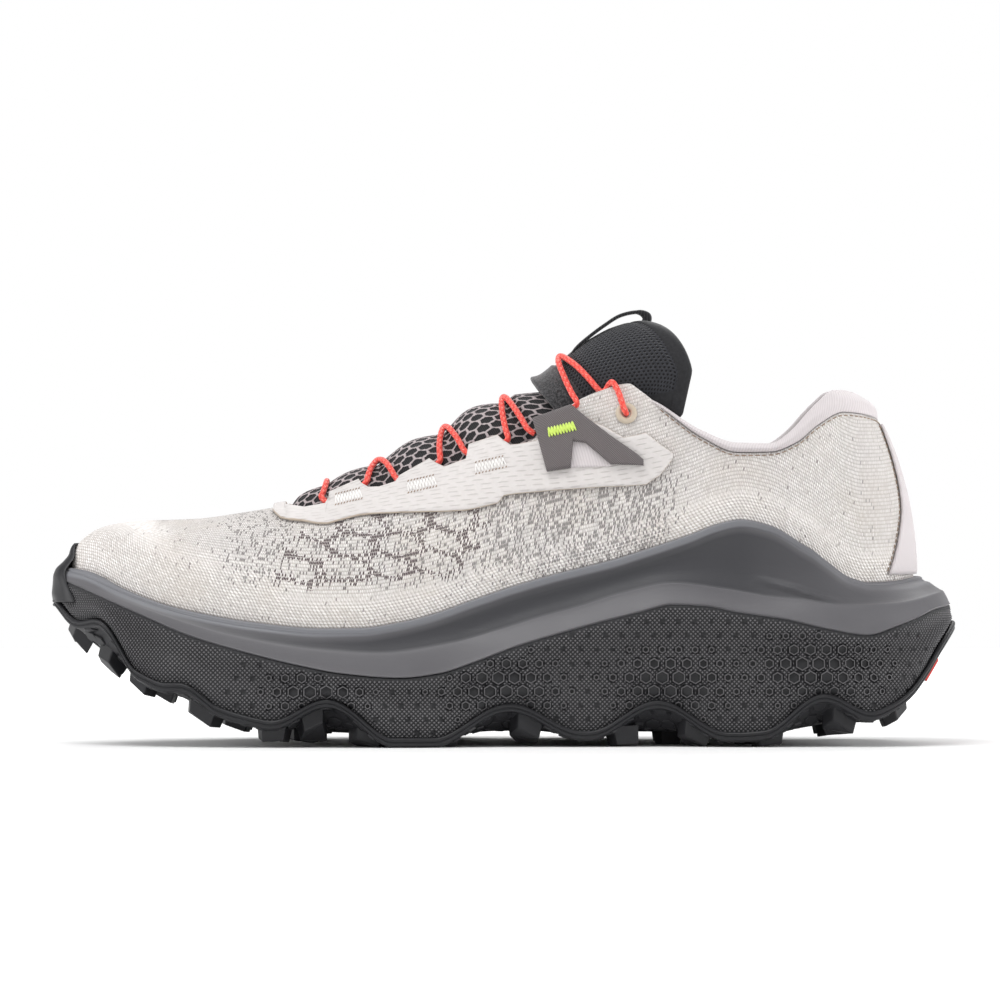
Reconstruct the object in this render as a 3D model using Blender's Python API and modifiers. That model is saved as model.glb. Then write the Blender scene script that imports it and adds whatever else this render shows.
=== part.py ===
"""A low trail running shoe, right foot, built as a maker would put it together.

The toe points along -X, the medial side faces -Y and the shoe stands on Z = 0.
Every piece is worked out from one ring of stations round the shoe. A station has a
point on the shoe's spine, a level direction that points out from it, and the distances
at which the last and the sole end in that direction. Lengths are in metres.
"""

import math

import bmesh
import bpy
import numpy as np
from mathutils import Vector
from mathutils.bvhtree import BVHTree

MM = 0.001

# Driving sizes in plan
SOLE_LENGTH = 297 * MM
SOLE_WIDTH = 112 * MM
LAST_WIDTH = 93 * MM
HEEL_FLARE = 13.7 * MM
TOE_OVERHANG = 4.7 * MM
TOE_CENTRE_IN = 32 * MM
HEEL_CENTRE_IN = 34 * MM
SPINE_SHIFT = -1.2 * MM

# Driving heights above the floor
SIDEWALL_HEIGHT = 74.5 * MM
FOOTBED_HEIGHT = 36.5 * MM
TOE_BOX_HEIGHT = 74.2 * MM
COLLAR_HEIGHT = 109.6 * MM
COLLAR_WIDTH = 60 * MM
BUMPER_HEIGHT = 66.5 * MM
TREAD_HEIGHT = 5 * MM
SCALLOP_HEIGHT = 10.4 * MM

# Thicknesses and clearances
UPPER_WALL = 2.2 * MM
INSOLE_THICKNESS = 4.5 * MM
CARRIER_FLOOR = 8 * MM
RIM_THICKNESS = 2.8 * MM
CHANNEL_DEPTH = 1.5 * MM
RUBBER_THICKNESS = 3 * MM
LIP_HEIGHT = 1.4 * MM
LIP_THICKNESS = 1.5 * MM
OVERLAY_THICKNESS = 0.9 * MM
WEBBING_THICKNESS = 1.1 * MM
GUSSET_THICKNESS = 1.6 * MM
PAD_THICKNESS = 5 * MM
GAP = 0.3 * MM
LIP_GAP = 0.55 * MM
FACET_ROOM = 0.25 * MM

# Small pieces
LACE_DIAMETER = 2.0 * MM
EYELET_RADIUS = 3.5 * MM
EYELET_BORE = 1.4 * MM
EYELET_BARREL = 2.3 * MM
EYELET_SEAT = 0.4 * MM
EYELET_HEIGHT = 1.1 * MM
EYELET_HOLE = 2.7 * MM
HOLE_DEPTH = 6 * MM
LOOP_WIDTH = 9 * MM
LOOP_THICKNESS = 1.2 * MM
LUG_SIZE = 12 * MM
LUG_DEPTH = 4.6 * MM
LUG_TAPER = 0.82
LOBE_LEAN = 1.25

# How finely the ring is cut, and how near two points must be to become one
WELD = 0.002 * MM
SIDE_STATIONS = 22
FAN_STATIONS = 11
ROWS_IN_CUP = 2
BUMPER_ROWS = 6
BUMPER_HALF_ANGLE = 30
ROUND_SIDES = 12
LACE_SIDES = 6
ROWS_ABOVE_CUP = 4

TOE_X = -SOLE_LENGTH / 2
HEEL_X = SOLE_LENGTH / 2
LAST_HEEL_X = HEEL_X - HEEL_FLARE
LAST_TOE_X = TOE_X + TOE_OVERHANG
LAST_LENGTH = LAST_HEEL_X - LAST_TOE_X
TOE_CENTRE_X = LAST_TOE_X + TOE_CENTRE_IN
HEEL_CENTRE_X = LAST_HEEL_X - HEEL_CENTRE_IN


def table(names, *rows):
    """A short table as a dictionary of columns. The first column is the place along."""
    return dict(zip(names.split(), np.array(rows, float).T))


# Plan outline of the sole at its widest. Along is a share of the sole's length from the
# toe, and the two sides are shares of half its width.
SOLE_OUTLINE = table(
    "along medial lateral",
    (0.02, 0.43, -0.08), (0.05, 0.62, 0.28), (0.10, 0.78, 0.52), (0.18, 0.91, 0.76),
    (0.28, 0.98, 0.93), (0.36, 0.975, 1.01), (0.45, 0.90, 1.02), (0.55, 0.82, 0.97),
    (0.65, 0.80, 0.90), (0.76, 0.84, 0.865), (0.86, 0.845, 0.85), (0.93, 0.75, 0.75),
    (0.975, 0.52, 0.53),
)
SOLE_TIP_SIDE = 0.16

# Plan outline of the last where the upper meets the footbed, in shares of its own sizes.
LAST_OUTLINE = table(
    "along medial lateral",
    (0.02, 0.44, 0.01), (0.05, 0.62, 0.32), (0.10, 0.80, 0.58), (0.18, 0.93, 0.84),
    (0.28, 0.985, 1.00), (0.37, 0.955, 1.06), (0.48, 0.83, 1.03), (0.60, 0.71, 0.92),
    (0.72, 0.68, 0.80), (0.84, 0.72, 0.745), (0.92, 0.64, 0.65), (0.97, 0.44, 0.45),
)
LAST_TIP_SIDE = 0.20

# How far the spine lies to the medial side, as a share of half the last's width.
SPINE = table("along side", (0.0, 0.17), (0.12, 0.15), (0.3, 0.06), (0.5, 0.0), (1.0, 0.0))

# Lines that run round the sidewall, as shares of its height. The crest is the edge under
# the channel, out is how far it stands out from the rim towards the sole's edge.
RIM = table(
    "along height",
    (0.0, 0.785), (0.022, 0.772), (0.066, 0.70), (0.106, 0.646), (0.161, 0.59),
    (0.22, 0.55), (0.30, 0.522), (0.34, 0.524), (0.383, 0.548), (0.417, 0.58),
    (0.464, 0.645), (0.513, 0.711), (0.56, 0.764), (0.619, 0.822), (0.655, 0.867),
    (0.705, 0.934), (0.735, 0.98), (0.76, 1.0), (0.791, 0.975), (0.831, 0.884),
    (0.869, 0.798), (0.895, 0.747), (0.93, 0.722), (0.97, 0.727), (1.0, 0.745),
)
PARTING = table(
    "along height",
    (0.0, 0.735), (0.016, 0.712), (0.044, 0.668), (0.10, 0.575), (0.152, 0.489),
    (0.207, 0.424), (0.274, 0.358), (0.321, 0.323), (0.385, 0.304), (0.427, 0.323),
    (0.464, 0.370), (0.513, 0.443), (0.56, 0.499), (0.608, 0.552), (0.648, 0.592),
    (0.685, 0.626), (0.72, 0.619), (0.755, 0.592), (0.806, 0.562), (0.856, 0.517),
    (0.90, 0.491), (0.931, 0.526), (0.956, 0.562), (0.981, 0.603), (1.0, 0.617),
)
CREST = table(
    "along height out channel",
    (0.0, 0.757, 0.55, 0.0), (0.1, 0.61, 0.55, 0.0), (0.2, 0.49, 0.5, 0.1),
    (0.3, 0.425, 0.45, 0.2), (0.36, 0.412, 0.4, 0.4), (0.441, 0.456, 0.3, 0.75),
    (0.488, 0.507, 0.25, 0.9), (0.536, 0.565, 0.22, 1.0), (0.584, 0.617, 0.2, 1.0),
    (0.629, 0.672, 0.18, 1.0), (0.685, 0.715, 0.18, 1.0), (0.745, 0.687, 0.24, 0.9),
    (0.79, 0.656, 0.36, 0.7), (0.83, 0.64, 0.5, 0.4), (0.88, 0.62, 0.6, 0.1),
    (0.94, 0.63, 0.65, 0.0), (1.0, 0.68, 0.7, 0.0),
)

# The footbed's height as a share of its height at the heel.
FOOTBED = table(
    "along height",
    (0.0, 1.43), (0.05, 1.33), (0.1, 1.205), (0.16, 1.08), (0.22, 0.985), (0.3, 0.90),
    (0.4, 0.86), (0.5, 0.885), (0.65, 0.955), (0.8, 1.0), (1.0, 1.01),
)

# The outsole's underside along the spine, in shares of its height under the waist.
UNDERSIDE = table(
    "along height",
    (0.0, 8.6), (0.025, 7.3), (0.05, 6.35), (0.085, 5.0), (0.124, 3.9), (0.153, 3.05),
    (0.195, 2.1), (0.225, 1.62), (0.273, 1.15), (0.32, 0.95), (0.37, 0.86), (0.46, 1.0),
    (0.54, 1.05), (0.6, 0.98), (0.72, 0.96), (0.76, 0.9), (0.80, 1.02), (0.833, 1.28),
    (0.866, 1.62), (0.903, 1.9), (0.93, 2.6), (0.955, 3.7), (0.98, 5.6), (1.0, 7.4),
)

# The rubber's edge runs up and down: a low line, in shares of the same height, and the
# scallops that rise from it.
LOW_EDGE = table(
    "along height",
    (0.0, 9.6), (0.03, 7.4), (0.06, 6.2), (0.1, 4.7), (0.15, 3.45), (0.2, 2.3), (0.25, 1.6),
    (0.32, 0.9), (0.39, 0.52), (0.48, 0.72), (0.585, 1.0), (0.67, 0.96), (0.757, 0.94),
    (0.83, 1.5), (0.90, 2.15), (0.931, 2.9), (0.949, 3.7), (0.967, 5.05), (0.98, 6.3),
    (1.0, 8.1),
)
SCALLOPS = table(
    "along reach height",
    (0.052, 0.042, 0.80), (0.150, 0.036, 0.28), (0.308, 0.072, 1.02), (0.502, 0.084, 0.97),
    (0.668, 0.078, 0.98), (0.848, 0.064, 0.86),
)

# The upper's wall at each place along the last. It leaves the footbed with a bulge, as a
# share of its distance from the spine, and comes over a shoulder to its top edge.
WALL_FORM = table(
    "along bulge rise shoulder shoulder_rise",
    (0.0, 0.045, 0.80, 0.84, 1.0), (0.06, 0.06, 0.74, 0.86, 1.0),
    (0.115, 0.075, 0.66, 0.86, 1.0), (0.19, 0.085, 0.60, 0.78, 1.0),
    (0.255, 0.075, 0.56, 0.70, 1.0), (0.31, 0.065, 0.54, 0.62, 0.96),
    (0.40, 0.06, 0.52, 0.58, 0.87), (0.50, 0.06, 0.50, 0.55, 0.82),
    (0.60, 0.08, 0.48, 0.55, 0.76), (0.70, 0.09, 0.42, 0.52, 0.72),
    (0.80, 0.09, 0.40, 0.55, 0.70), (0.878, 0.08, 0.38, 0.65, 0.70),
    (1.0, 0.09, 0.36, 0.91, 0.73),
)

# The closed toe box's ridge as a share of its height, up to the front of the throat.
RIDGE = table(
    "along height",
    (0.0, 0.90), (0.115, 1.0), (0.151, 1.006), (0.19, 1.026), (0.23, 1.05), (0.255, 1.066),
)
THROAT_FRONT = 0.255

# The top edge of the throat and the collar, in shares of the collar's height and of half
# its width.
EDGE = table(
    "along height half",
    (0.255, 0.721, 0.0), (0.262, 0.714, 0.25), (0.275, 0.709, 0.37), (0.292, 0.716, 0.45),
    (0.357, 0.767, 0.567), (0.444, 0.83, 0.667), (0.523, 0.897, 0.733), (0.557, 0.93, 0.75),
    (0.576, 0.978, 0.735), (0.595, 1.026, 0.72), (0.628, 1.066, 0.733), (0.662, 1.088, 0.767),
    (0.675, 1.068, 0.79), (0.712, 0.99, 0.86), (0.748, 0.924, 0.91), (0.791, 0.879, 0.96),
    (0.829, 0.88, 0.985), (0.861, 0.91, 1.0), (0.884, 0.958, 1.0), (0.92, 1.0, 0.967),
    (0.964, 0.99, 0.883), (1.0, 0.975, 0.767),
)


# The overlays on each side of the throat: the heights of their lower and upper lines, as
# shares of the collar's height.
EYESTAY = table(
    "along low high",
    (0.24, 0.699, 0.717), (0.25, 0.677, 0.72), (0.261, 0.672, 0.712),
    (0.278, 0.668, 0.706), (0.294, 0.661, 0.714), (0.304, 0.661, 0.719),
    (0.306, 0.661, 0.754), (0.342, 0.686, 0.794), (0.346, 0.687, 0.781), (0.355, 0.69, 0.768),
    (0.367, 0.692, 0.769), (0.386, 0.694, 0.785), (0.391, 0.695, 0.805),
    (0.426, 0.698, 0.856), (0.434, 0.698, 0.843), (0.444, 0.699, 0.831),
    (0.47, 0.703, 0.856), (0.473, 0.704, 0.9), (0.507, 0.725, 0.929), (0.514, 0.747, 0.913),
    (0.523, 0.751, 0.899), (0.531, 0.754, 0.901), (0.553, 0.759, 0.913),
    (0.572, 0.764, 0.945), (0.593, 0.768, 0.991), (0.632, 0.775, 0.958),
    (0.656, 0.777, 0.923), (0.682, 0.782, 0.938), (0.699, 0.811, 0.903),
    (0.714, 0.86, 0.876),
)
WEBBING = table(
    "along low high",
    (0.549, 0.966, 0.974), (0.565, 0.815, 0.989), (0.593, 0.827, 1.016),
    (0.596, 0.907, 1.013), (0.611, 0.902, 0.981), (0.64, 0.84, 0.926), (0.671, 0.838, 0.872),
    (0.679, 0.837, 0.854),
)

# The strip up the heel: heights as shares of the way from the midsole's rim up to the
# collar, and half its spread in degrees.
HEEL_STRIP = table(
    "height half",
    (0.013, 41.5), (0.127, 36), (0.283, 29), (0.437, 22.5), (0.601, 20), (0.767, 19.5),
    (0.927, 20),
)

# The collar's cuff: how far it rises over the upper's edge as a share of the collar's
# height, how thick its padding is as a share of half the collar's width, and its lean.
CUFF = table(
    "along rise pad lean",
    (0.66, 0.013, 0.107, 0.2), (0.7, 0.012, 0.147, 0.2), (0.75, 0.022, 0.173, 0.1),
    (0.79, 0.029, 0.187, 0.1), (0.83, 0.026, 0.2, 0.2), (0.85, 0.04, 0.22, 0.3),
    (0.875, 0.064, 0.247, 0.4), (0.91, 0.066, 0.267, 0.6), (1, 0.079, 0.28, 0.75),
)
CUFF_DEPTH = 26 * MM
CUFF_GAP = 0.5 * MM
CUFF_FRONT_X = LAST_TOE_X + 0.681 * LAST_LENGTH

# The tongue's centre line in shares of the collar's height, half its width and how deep
# it wraps in shares of half the collar's width, and its sections' tilt in degrees.
TONGUE = table(
    "along height half drop tilt",
    (0.234, 0.67, 0.333, 0.4, 14), (0.252, 0.688, 0.4, 0.5, 30),
    (0.264, 0.721, 0.40, 0.567, 38), (0.274, 0.746, 0.42, 0.583, 32),
    (0.294, 0.772, 0.517, 0.633, 24), (0.321, 0.799, 0.583, 0.667, 21),
    (0.353, 0.83, 0.6, 0.7, 22), (0.378, 0.858, 0.6, 0.733, 25),
    (0.407, 0.9, 0.6, 0.767, 27), (0.443, 0.938, 0.6, 0.8, 29),
    (0.478, 0.998, 0.6, 0.833, 31), (0.521, 1.038, 0.617, 0.867, 34),
    (0.547, 1.077, 0.627, 0.867, 38), (0.572, 1.124, 0.633, 0.867, 40),
    (0.601, 1.19, 0.647, 0.867, 41), (0.633, 1.241, 0.68, 0.867, 42),
    (0.661, 1.272, 0.72, 0.867, 42), (0.682, 1.283, 0.747, 0.867, 41),
)
TONGUE_TURN = 84
PAD_START_X = LAST_TOE_X + 0.565 * LAST_LENGTH
POCKET_SPAN = (0.539, 0.59)
POCKET_THICKNESS = 1.1 * MM
POCKET_LIFT = 0.45 * MM
POCKET_TURN = 20
LOOP = table(
    "along height",
    (0.602, 1.202), (0.617, 1.235), (0.634, 1.267), (0.653, 1.297), (0.674, 1.308),
    (0.685, 1.294),
)

# The laces as shares along the last and of the collar's height, each from where it leaves
# the eyestay, over its highest point, to where it goes back in on the other side.
LACE_ROOM = 0.85 * MM
LACE_LIFT = 1.7 * MM
LACE_BAR = ((0.298, 0.743), (0.303, 0.796))
LACE_CROSSINGS = (
    ((0.351, 0.788), (0.364, 0.857), (0.386, 0.806)),
    ((0.438, 0.855), (0.443, 0.958), (0.467, 0.889)),
    ((0.519, 0.921), (0.513, 1.049), (0.542, 0.954)),
    ((0.601, 1.027), (0.58, 1.173), (0.628, 1.073)),
)

# The top eyelet's place on the wall, and the hole and eyelet as rows of radius and height
# off the wall.
EYELET_X = LAST_TOE_X + 0.659 * LAST_LENGTH
EYELET_Z = 0.997 * COLLAR_HEIGHT
HOLE_PROFILE = [
    (0, -HOLE_DEPTH), (EYELET_HOLE, -HOLE_DEPTH), (EYELET_HOLE, HOLE_DEPTH), (0, HOLE_DEPTH),
]
EYELET_PROFILE = [
    (EYELET_BORE, -UPPER_WALL), (EYELET_BARREL, -UPPER_WALL), (EYELET_BARREL, EYELET_SEAT),
    (EYELET_RADIUS, EYELET_SEAT), (EYELET_RADIUS - EYELET_SEAT, EYELET_HEIGHT),
    (EYELET_BORE, 2 * EYELET_SEAT),
]

# The lugs of one side: place along the sole, share across it, length and width in shares
# of a lug's size, and turn in degrees. The other side is its mirror image.
EDGE_LUGS = table(
    "along across length width turn",
    (0.063, 0.5, 0.62, 0.67, 40), (0.099, 0.66, 0.75, 0.83, 30), (0.168, 0.76, 1, 1, 22),
    (0.244, 0.82, 0.96, 1, 12), (0.286, 0.83, 0.83, 1, 8), (0.346, 0.79, 1, 1.08, 0),
    (0.428, 0.76, 1, 1.08, -4), (0.521, 0.83, 0.96, 0.92, -4), (0.628, 0.83, 0.96, 0.83, 0),
    (0.708, 0.83, 0.96, 0.83, 0), (0.787, 0.83, 1, 0.92, 0), (0.866, 0.8, 0.96, 0.92, -14),
    (0.925, 0.7, 0.67, 0.83, -36),
)
INNER_LUGS = table(
    "along across length width turn",
    (0.12, 0.24, 0.75, 0.83, 6), (0.2, 0.3, 0.92, 1.08, 8), (0.275, 0.31, 0.92, 1.17, 6),
    (0.35, 0.31, 0.92, 1.17, 0), (0.43, 0.31, 0.92, 1.08, 0), (0.68, 0.3, 0.83, 0.92, 0),
    (0.77, 0.32, 0.92, 1, 0), (0.86, 0.3, 0.83, 1, -6),
)
TOE_LUG = (0.028, 0.001, 0.67, 1.33, 0)
LUG_SUNK = 2.6 * MM
LUG_STEP = 5 * MM
TRIM_REACH = 9 * MM
ACCENT_IN = 8.5 * MM
ACCENT_LENGTH = 5 * MM
ACCENT_WIDTH = 14 * MM
ACCENT_DEPTH = 4.2 * MM

OVERLAY_LIFT = 0.55 * MM
WEBBING_LIFT = 0.85 * MM

# Base colour and roughness of each piece.
COLOURS = {
    "outsole": ((0.025, 0.025, 0.028), 0.75),
    "heel_bumper_accent": ((0.55, 0.05, 0.05), 0.6),
    "midsole_core": ((0.06, 0.06, 0.07), 0.7),
    "midsole_carrier": ((0.33, 0.34, 0.37), 0.6),
    "insole": ((0.10, 0.10, 0.11), 0.85),
    "upper": ((0.74, 0.70, 0.66), 0.9),
    "collar_cuff": ((0.66, 0.57, 0.55), 0.85),
    "heel_strip": ((0.68, 0.60, 0.58), 0.8),
    "eyestay": ((0.74, 0.71, 0.68), 0.7),
    "webbing_medial": ((0.13, 0.11, 0.12), 0.85),
    "webbing_lateral": ((0.13, 0.11, 0.12), 0.85),
    "eyelet_medial": ((0.55, 0.45, 0.40), 0.5),
    "eyelet_lateral": ((0.55, 0.45, 0.40), 0.5),
    "tongue": ((0.05, 0.045, 0.05), 0.85),
    "tongue_pad": ((0.035, 0.035, 0.04), 0.9),
    "lace_pocket": ((0.045, 0.04, 0.045), 0.85),
    "pull_loop": ((0.05, 0.045, 0.05), 0.85),
    "lace_bar": ((0.75, 0.14, 0.12), 0.7),
    "lace_cross_1": ((0.75, 0.14, 0.12), 0.7),
    "lace_cross_2": ((0.75, 0.14, 0.12), 0.7),
    "lace_cross_3": ((0.75, 0.14, 0.12), 0.7),
    "lace_cross_4": ((0.75, 0.14, 0.12), 0.7),
}
FLAT_PIECES = ("heel_bumper_accent", "outsole")


def read(tab, column, at):
    """Reads a table's column by a smooth curve that never overshoots its rows."""
    along, values = tab["along"], tab[column]
    steps = np.diff(along)
    slopes = np.diff(values) / steps
    tangents = np.zeros(len(values))
    tangents[0], tangents[-1] = slopes[0], slopes[-1]
    for j in range(1, len(slopes)):
        before, after = slopes[j - 1], slopes[j]
        if before * after > 0:
            near, far = 2 * steps[j] + steps[j - 1], steps[j] + 2 * steps[j - 1]
            tangents[j] = (near + far) / (near / before + far / after)
    at = np.clip(np.asarray(at, float), along[0], along[-1])
    j = np.clip(np.searchsorted(along, at, side="right") - 1, 0, len(steps) - 1)
    share = (at - along[j]) / steps[j]
    rest = 1 - share
    return (
        values[j] * (1 + 2 * share) * rest**2
        + values[j + 1] * (3 - 2 * share) * share**2
        + steps[j] * share * rest * (tangents[j] * rest - tangents[j + 1] * share)
    )


def smooth_loop(points, per_span):
    """A closed curve with no kinks through the points, as a dense ring of points."""
    points = np.array(points, float)
    count = len(points)
    ahead = np.roll(points, -1, 0)
    chord = np.linalg.norm(ahead - points, axis=1)
    behind = np.roll(chord, 1)
    rise = (ahead - points) / chord[:, None]
    system = np.zeros((count, count))
    for j in range(count):
        system[j, j - 1] += behind[j]
        system[j, j] += 2 * (behind[j] + chord[j])
        system[j, (j + 1) % count] += chord[j]
    bend = np.linalg.solve(system, 6 * (rise - np.roll(rise, 1, 0)))
    ring = []
    for j in range(count):
        k = (j + 1) % count
        for share in np.arange(per_span) / per_span:
            rest = 1 - share
            ring.append(
                points[j] * rest
                + points[k] * share
                + chord[j] ** 2 / 6 * ((rest**3 - rest) * bend[j] + (share**3 - share) * bend[k])
            )
    return np.array(ring)


def plan_outline(rows, toe_x, length, half_width, tip_side):
    """The closed plan outline of a sole or last from its table of half widths."""
    tip = [(toe_x, SPINE_SHIFT - tip_side * half_width)]
    medial = [
        (toe_x + along * length, SPINE_SHIFT - share * half_width)
        for along, share in zip(rows["along"], rows["medial"])
    ]
    heel = [(toe_x + length, SPINE_SHIFT)]
    lateral = [
        (toe_x + along * length, SPINE_SHIFT + share * half_width)
        for along, share in zip(rows["along"], rows["lateral"])
    ]
    return smooth_loop(tip + medial + heel + lateral[::-1], 24)


SOLE_LOOP = plan_outline(SOLE_OUTLINE, TOE_X, SOLE_LENGTH, SOLE_WIDTH / 2, SOLE_TIP_SIDE)
LAST_LOOP = plan_outline(LAST_OUTLINE, LAST_TOE_X, LAST_LENGTH, LAST_WIDTH / 2, LAST_TIP_SIDE)


def reach(loop, start, direction):
    """How far a level ray from start travels before it leaves the loop."""
    away = loop - start
    side = direction[0] * away[:, 1] - direction[1] * away[:, 0]
    ahead = away @ direction
    next_side, next_ahead = np.roll(side, -1), np.roll(ahead, -1)
    crossing = (side * next_side <= 0) & (ahead + next_ahead > 0) & (side != next_side)
    j = np.flatnonzero(crossing)[0]
    share = side[j] / (side[j] - next_side[j])
    return ahead[j] + share * (next_ahead[j] - ahead[j])


def along_sole(x):
    return (x - TOE_X) / SOLE_LENGTH


def along_last(x):
    return (x - LAST_TOE_X) / LAST_LENGTH


def at_share(along, height):
    """The x and z at shares of the last's length and of the collar's height."""
    return LAST_TOE_X + along * LAST_LENGTH, height * COLLAR_HEIGHT


def spine_y(x):
    return SPINE_SHIFT - read(SPINE, "side", along_last(x)) * LAST_WIDTH / 2


def footbed_height(x):
    return read(FOOTBED, "height", along_sole(x)) * FOOTBED_HEIGHT


def underside_height(x):
    return read(UNDERSIDE, "height", along_sole(x)) * TREAD_HEIGHT


def rubber_edge_height(along):
    """The rubber's wavy top edge: the low line with its scallops."""
    rise = 0.0
    for centre, width, height in zip(*(SCALLOPS[c] for c in ("along", "reach", "height"))):
        off = abs(along - centre) / width
        rise += height * math.cos(min(off, 1.0) * math.pi / 2) ** 2
    return read(LOW_EDGE, "height", along) * TREAD_HEIGHT + rise * SCALLOP_HEIGHT


class Station:
    """One upright cut through the shoe, from its spine outwards."""

    def __init__(self, x, direction):
        self.start = np.array([x, spine_y(x)])
        self.out = np.array(direction, float)
        self.last = reach(LAST_LOOP, self.start, self.out)
        self.sole = reach(SOLE_LOOP, self.start, self.out)
        self.along = along_sole(self.start[0] + self.out[0] * self.sole)
        self.along_last = along_last(self.start[0] + self.out[0] * self.last)
        self.rim = read(RIM, "height", self.along) * SIDEWALL_HEIGHT
        self.parting = read(PARTING, "height", self.along) * SIDEWALL_HEIGHT
        self.crest = read(CREST, "height", self.along) * SIDEWALL_HEIGHT
        self.wall = self.wall_curve()

    def point(self, radius, z):
        x, y = self.start + self.out * radius
        return Vector((x, y, z))

    def x_at(self, radius):
        return self.start[0] + self.out[0] * radius

    def is_open(self):
        return self.along_last > THROAT_FRONT and self.start[0] > TOE_CENTRE_X

    def top_edge(self):
        """Distance from the spine and height of the upper's top edge or ridge."""
        if self.is_open():
            half = read(EDGE, "half", self.along_last) * COLLAR_WIDTH / 2
            return half, read(EDGE, "height", self.along_last) * COLLAR_HEIGHT
        at = along_last(self.start[0])
        return 0.0, read(RIDGE, "height", at) * TOE_BOX_HEIGHT

    def wall_curve(self):
        """The upper's outer wall as a dense run of (distance, height) up to its top edge."""
        form = {c: read(WALL_FORM, c, self.along_last) for c in WALL_FORM if c != "along"}
        base = footbed_height(self.x_at(self.last)) + GAP
        edge, top = self.top_edge()
        rise = top - base
        corners = np.array([
            (self.last, base),
            (self.last * (1 + form["bulge"]), base + form["rise"] * rise),
            (edge + (self.last - edge) * form["shoulder"], base + form["shoulder_rise"] * rise),
            (edge, top),
        ])
        t = np.linspace(0, 1, 61)[:, None]
        return (
            corners[0] * (1 - t) ** 3
            + corners[1] * 3 * t * (1 - t) ** 2
            + corners[2] * 3 * t**2 * (1 - t)
            + corners[3] * t**3
        )

    def wall_at(self, z):
        """The wall's distance from the spine at a height. Above its edge it runs straight on."""
        heights = np.maximum.accumulate(self.wall[:, 1])
        if z > heights[-1]:
            slope = self.wall[-1] - self.wall[-6]
            lean = max(slope[0] / max(slope[1], WELD), -LOBE_LEAN)
            return self.wall[-1, 0] + lean * (z - heights[-1])
        return float(np.interp(z, heights, self.wall[:, 0]))

    def wall_rows(self):
        """The wall's rows: evenly up to the midsole's rim, then evenly along the wall."""
        base = self.wall[0, 1]
        low = [(self.wall_at(z), z) for z in np.linspace(base, self.rim, ROWS_IN_CUP + 1)]
        above = np.array([low[-1]] + [p for p in self.wall if p[1] > self.rim + 0.2 * MM])
        run = np.concatenate([[0], np.cumsum(np.linalg.norm(np.diff(above, axis=0), axis=1))])
        high = [
            (np.interp(s, run, above[:, 0]), np.interp(s, run, above[:, 1]))
            for s in np.linspace(0, run[-1], ROWS_ABOVE_CUP + 1)[1:]
        ]
        return low + high


def make_ring():
    """The stations in order: heel, medial side forward, toe, lateral side back."""
    side_x = np.linspace(HEEL_CENTRE_X, TOE_CENTRE_X, SIDE_STATIONS)
    quarter = np.linspace(0, math.pi / 2, FAN_STATIONS // 2 + 2)
    half = np.linspace(0, math.pi, FAN_STATIONS + 2)[1:-1]
    ring = [Station(HEEL_CENTRE_X, (math.cos(a), -math.sin(a))) for a in quarter[:-1]]
    ring += [Station(x, (0, -1)) for x in side_x]
    ring += [Station(TOE_CENTRE_X, (-math.sin(a), -math.cos(a))) for a in half]
    ring += [Station(x, (0, 1)) for x in side_x[::-1]]
    ring += [Station(HEEL_CENTRE_X, (math.cos(a), math.sin(a))) for a in quarter[-2:0:-1]]
    return ring


def new_object(name, bm, collection):
    """Finishes a bmesh as a named object with its faces turned out."""
    bmesh.ops.remove_doubles(bm, verts=bm.verts, dist=WELD)
    bmesh.ops.dissolve_degenerate(bm, edges=bm.edges, dist=WELD)
    bmesh.ops.recalc_face_normals(bm, faces=bm.faces)
    mesh = bpy.data.meshes.new(name)
    bm.to_mesh(mesh)
    bm.free()
    obj = bpy.data.objects.new(name, mesh)
    collection.objects.link(obj)
    return obj


def spread(a, b):
    """The distance between two corners with their heights counted half."""
    away = a.co - b.co
    return Vector((away.x, away.y, away.z / 2)).length


def patch(bm, a, b, c, d):
    """Two triangles over four corners, cut along the shorter diagonal."""
    if spread(a, c) <= spread(b, d):
        corners = ((a, b, c), (a, c, d))
    else:
        corners = ((a, b, d), (b, c, d))
    for three in corners:
        bm.faces.new(three)


def loft(bm, runs, around):
    """Faces between neighbouring runs of points. Around joins the last run to the first."""
    grid = [[bm.verts.new(p) for p in run] for run in runs]
    pairs = list(zip(grid, grid[1:])) + ([(grid[-1], grid[0])] if around else [])
    for first, second in pairs:
        for a, b, c, d in zip(first, second, second[1:], first[1:]):
            patch(bm, a, b, c, d)
    return grid


def closed_sweep(name, runs, collection, ring=False):
    """A solid through closed runs of points, capped at both ends unless it is a ring."""
    bm = bmesh.new()
    grid = [[bm.verts.new(p) for p in run] for run in runs]
    pairs = list(zip(grid, grid[1:])) + ([(grid[-1], grid[0])] if ring else [])
    for first, second in pairs:
        for j in range(len(first)):
            k = (j + 1) % len(first)
            patch(bm, first[j], second[j], second[k], first[k])
    if not ring:
        bm.faces.new(grid[0])
        bm.faces.new(grid[-1])
    return new_object(name, bm, collection)


def sheet(name, bands, collection):
    """An open surface from bands of columns of points, its faces turned from the spine."""
    bm = bmesh.new()
    for columns in bands:
        loft(bm, columns, around=False)
    bmesh.ops.remove_doubles(bm, verts=bm.verts, dist=WELD)
    bmesh.ops.recalc_face_normals(bm, faces=bm.faces)
    bm.faces.ensure_lookup_table()
    outward = 0.0
    for face in bm.faces:
        middle = face.calc_center_median()
        away = middle - Vector((middle.x, SPINE_SHIFT, FOOTBED_HEIGHT))
        outward += face.normal.dot(away) * face.calc_area()
    if outward < 0:
        bmesh.ops.reverse_faces(bm, faces=bm.faces)
    mesh = bpy.data.meshes.new(name)
    bm.to_mesh(mesh)
    bm.free()
    obj = bpy.data.objects.new(name, mesh)
    collection.objects.link(obj)
    return obj


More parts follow.
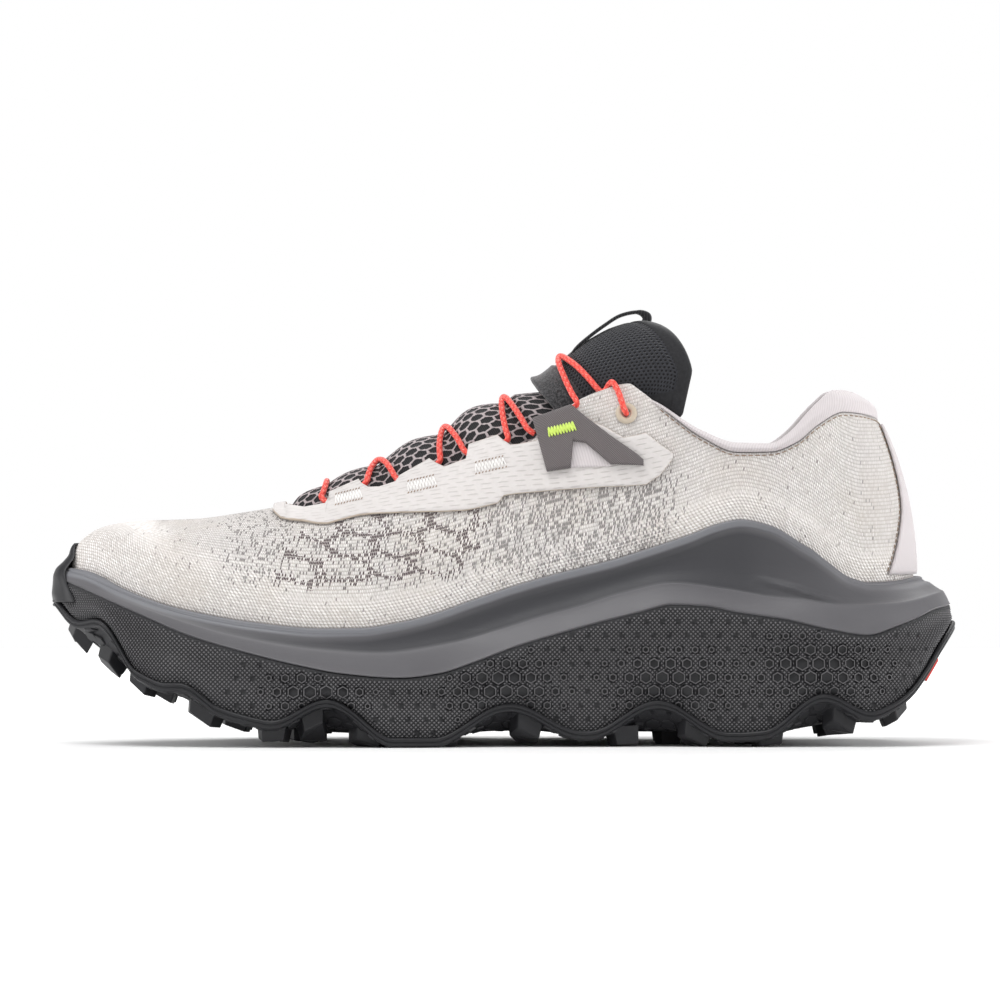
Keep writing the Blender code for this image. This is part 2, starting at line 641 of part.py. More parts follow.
def polar_solid(name, ring, profile, collection):
    """A solid whose profile at each station runs from the spine out and back to it."""
    bm = bmesh.new()
    loft(bm, [[st.point(r, z) for r, z in profile(st)] for st in ring], around=True)
    return new_object(name, bm, collection)


def cup_wall(st):
    """The points of the cup that the upper stands in, from the footbed to the rim."""
    return [(r + GAP, z) for r, z in st.wall_rows()[: ROWS_IN_CUP + 1]]


def rim_radius(st):
    return st.wall_at(st.rim) + GAP + RIM_THICKNESS


def crest_radius(st):
    rim = rim_radius(st)
    return rim + (st.sole - rim) * read(CREST, "out", st.along)


def corner_height(st):
    """Where the core's side ends and its underside starts."""
    lowest = 1.6 * MM
    return max(rubber_edge_height(st.along) - LIP_HEIGHT, lowest)


def tuck(st):
    """How far the core's lower corner lies inside its widest line."""
    low = read(LOW_EDGE, "height", st.along) * TREAD_HEIGHT
    scallop = (rubber_edge_height(st.along) - low) / SCALLOP_HEIGHT
    return (2.2 + 2.6 * scallop) * MM


def core_side(st):
    """The textured core's side from the parting line down to its lower corner."""
    low = corner_height(st)
    rise = st.parting - low
    waist = min(2.4 * MM, 0.09 * rise)
    return [
        (st.sole - 0.4 * MM, st.parting - GAP / 2),
        (st.sole - waist, low + 0.66 * rise),
        (st.sole - 0.3 * waist, low + 0.34 * rise),
        (st.sole - tuck(st), low),
    ]


def core_underside(st, drop):
    """The core's underside from its corner to the spine, or the rubber below it by drop."""
    low = corner_height(st)
    corner = st.sole - tuck(st)
    run = []
    for share, lift in ((0.84, 0.24), (0.62, 0.0), (0.3, 0.0), (0.0, 0.0)):
        radius = corner * share
        level = underside_height(st.x_at(radius)) + RUBBER_THICKNESS
        run.append((radius, level + (low - level) * lift - drop))
    return run


def carrier_underside(st, drop):
    """The face between carrier and core, from inside the parting line to the spine."""
    inner = st.last - 3 * MM
    level = footbed_height(st.x_at(inner)) - CARRIER_FLOOR
    half_way = (st.sole + inner) / 2
    run = [(half_way, st.parting + (level - st.parting) * 0.85), (inner, level)]
    for share in (0.45, 0.0):
        radius = inner * share
        run.append((radius, footbed_height(st.x_at(radius)) - CARRIER_FLOOR))
    return [(r, z - drop) for r, z in run]


def carrier_profile(st):
    """The smooth upper foam: footbed, cup, rim, channel, crest and its underside."""
    cup = cup_wall(st)
    rim = rim_radius(st)
    crest = crest_radius(st)
    depth = CHANNEL_DEPTH * read(CREST, "channel", st.along)
    footbed = [(st.last * s, footbed_height(st.x_at(st.last * s))) for s in (0.0, 0.55)]
    seat = (cup[0][0], cup[0][1] - GAP)
    outside = [
        (rim, st.rim - 0.8 * MM),
        (rim + (crest - rim) * 0.3 - depth, st.rim + (st.crest - st.rim) * 0.35),
        (crest, st.crest),
        (st.sole - 0.5 * MM, st.parting + GAP / 2),
    ]
    return footbed + [seat] + cup[1:] + outside + carrier_underside(st, 0)


def core_profile(st):
    """The textured lower foam."""
    return carrier_underside(st, GAP)[::-1] + core_side(st) + core_underside(st, 0)


def side_profile(st):
    """The outside of core, carrier and upper, from the core's corner up."""
    rows = [p for p in st.wall_rows() if p[1] > st.rim]
    rim = rim_radius(st)
    return core_side(st)[::-1] + [
        (st.sole - 0.5 * MM, st.parting),
        (crest_radius(st), st.crest),
        (rim, st.rim - 0.8 * MM),
        (rim, st.rim),
    ] + rows


def clear_of_side(st, levels):
    """Distances from the spine that stay outside the shoe's side around each level."""
    side = np.array(side_profile(st))
    radii = []
    for j, z in enumerate(levels):
        near = levels[max(j - 1, 0)], levels[min(j + 1, len(levels) - 1)]
        dense = np.interp(np.linspace(*near, 9), side[:, 1], side[:, 0])
        radii.append((dense.max() + LIP_GAP, z))
    return radii


def outsole_profile(st):
    """The rubber sheet and its lip round the core's edge."""
    low = corner_height(st)
    lip = clear_of_side(st, [low, low + LIP_HEIGHT])
    foot = (st.sole - tuck(st) + GAP, low - GAP)
    outer = [(r + LIP_THICKNESS, z) for r, z in lip[::-1]]
    corner = (foot[0] + LIP_THICKNESS * 0.6, low - 1.5 * MM)
    top = core_underside(st, GAP)[::-1]
    bottom = core_underside(st, RUBBER_THICKNESS)
    return top + [foot, lip[1]] + outer + [corner] + bottom


def above_rubber_profile(st):
    """Everything above the middle of the rubber sheet, to trim the lugs' roots with."""
    low = corner_height(st)
    outer = st.sole + TRIM_REACH
    middle = core_underside(st, RUBBER_THICKNESS / 2)
    roof = [(middle[-1][0], middle[-1][1] + TRIM_REACH), (outer, low + 2 * TRIM_REACH)]
    return roof + [(outer, low), (st.sole - tuck(st), low - 0.8 * MM)] + middle


def make_bumper(collection):
    """The rubber that rises from the outsole's lip over the toe."""
    runs = []
    for degrees in np.linspace(-BUMPER_HALF_ANGLE, BUMPER_HALF_ANGLE, 5):
        angle = math.radians(degrees)
        st = Station(TOE_CENTRE_X, (-math.cos(angle), math.sin(angle)))
        low = corner_height(st) + 0.3 * LIP_HEIGHT
        inner = clear_of_side(st, np.linspace(low, BUMPER_HEIGHT, BUMPER_ROWS))
        inner = [(r + FACET_ROOM, z) for r, z in inner]
        outer = [(r + LIP_THICKNESS * 0.8, z) for r, z in inner[::-1]]
        runs.append([st.point(r, z) for r, z in inner + outer])
    return closed_sweep("bumper_block", runs, collection)


def insole_profile(st):
    edge = st.last - UPPER_WALL - 0.9 * MM
    top, bottom = [], []
    for share in (0.0, 0.55, 1.0):
        radius = edge * share
        level = footbed_height(st.x_at(radius)) + GAP
        bottom.append((radius, level))
        top.append((radius, level + INSOLE_THICKNESS))
    return top + bottom[::-1]


def solidify(obj, thickness, outward):
    """Gives an open surface its thickness, on the side that its faces look to or behind."""
    shell = obj.modifiers.new("Thickness", "SOLIDIFY")
    shell.thickness = thickness
    shell.offset = 1 if outward else -1
    shell.use_quality_normals = True


def boolean(obj, other, operation):
    """Joins another object to this one, or cuts it away."""
    step = obj.modifiers.new(operation.title(), "BOOLEAN")
    step.operation = operation
    step.solver = "EXACT"
    step.object = other


def side_station(x, side):
    """The cut straight across the shoe at x. Side is -1 for medial and 1 for lateral."""
    return Station(x, (0, side))


def heel_station(angle):
    """A cut through the heel. The angle runs from straight back to the lateral side."""
    return Station(HEEL_CENTRE_X, (math.cos(angle), math.sin(angle)))


def on_wall(st, z, lift):
    """A point over the upper's wall at a height, lifted off square to the wall."""
    step = 0.5 * MM
    radius = st.wall_at(z)
    slope = (st.wall_at(z + step) - st.wall_at(z - step)) / (2 * step)
    square = Vector((1.0, -slope)).normalized()
    return st.point(radius + lift * square.x, z + lift * square.y)


def lug_places():
    """Every lug as its place along the sole, share across, length, width and turn."""
    places = []
    for side in (-1, 1):
        for along, across, length, width, turn in zip(*EDGE_LUGS.values()):
            places.append((along, side * across, length, width, side * turn))
        for along, across, length, width, turn in zip(*INNER_LUGS.values()):
            places.append((along, side * across, length, width, side * turn))
    places.append(TOE_LUG)
    return places


def across_sole(x, share):
    """A point across the sole: -1 is its medial edge and 1 its lateral edge."""
    start = np.array([x, spine_y(x)])
    return start[1] + share * reach(SOLE_LOOP, start, np.array([0.0, math.copysign(1, share)]))


def lug_outline(length, width, turn):
    """A five-cornered lug with its point to the front."""
    angle = math.radians(turn)
    shape = ((-0.5, 0.0), (-0.22, 0.5), (0.5, 0.42), (0.5, -0.42), (-0.22, -0.5))
    return [
        (
            a * length * math.cos(angle) - b * width * math.sin(angle),
            a * length * math.sin(angle) + b * width * math.cos(angle),
        )
        for a, b in shape
    ]


def make_block(bm, tree, centre, outline, sunk, depth, floor):
    """A tapered block under the sheet. Sunk is how far it reaches up into the rubber."""
    down = Vector((0, 0, 1))
    hit, normal = tree.ray_cast(Vector((*centre, -0.01)), down)[:2]
    normal = normal if normal.z < 0 else -normal
    normal = (normal - down).normalized()
    top, bottom = [], []
    for dx, dy in outline:
        high = tree.ray_cast(Vector((centre[0] + dx, centre[1] + dy, -0.01)), down)[0]
        if high is None or high.z > hit.z + LUG_STEP:
            high = Vector((centre[0] + dx, centre[1] + dy, hit.z))
        top.append(high - normal * sunk)
        small = Vector((centre[0] + dx * LUG_TAPER, centre[1] + dy * LUG_TAPER, high.z))
        low = small + normal * depth
        if floor and low.z < 0.45 * MM:
            low.z = 0.0
        bottom.append(low)
    rings = [[bm.verts.new(p) for p in run] for run in (top, bottom)]
    peak = bm.verts.new(hit - normal * sunk)
    count = len(outline)
    for j in range(count):
        k = (j + 1) % count
        patch(bm, rings[0][j], rings[0][k], rings[1][k], rings[1][j])
        bm.faces.new((rings[0][k], rings[0][j], peak))
    bm.faces.new(rings[1][::-1])


def make_outsole(ring, shoe, cutters):
    """The rubber sheet with its bumper and lugs joined to it."""
    outsole = polar_solid("outsole", ring, outsole_profile, shoe)
    tree = BVHTree.FromPolygons(
        [v.co for v in outsole.data.vertices], [p.vertices for p in outsole.data.polygons]
    )
    bm = bmesh.new()
    for along, share, length, width, turn in lug_places():
        x = TOE_X + along * SOLE_LENGTH
        outline = lug_outline(length * LUG_SIZE, width * LUG_SIZE, turn)
        make_block(bm, tree, (x, across_sole(x, share)), outline, LUG_SUNK, LUG_DEPTH, True)
    lugs = new_object("lug_blocks", bm, cutters)
    boolean(lugs, polar_solid("above_rubber", ring, above_rubber_profile, cutters), "DIFFERENCE")
    boolean(outsole, lugs, "UNION")
    boolean(outsole, make_bumper(cutters), "UNION")
    bm = bmesh.new()
    x, length, width = HEEL_X - ACCENT_IN, ACCENT_LENGTH, ACCENT_WIDTH
    outline = [(-length / 2, -width / 2), (-length / 2, width / 2)]
    outline += [(length / 2, width / 2), (length / 2, -width / 2)]
    make_block(bm, tree, (x, SPINE_SHIFT), outline, -GAP, ACCENT_DEPTH, False)
    new_object("heel_bumper_accent", bm, shoe)
    return outsole


def make_upper(ring, shoe, cutters):
    """The knitted upper: one wall, open at the throat and collar and underneath."""
    bm = bmesh.new()
    loft(bm, [[st.point(r, z) for r, z in st.wall_rows()] for st in ring], around=True)
    upper = new_object("upper", bm, shoe)
    solidify(upper, UPPER_WALL, outward=False)
    for side, name in ((-1, "medial"), (1, "lateral")):
        hole = make_tube("eyelet_hole_" + name, side, HOLE_PROFILE, cutters)
        boolean(upper, hole, "DIFFERENCE")
    return upper


def eyelet_frame(side):
    """Where the top eyelet sits on the wall, and the direction out of it."""
    st = side_station(EYELET_X, side)
    foot = on_wall(st, EYELET_Z, 0)
    out = (on_wall(st, EYELET_Z, MM) - foot).normalized()
    return foot, out


def make_tube(name, side, profile, collection):
    """A ring round the eyelet's axis from rows of (radius, height off the wall)."""
    foot, out = eyelet_frame(side)
    across = Vector((1, 0, 0)).cross(out).normalized()
    along = out.cross(across)
    solid = profile[0][0] == 0
    runs = []
    for turn in np.arange(ROUND_SIDES) / ROUND_SIDES * 2 * math.pi:
        arm = along * math.cos(turn) + across * math.sin(turn)
        runs.append([foot + arm * r + out * h for r, h in profile])
    if not solid:
        return closed_sweep(name, runs, collection, ring=True)
    bm = bmesh.new()
    loft(bm, runs, around=True)
    return new_object(name, bm, collection)


def column_patch(rows, side, lift, upright):
    """Columns of points over the wall between a lower and an upper line."""
    columns = []
    for along, low, high in zip(rows["along"], rows["low"], rows["high"]):
        st = side_station(at_share(along, low)[0], side)
        levels = np.linspace(low, high, upright) * COLLAR_HEIGHT
        columns.append([on_wall(st, z, lift) for z in levels])
    return columns


def make_eyestay(shoe):
    """The eyestay: a band down each side of the throat, joined round its front."""
    lift = OVERLAY_LIFT
    runs = {side: column_patch(EYESTAY, side, lift, 4) for side in (-1, 1)}
    for side in (-1, 1):
        for j, along in enumerate(EYESTAY["along"][:2]):
            x = at_share(along, 0)[0]
            top = side_station(x, side).top_edge()[1]
            runs[side][j][-1] = Vector((x, spine_y(x), top + lift))
    eyestay = sheet("eyestay", runs.values(), shoe)
    solidify(eyestay, OVERLAY_THICKNESS, outward=True)
    for side, name in ((-1, "medial"), (1, "lateral")):
        columns = column_patch(WEBBING, side, lift + OVERLAY_THICKNESS + WEBBING_LIFT, 3)
        webbing = sheet("webbing_" + name, [columns], shoe)
        solidify(webbing, WEBBING_THICKNESS, outward=True)


def make_heel_strip(shoe):
    """The smooth strip up the back of the heel, wider at its foot."""
    rim = heel_station(0).rim
    columns = []
    for share in np.linspace(-1, 1, 7):
        column = []
        for height, half in zip(HEEL_STRIP["height"], HEEL_STRIP["half"]):
            st = heel_station(math.radians(half) * share)
            column.append(on_wall(st, rim + height * (COLLAR_HEIGHT - rim), OVERLAY_LIFT))
        columns.append(column)
    strip = sheet("heel_strip", [columns], shoe)
    solidify(strip, OVERLAY_THICKNESS, outward=True)


def cuff_profile(st):
    """The padded collar: over the upper's edge and down inside its wall."""
    edge, level = st.top_edge()
    rise = read(CUFF, "rise", st.along_last) * COLLAR_HEIGHT
    pad = read(CUFF, "pad", st.along_last) * COLLAR_WIDTH / 2
    lean = read(CUFF, "lean", st.along_last)
    inside = UPPER_WALL + CUFF_GAP
    outline = [(edge + 0.1 * MM, level + CUFF_GAP)]
    for out, up in ((0.3, 0.5), (0.0, 0.85), (-0.35, 1.0), (-0.75, 0.9), (-1.0, 0.45)):
        outline.append((edge + out * pad - lean * up * rise, level + up * (rise + CUFF_GAP)))
    lower = level - CUFF_DEPTH
    for z, thick in ((level - CUFF_DEPTH * 0.45, 0.95), (lower, 0.4)):
        outline.append(inward(st, z, inside + pad * thick))
    for z in (lower, level - CUFF_DEPTH * 0.45, level - 0.5 * MM):
        outline.append(inward(st, z, inside))
    last = outline[-1]
    outline.append((min(last[0], edge - inside), level + CUFF_GAP))
    return outline


def inward(st, z, depth):
    """A point inside the wall at a height, as distance from the spine and height."""
    step = 0.5 * MM
    slope = (st.wall_at(z) - st.wall_at(z - step)) / step
    square = Vector((1.0, -slope)).normalized()
    return st.wall_at(z) - depth * square.x, z - depth * square.y


def make_cuff(ring, shoe):
    lateral = [st for st in ring if st.out[1] > 0.5 and CUFF_FRONT_X < st.start[0]]
    medial = [st for st in ring if st.out[1] < -0.5 and CUFF_FRONT_X < st.start[0]]
    back = [st for st in ring if abs(st.out[1]) <= 0.5 and st.out[0] > 0]
    stations = sorted(lateral, key=lambda st: st.x_at(st.last))
    stations += sorted(back, key=lambda st: -st.out[1])
    stations += sorted(medial, key=lambda st: -st.x_at(st.last))
    stations.insert(0, side_station(CUFF_FRONT_X, 1))
    stations.append(side_station(CUFF_FRONT_X, -1))
    runs = [[st.point(r, z) for r, z in cuff_profile(st)] for st in stations]
    closed_sweep("collar_cuff", runs, shoe)


class TongueLine:
    """The tongue's centre line in the spine's plane, with its section at each place."""

    def __init__(self):
        line = [at_share(*pair) for pair in zip(TONGUE["along"], TONGUE["height"])]
        self.points = smooth_open(np.array(line), 8)
        steps = np.linalg.norm(np.diff(self.points, axis=0), axis=1)
        self.run = np.concatenate([[0], np.cumsum(steps)])
        self.length = self.run[-1]

    def at(self, s):
        """The point s from the line's start, and the direction up out of the tongue."""
        x = np.interp(s, self.run, self.points[:, 0])
        z = np.interp(s, self.run, self.points[:, 1])
        tilt = math.radians(read(TONGUE, "tilt", along_last(x)))
        return Vector((x, spine_y(x), z)), Vector((-math.sin(tilt), 0, math.cos(tilt)))

    def share(self, x):
        """The distance along the line at which it passes x."""
        return float(np.interp(x, self.points[:, 0], self.run))

    def section(self, s, turns, depth):
        """Points across the tongue, depth under its surface. Turns are in degrees."""
        centre, up = self.at(s)
        half, drop = (
            read(TONGUE, column, along_last(centre.x)) * COLLAR_WIDTH / 2 - depth
            for column in ("half", "drop")
        )
        points = []
        for degrees in turns:
            turn = math.radians(degrees)
            down = depth + drop * (1 - math.cos(turn))
            points.append(centre + Vector((0, half * math.sin(turn), 0)) - up * down)
        return points


def smooth_open(points, per_span):
    """An open curve with no kinks through the points."""
    ends = np.vstack([2 * points[0] - points[1], points, 2 * points[-1] - points[-2]])
    run = []
    for a, b, c, d in zip(ends, ends[1:], ends[2:], ends[3:]):
        for t in np.arange(per_span) / per_span:
            run.append(
                0.5 * (2 * b + (c - a) * t + (2 * a - 5 * b + 4 * c - d) * t**2
                       + (3 * b - a - 3 * c + d) * t**3)
            )
    run.append(points[-1])
    return np.array(run)


def make_tongue(shoe):
    """The tongue in two pieces: the gusset that runs its whole length and the pad."""
    line = TongueLine()
    turns = np.linspace(-TONGUE_TURN, TONGUE_TURN, 9)
    start = line.share(PAD_START_X)
    fade = 12 * MM
    runs = []
    stops = [*np.linspace(0, start - fade, 9), start - 0.5 * MM]
    stops += [*np.linspace(start + fade, line.length - 3 * MM, 5)]
    for s in stops:
        under = np.clip((s - start + fade) / fade, 0, 1) * (PAD_THICKNESS + 2 * GAP)
        top = line.section(s, turns, under)
        bottom = line.section(s, turns[::-1], under + GUSSET_THICKNESS)
        runs.append(top + bottom)
    closed_sweep("tongue", runs, shoe)
    runs = []
    for s, full in pad_stops(start, line.length):
        top = line.section(s, turns, PAD_THICKNESS * (1 - full) * 0.5)
        bottom = line.section(s, turns[::-1], PAD_THICKNESS * (1 + full) * 0.5)
        runs.append(top + bottom)
    closed_sweep("tongue_pad", runs, shoe)
    make_pocket(line, shoe)
    make_loop(line, shoe)
    return line


def pad_stops(start, end):
    """Where the pad's sections lie and how full each is, rounded at both ends."""
    inner = np.linspace(start + 1.5 * MM, end - 2.5 * MM, 8)
    return [(start, 0.5)] + [(s, 1.0) for s in inner] + [(end, 0.35)]


def make_pocket(line, shoe):
    """The little pocket on the tongue that the lace's bow can be tucked into."""
    turns = np.linspace(-POCKET_TURN, POCKET_TURN, 5)
    runs = []
    for along in np.linspace(*POCKET_SPAN, 4):
        s = line.share(at_share(along, 0)[0])
        top = line.section(s, turns, -(POCKET_LIFT + POCKET_THICKNESS))
        bottom = line.section(s, turns[::-1], -POCKET_LIFT)
        runs.append(top + bottom)
    closed_sweep("lace_pocket", runs, shoe)


def make_loop(line, shoe):
    """The pull loop that stands on the tongue's pad."""
    line = [at_share(*pair) for pair in zip(LOOP["along"], LOOP["height"])]
    path = smooth_open(np.array(line), 2)
    runs = []
    for j, (x, z) in enumerate(path):
        near, far = path[max(j - 1, 0)], path[min(j + 1, len(path) - 1)]
        along = Vector((far[0] - near[0], 0, far[1] - near[1])).normalized()
        up = Vector((-along.z, 0, along.x)) * LOOP_THICKNESS / 2
        side = Vector((0, LOOP_WIDTH / 2, 0))
        centre = Vector((x, spine_y(x), z))
        runs.append([centre + up - side, centre + up + side, centre - up + side, centre - up - side])
    closed_sweep("pull_loop", runs, shoe)


def tongue_top(tree, x, y):
    """The height of the tongue under a point, or of the floor if there is none."""
    hit = tree.ray_cast(Vector((x, y, 0.3)), Vector((0, 0, -1)))[0]
    return hit.z if hit else 0.0


def lace_run(tree, start, apex, end, first_side):
    """One strand from the wall's edge on one side over the tongue to the other side."""
    def edge_point(place, side):
        x, z = at_share(*place)
        st = side_station(x, side)
        return on_wall(st, z, LACE_LIFT)

    a, b = edge_point(start, first_side), edge_point(end, -first_side)
    x, z = at_share(*apex)
    top = Vector((x, spine_y(x), z))
    points = []
    for t in np.linspace(0, 1, 9):
        bend = 4 * t * (1 - t)
        middle = (a + b) / 2
        point = a.lerp(b, t) + (top - middle) * bend
        lowest = tongue_top(tree, point.x, point.y) + LACE_DIAMETER / 2 + LACE_ROOM
        point.z = max(point.z, lowest)
        points.append(point)
    return points


def tube(name, points, radius, collection):
    """A closed tube along points."""
    runs = []
    for j, point in enumerate(points):
        near, far = points[max(j - 1, 0)], points[min(j + 1, len(points) - 1)]
        along = (far - near).normalized()
        side = along.cross(Vector((0, 0, 1))).normalized()
        up = side.cross(along)
        turns = np.arange(LACE_SIDES) / LACE_SIDES * 2 * math.pi
        runs.append([point + (side * math.cos(a) + up * math.sin(a)) * radius for a in turns])
    return closed_sweep(name, runs, collection)


def make_laces(shoe, cutters):
    """The bar at the foot of the throat and the crossings over the tongue."""
    bm = bmesh.new()
    for name in ("tongue", "tongue_pad", "lace_pocket"):
        bm.from_mesh(bpy.data.objects[name].data)
    tree = BVHTree.FromBMesh(bm)
    bm.free()
    radius = LACE_DIAMETER / 2
    bar = lace_run(tree, LACE_BAR[0], LACE_BAR[1], LACE_BAR[0], -1)
    tube("lace_bar", bar, radius, shoe)
    for number, (start, apex, end) in enumerate(LACE_CROSSINGS, 1):
        first = tube(
            "lace_cross_%d" % number, lace_run(tree, start, apex, end, -1), radius, shoe
        )
        second = tube(
            "lace_strand_%d" % number, lace_run(tree, start, apex, end, 1), radius, cutters
        )
        boolean(first, second, "UNION")


def paint(collection):
    """Gives every piece its own material and smooths the round ones."""
    for obj in collection.objects:
        colour, roughness = COLOURS[obj.name]
        material = bpy.data.materials.new(obj.name)
        material.use_nodes = True
        shader = material.node_tree.nodes["Principled BSDF"]
        shader.inputs["Base Color"].default_value = (*colour, 1)
        shader.inputs["Roughness"].default_value = roughness
        material.diffuse_color = (*colour, 1)
        obj.data.materials.append(material)
        for face in obj.data.polygons:
            face.use_smooth = obj.name not in FLAT_PIECES


def empty_scene():
    for obj in list(bpy.data.objects):
        bpy.data.objects.remove(obj)


def new_collection(name):
    collection = bpy.data.collections.new(name)
    bpy.context.scene.collection.children.link(collection)
    return collection


def main():
    empty_scene()
    shoe = new_collection("trail_running_shoe")
    cutters = new_collection("cutters")
    ring = make_ring()
    polar_solid("midsole_carrier", ring, carrier_profile, shoe)
    polar_solid("midsole_core", ring, core_profile, shoe)
    polar_solid("insole", ring, insole_profile, shoe)
    make_outsole(ring, shoe, cutters)
    make_upper(ring, shoe, cutters)
    make_cuff(ring, shoe)
    make_heel_strip(shoe)
    make_eyestay(shoe)
    for side, name in ((-1, "medial"), (1, "lateral")):
        make_tube("eyelet_" + name, side, EYELET_PROFILE, shoe)
    make_tongue(shoe)
    make_laces(shoe, cutters)
    for obj in cutters.objects:
        obj.hide_render = True
        obj.display_type = "WIRE"
    paint(shoe)


main()
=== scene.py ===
# %% [markdown]
# # Dressing a trail running shoe
# The packed model gives plain solids in the right places. This lesson puts the real
# surfaces over them, piece by piece: foam, rubber, knit, film, webbing and cord. All
# lengths are in metres. The toe points along -X, the medial side faces -Y and the shoe
# stands on Z = 0.

import math

import bmesh
import bpy
import numpy as np
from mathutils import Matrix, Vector
from mathutils.bvhtree import BVHTree


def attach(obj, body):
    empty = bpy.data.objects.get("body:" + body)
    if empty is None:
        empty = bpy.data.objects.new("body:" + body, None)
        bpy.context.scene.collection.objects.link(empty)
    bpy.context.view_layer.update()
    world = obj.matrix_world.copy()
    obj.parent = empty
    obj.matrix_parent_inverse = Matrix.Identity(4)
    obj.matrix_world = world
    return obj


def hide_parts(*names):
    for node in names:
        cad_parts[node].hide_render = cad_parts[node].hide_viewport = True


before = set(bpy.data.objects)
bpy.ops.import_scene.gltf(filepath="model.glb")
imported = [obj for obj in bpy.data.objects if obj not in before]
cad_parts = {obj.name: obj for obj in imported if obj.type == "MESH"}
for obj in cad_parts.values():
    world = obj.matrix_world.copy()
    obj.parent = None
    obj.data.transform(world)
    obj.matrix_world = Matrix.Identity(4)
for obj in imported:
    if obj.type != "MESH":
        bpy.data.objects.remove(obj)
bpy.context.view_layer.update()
MM = 0.001

# %% [markdown]
# ## Camera, floor and light
# The photograph was taken from far away at the shoe's own height, so a long lens stands
# level in front of the medial side. A short lens would show the far edge of the sole. The
# light is a pale room that is dimmer overhead, with one soft box above, one on each side
# and one behind, because the photograph shows soft gloss along the foam and no hard
# shadow. The floor glows a little with distance, so that it fades into the white.

# %% Camera
scene = bpy.context.scene
scene.view_settings.view_transform = "Standard"
eye = bpy.data.cameras.new("camera")
eye.sensor_width = 36
eye.lens = 259.2
camera = bpy.data.objects.new("camera", eye)
camera.location = (-1.83 * MM, -2400 * MM, 80.8 * MM)
camera.rotation_euler = (math.pi / 2, 0, 0)
eye.clip_end = 20
scene.collection.objects.link(camera)
scene.camera = camera
print("camera lens in mm:", eye.lens)

# %% Light
room = bpy.data.worlds.new("pale room")
room.use_nodes = True
scene.world = room
sky = room.node_tree.nodes["Background"]
sky.inputs["Color"].default_value = (1, 1, 1, 1)
way = room.node_tree.nodes.new("ShaderNodeTexCoord")
rise = room.node_tree.nodes.new("ShaderNodeSeparateXYZ")
dim = room.node_tree.nodes.new("ShaderNodeMapRange")
room.node_tree.links.new(way.outputs["Generated"], rise.inputs[0])
room.node_tree.links.new(rise.outputs[2], dim.inputs[0])
# From these two rises on, the room has its level and its overhead strength.
LEVEL_RISE, STEEP_RISE, LEVEL_STRENGTH, OVERHEAD_STRENGTH = 0.12, 0.5, 1.0, 0.38
steps = (LEVEL_RISE, STEEP_RISE, LEVEL_STRENGTH, OVERHEAD_STRENGTH)
for number, value in enumerate(steps, 1):
    dim.inputs[number].default_value = value
room.node_tree.links.new(dim.outputs[0], sky.inputs["Strength"])


def soft_box(name, place, width, height, watts):
    """A rectangular lamp that looks at the middle of the shoe."""
    lamp = bpy.data.lights.new(name, "AREA")
    lamp.shape, lamp.size, lamp.size_y, lamp.energy = "RECTANGLE", width, height, watts
    holder = bpy.data.objects.new(name, lamp)
    holder.location = place
    holder.rotation_mode = "QUATERNION"
    aim = Vector((0, 0, 60 * MM)) - Vector(place)
    holder.rotation_quaternion = aim.to_track_quat("-Z", "Y")
    scene.collection.objects.link(holder)


soft_box("lamp above", (-0.25, -0.30, 1.15), 0.8, 0.6, 8.6)
soft_box("lamp left", (-1.2, -0.35, 0.45), 0.5, 0.7, 5.0)
soft_box("lamp right", (1.15, -0.25, 0.4), 0.5, 0.7, 6.5)
soft_box("lamp behind", (0.2, 0.9, 0.9), 0.9, 0.5, 5.5)

# %% Floor
FLOOR_HALF = 1.5


def object_from(name, bm):
    """An object from a bmesh whose points and faces were added one by one."""
    mesh = bpy.data.meshes.new(name)
    bm.to_mesh(mesh)
    bm.free()
    piece = bpy.data.objects.new(name, mesh)
    scene.collection.objects.link(piece)
    return piece


bm = bmesh.new()
signs = ((-1, -1), (1, -1), (1, 1), (-1, 1))
bm.faces.new([bm.verts.new((a * FLOOR_HALF, b * FLOOR_HALF, 0)) for a, b in signs])
floor = object_from("floor", bm)
print("floor is", 2 * FLOOR_HALF, "m wide")

# %% [markdown]
# ## Finishes from nodes
# A finish is a node tree, and most trees repeat the same few steps. The class below adds a
# node, fills its inputs and hands back its output in one call. An input takes a number, a
# colour or another node's output.

# %% A class for finishes
COLOUR_MIX = {"out": 2, "data_type": "RGBA"}


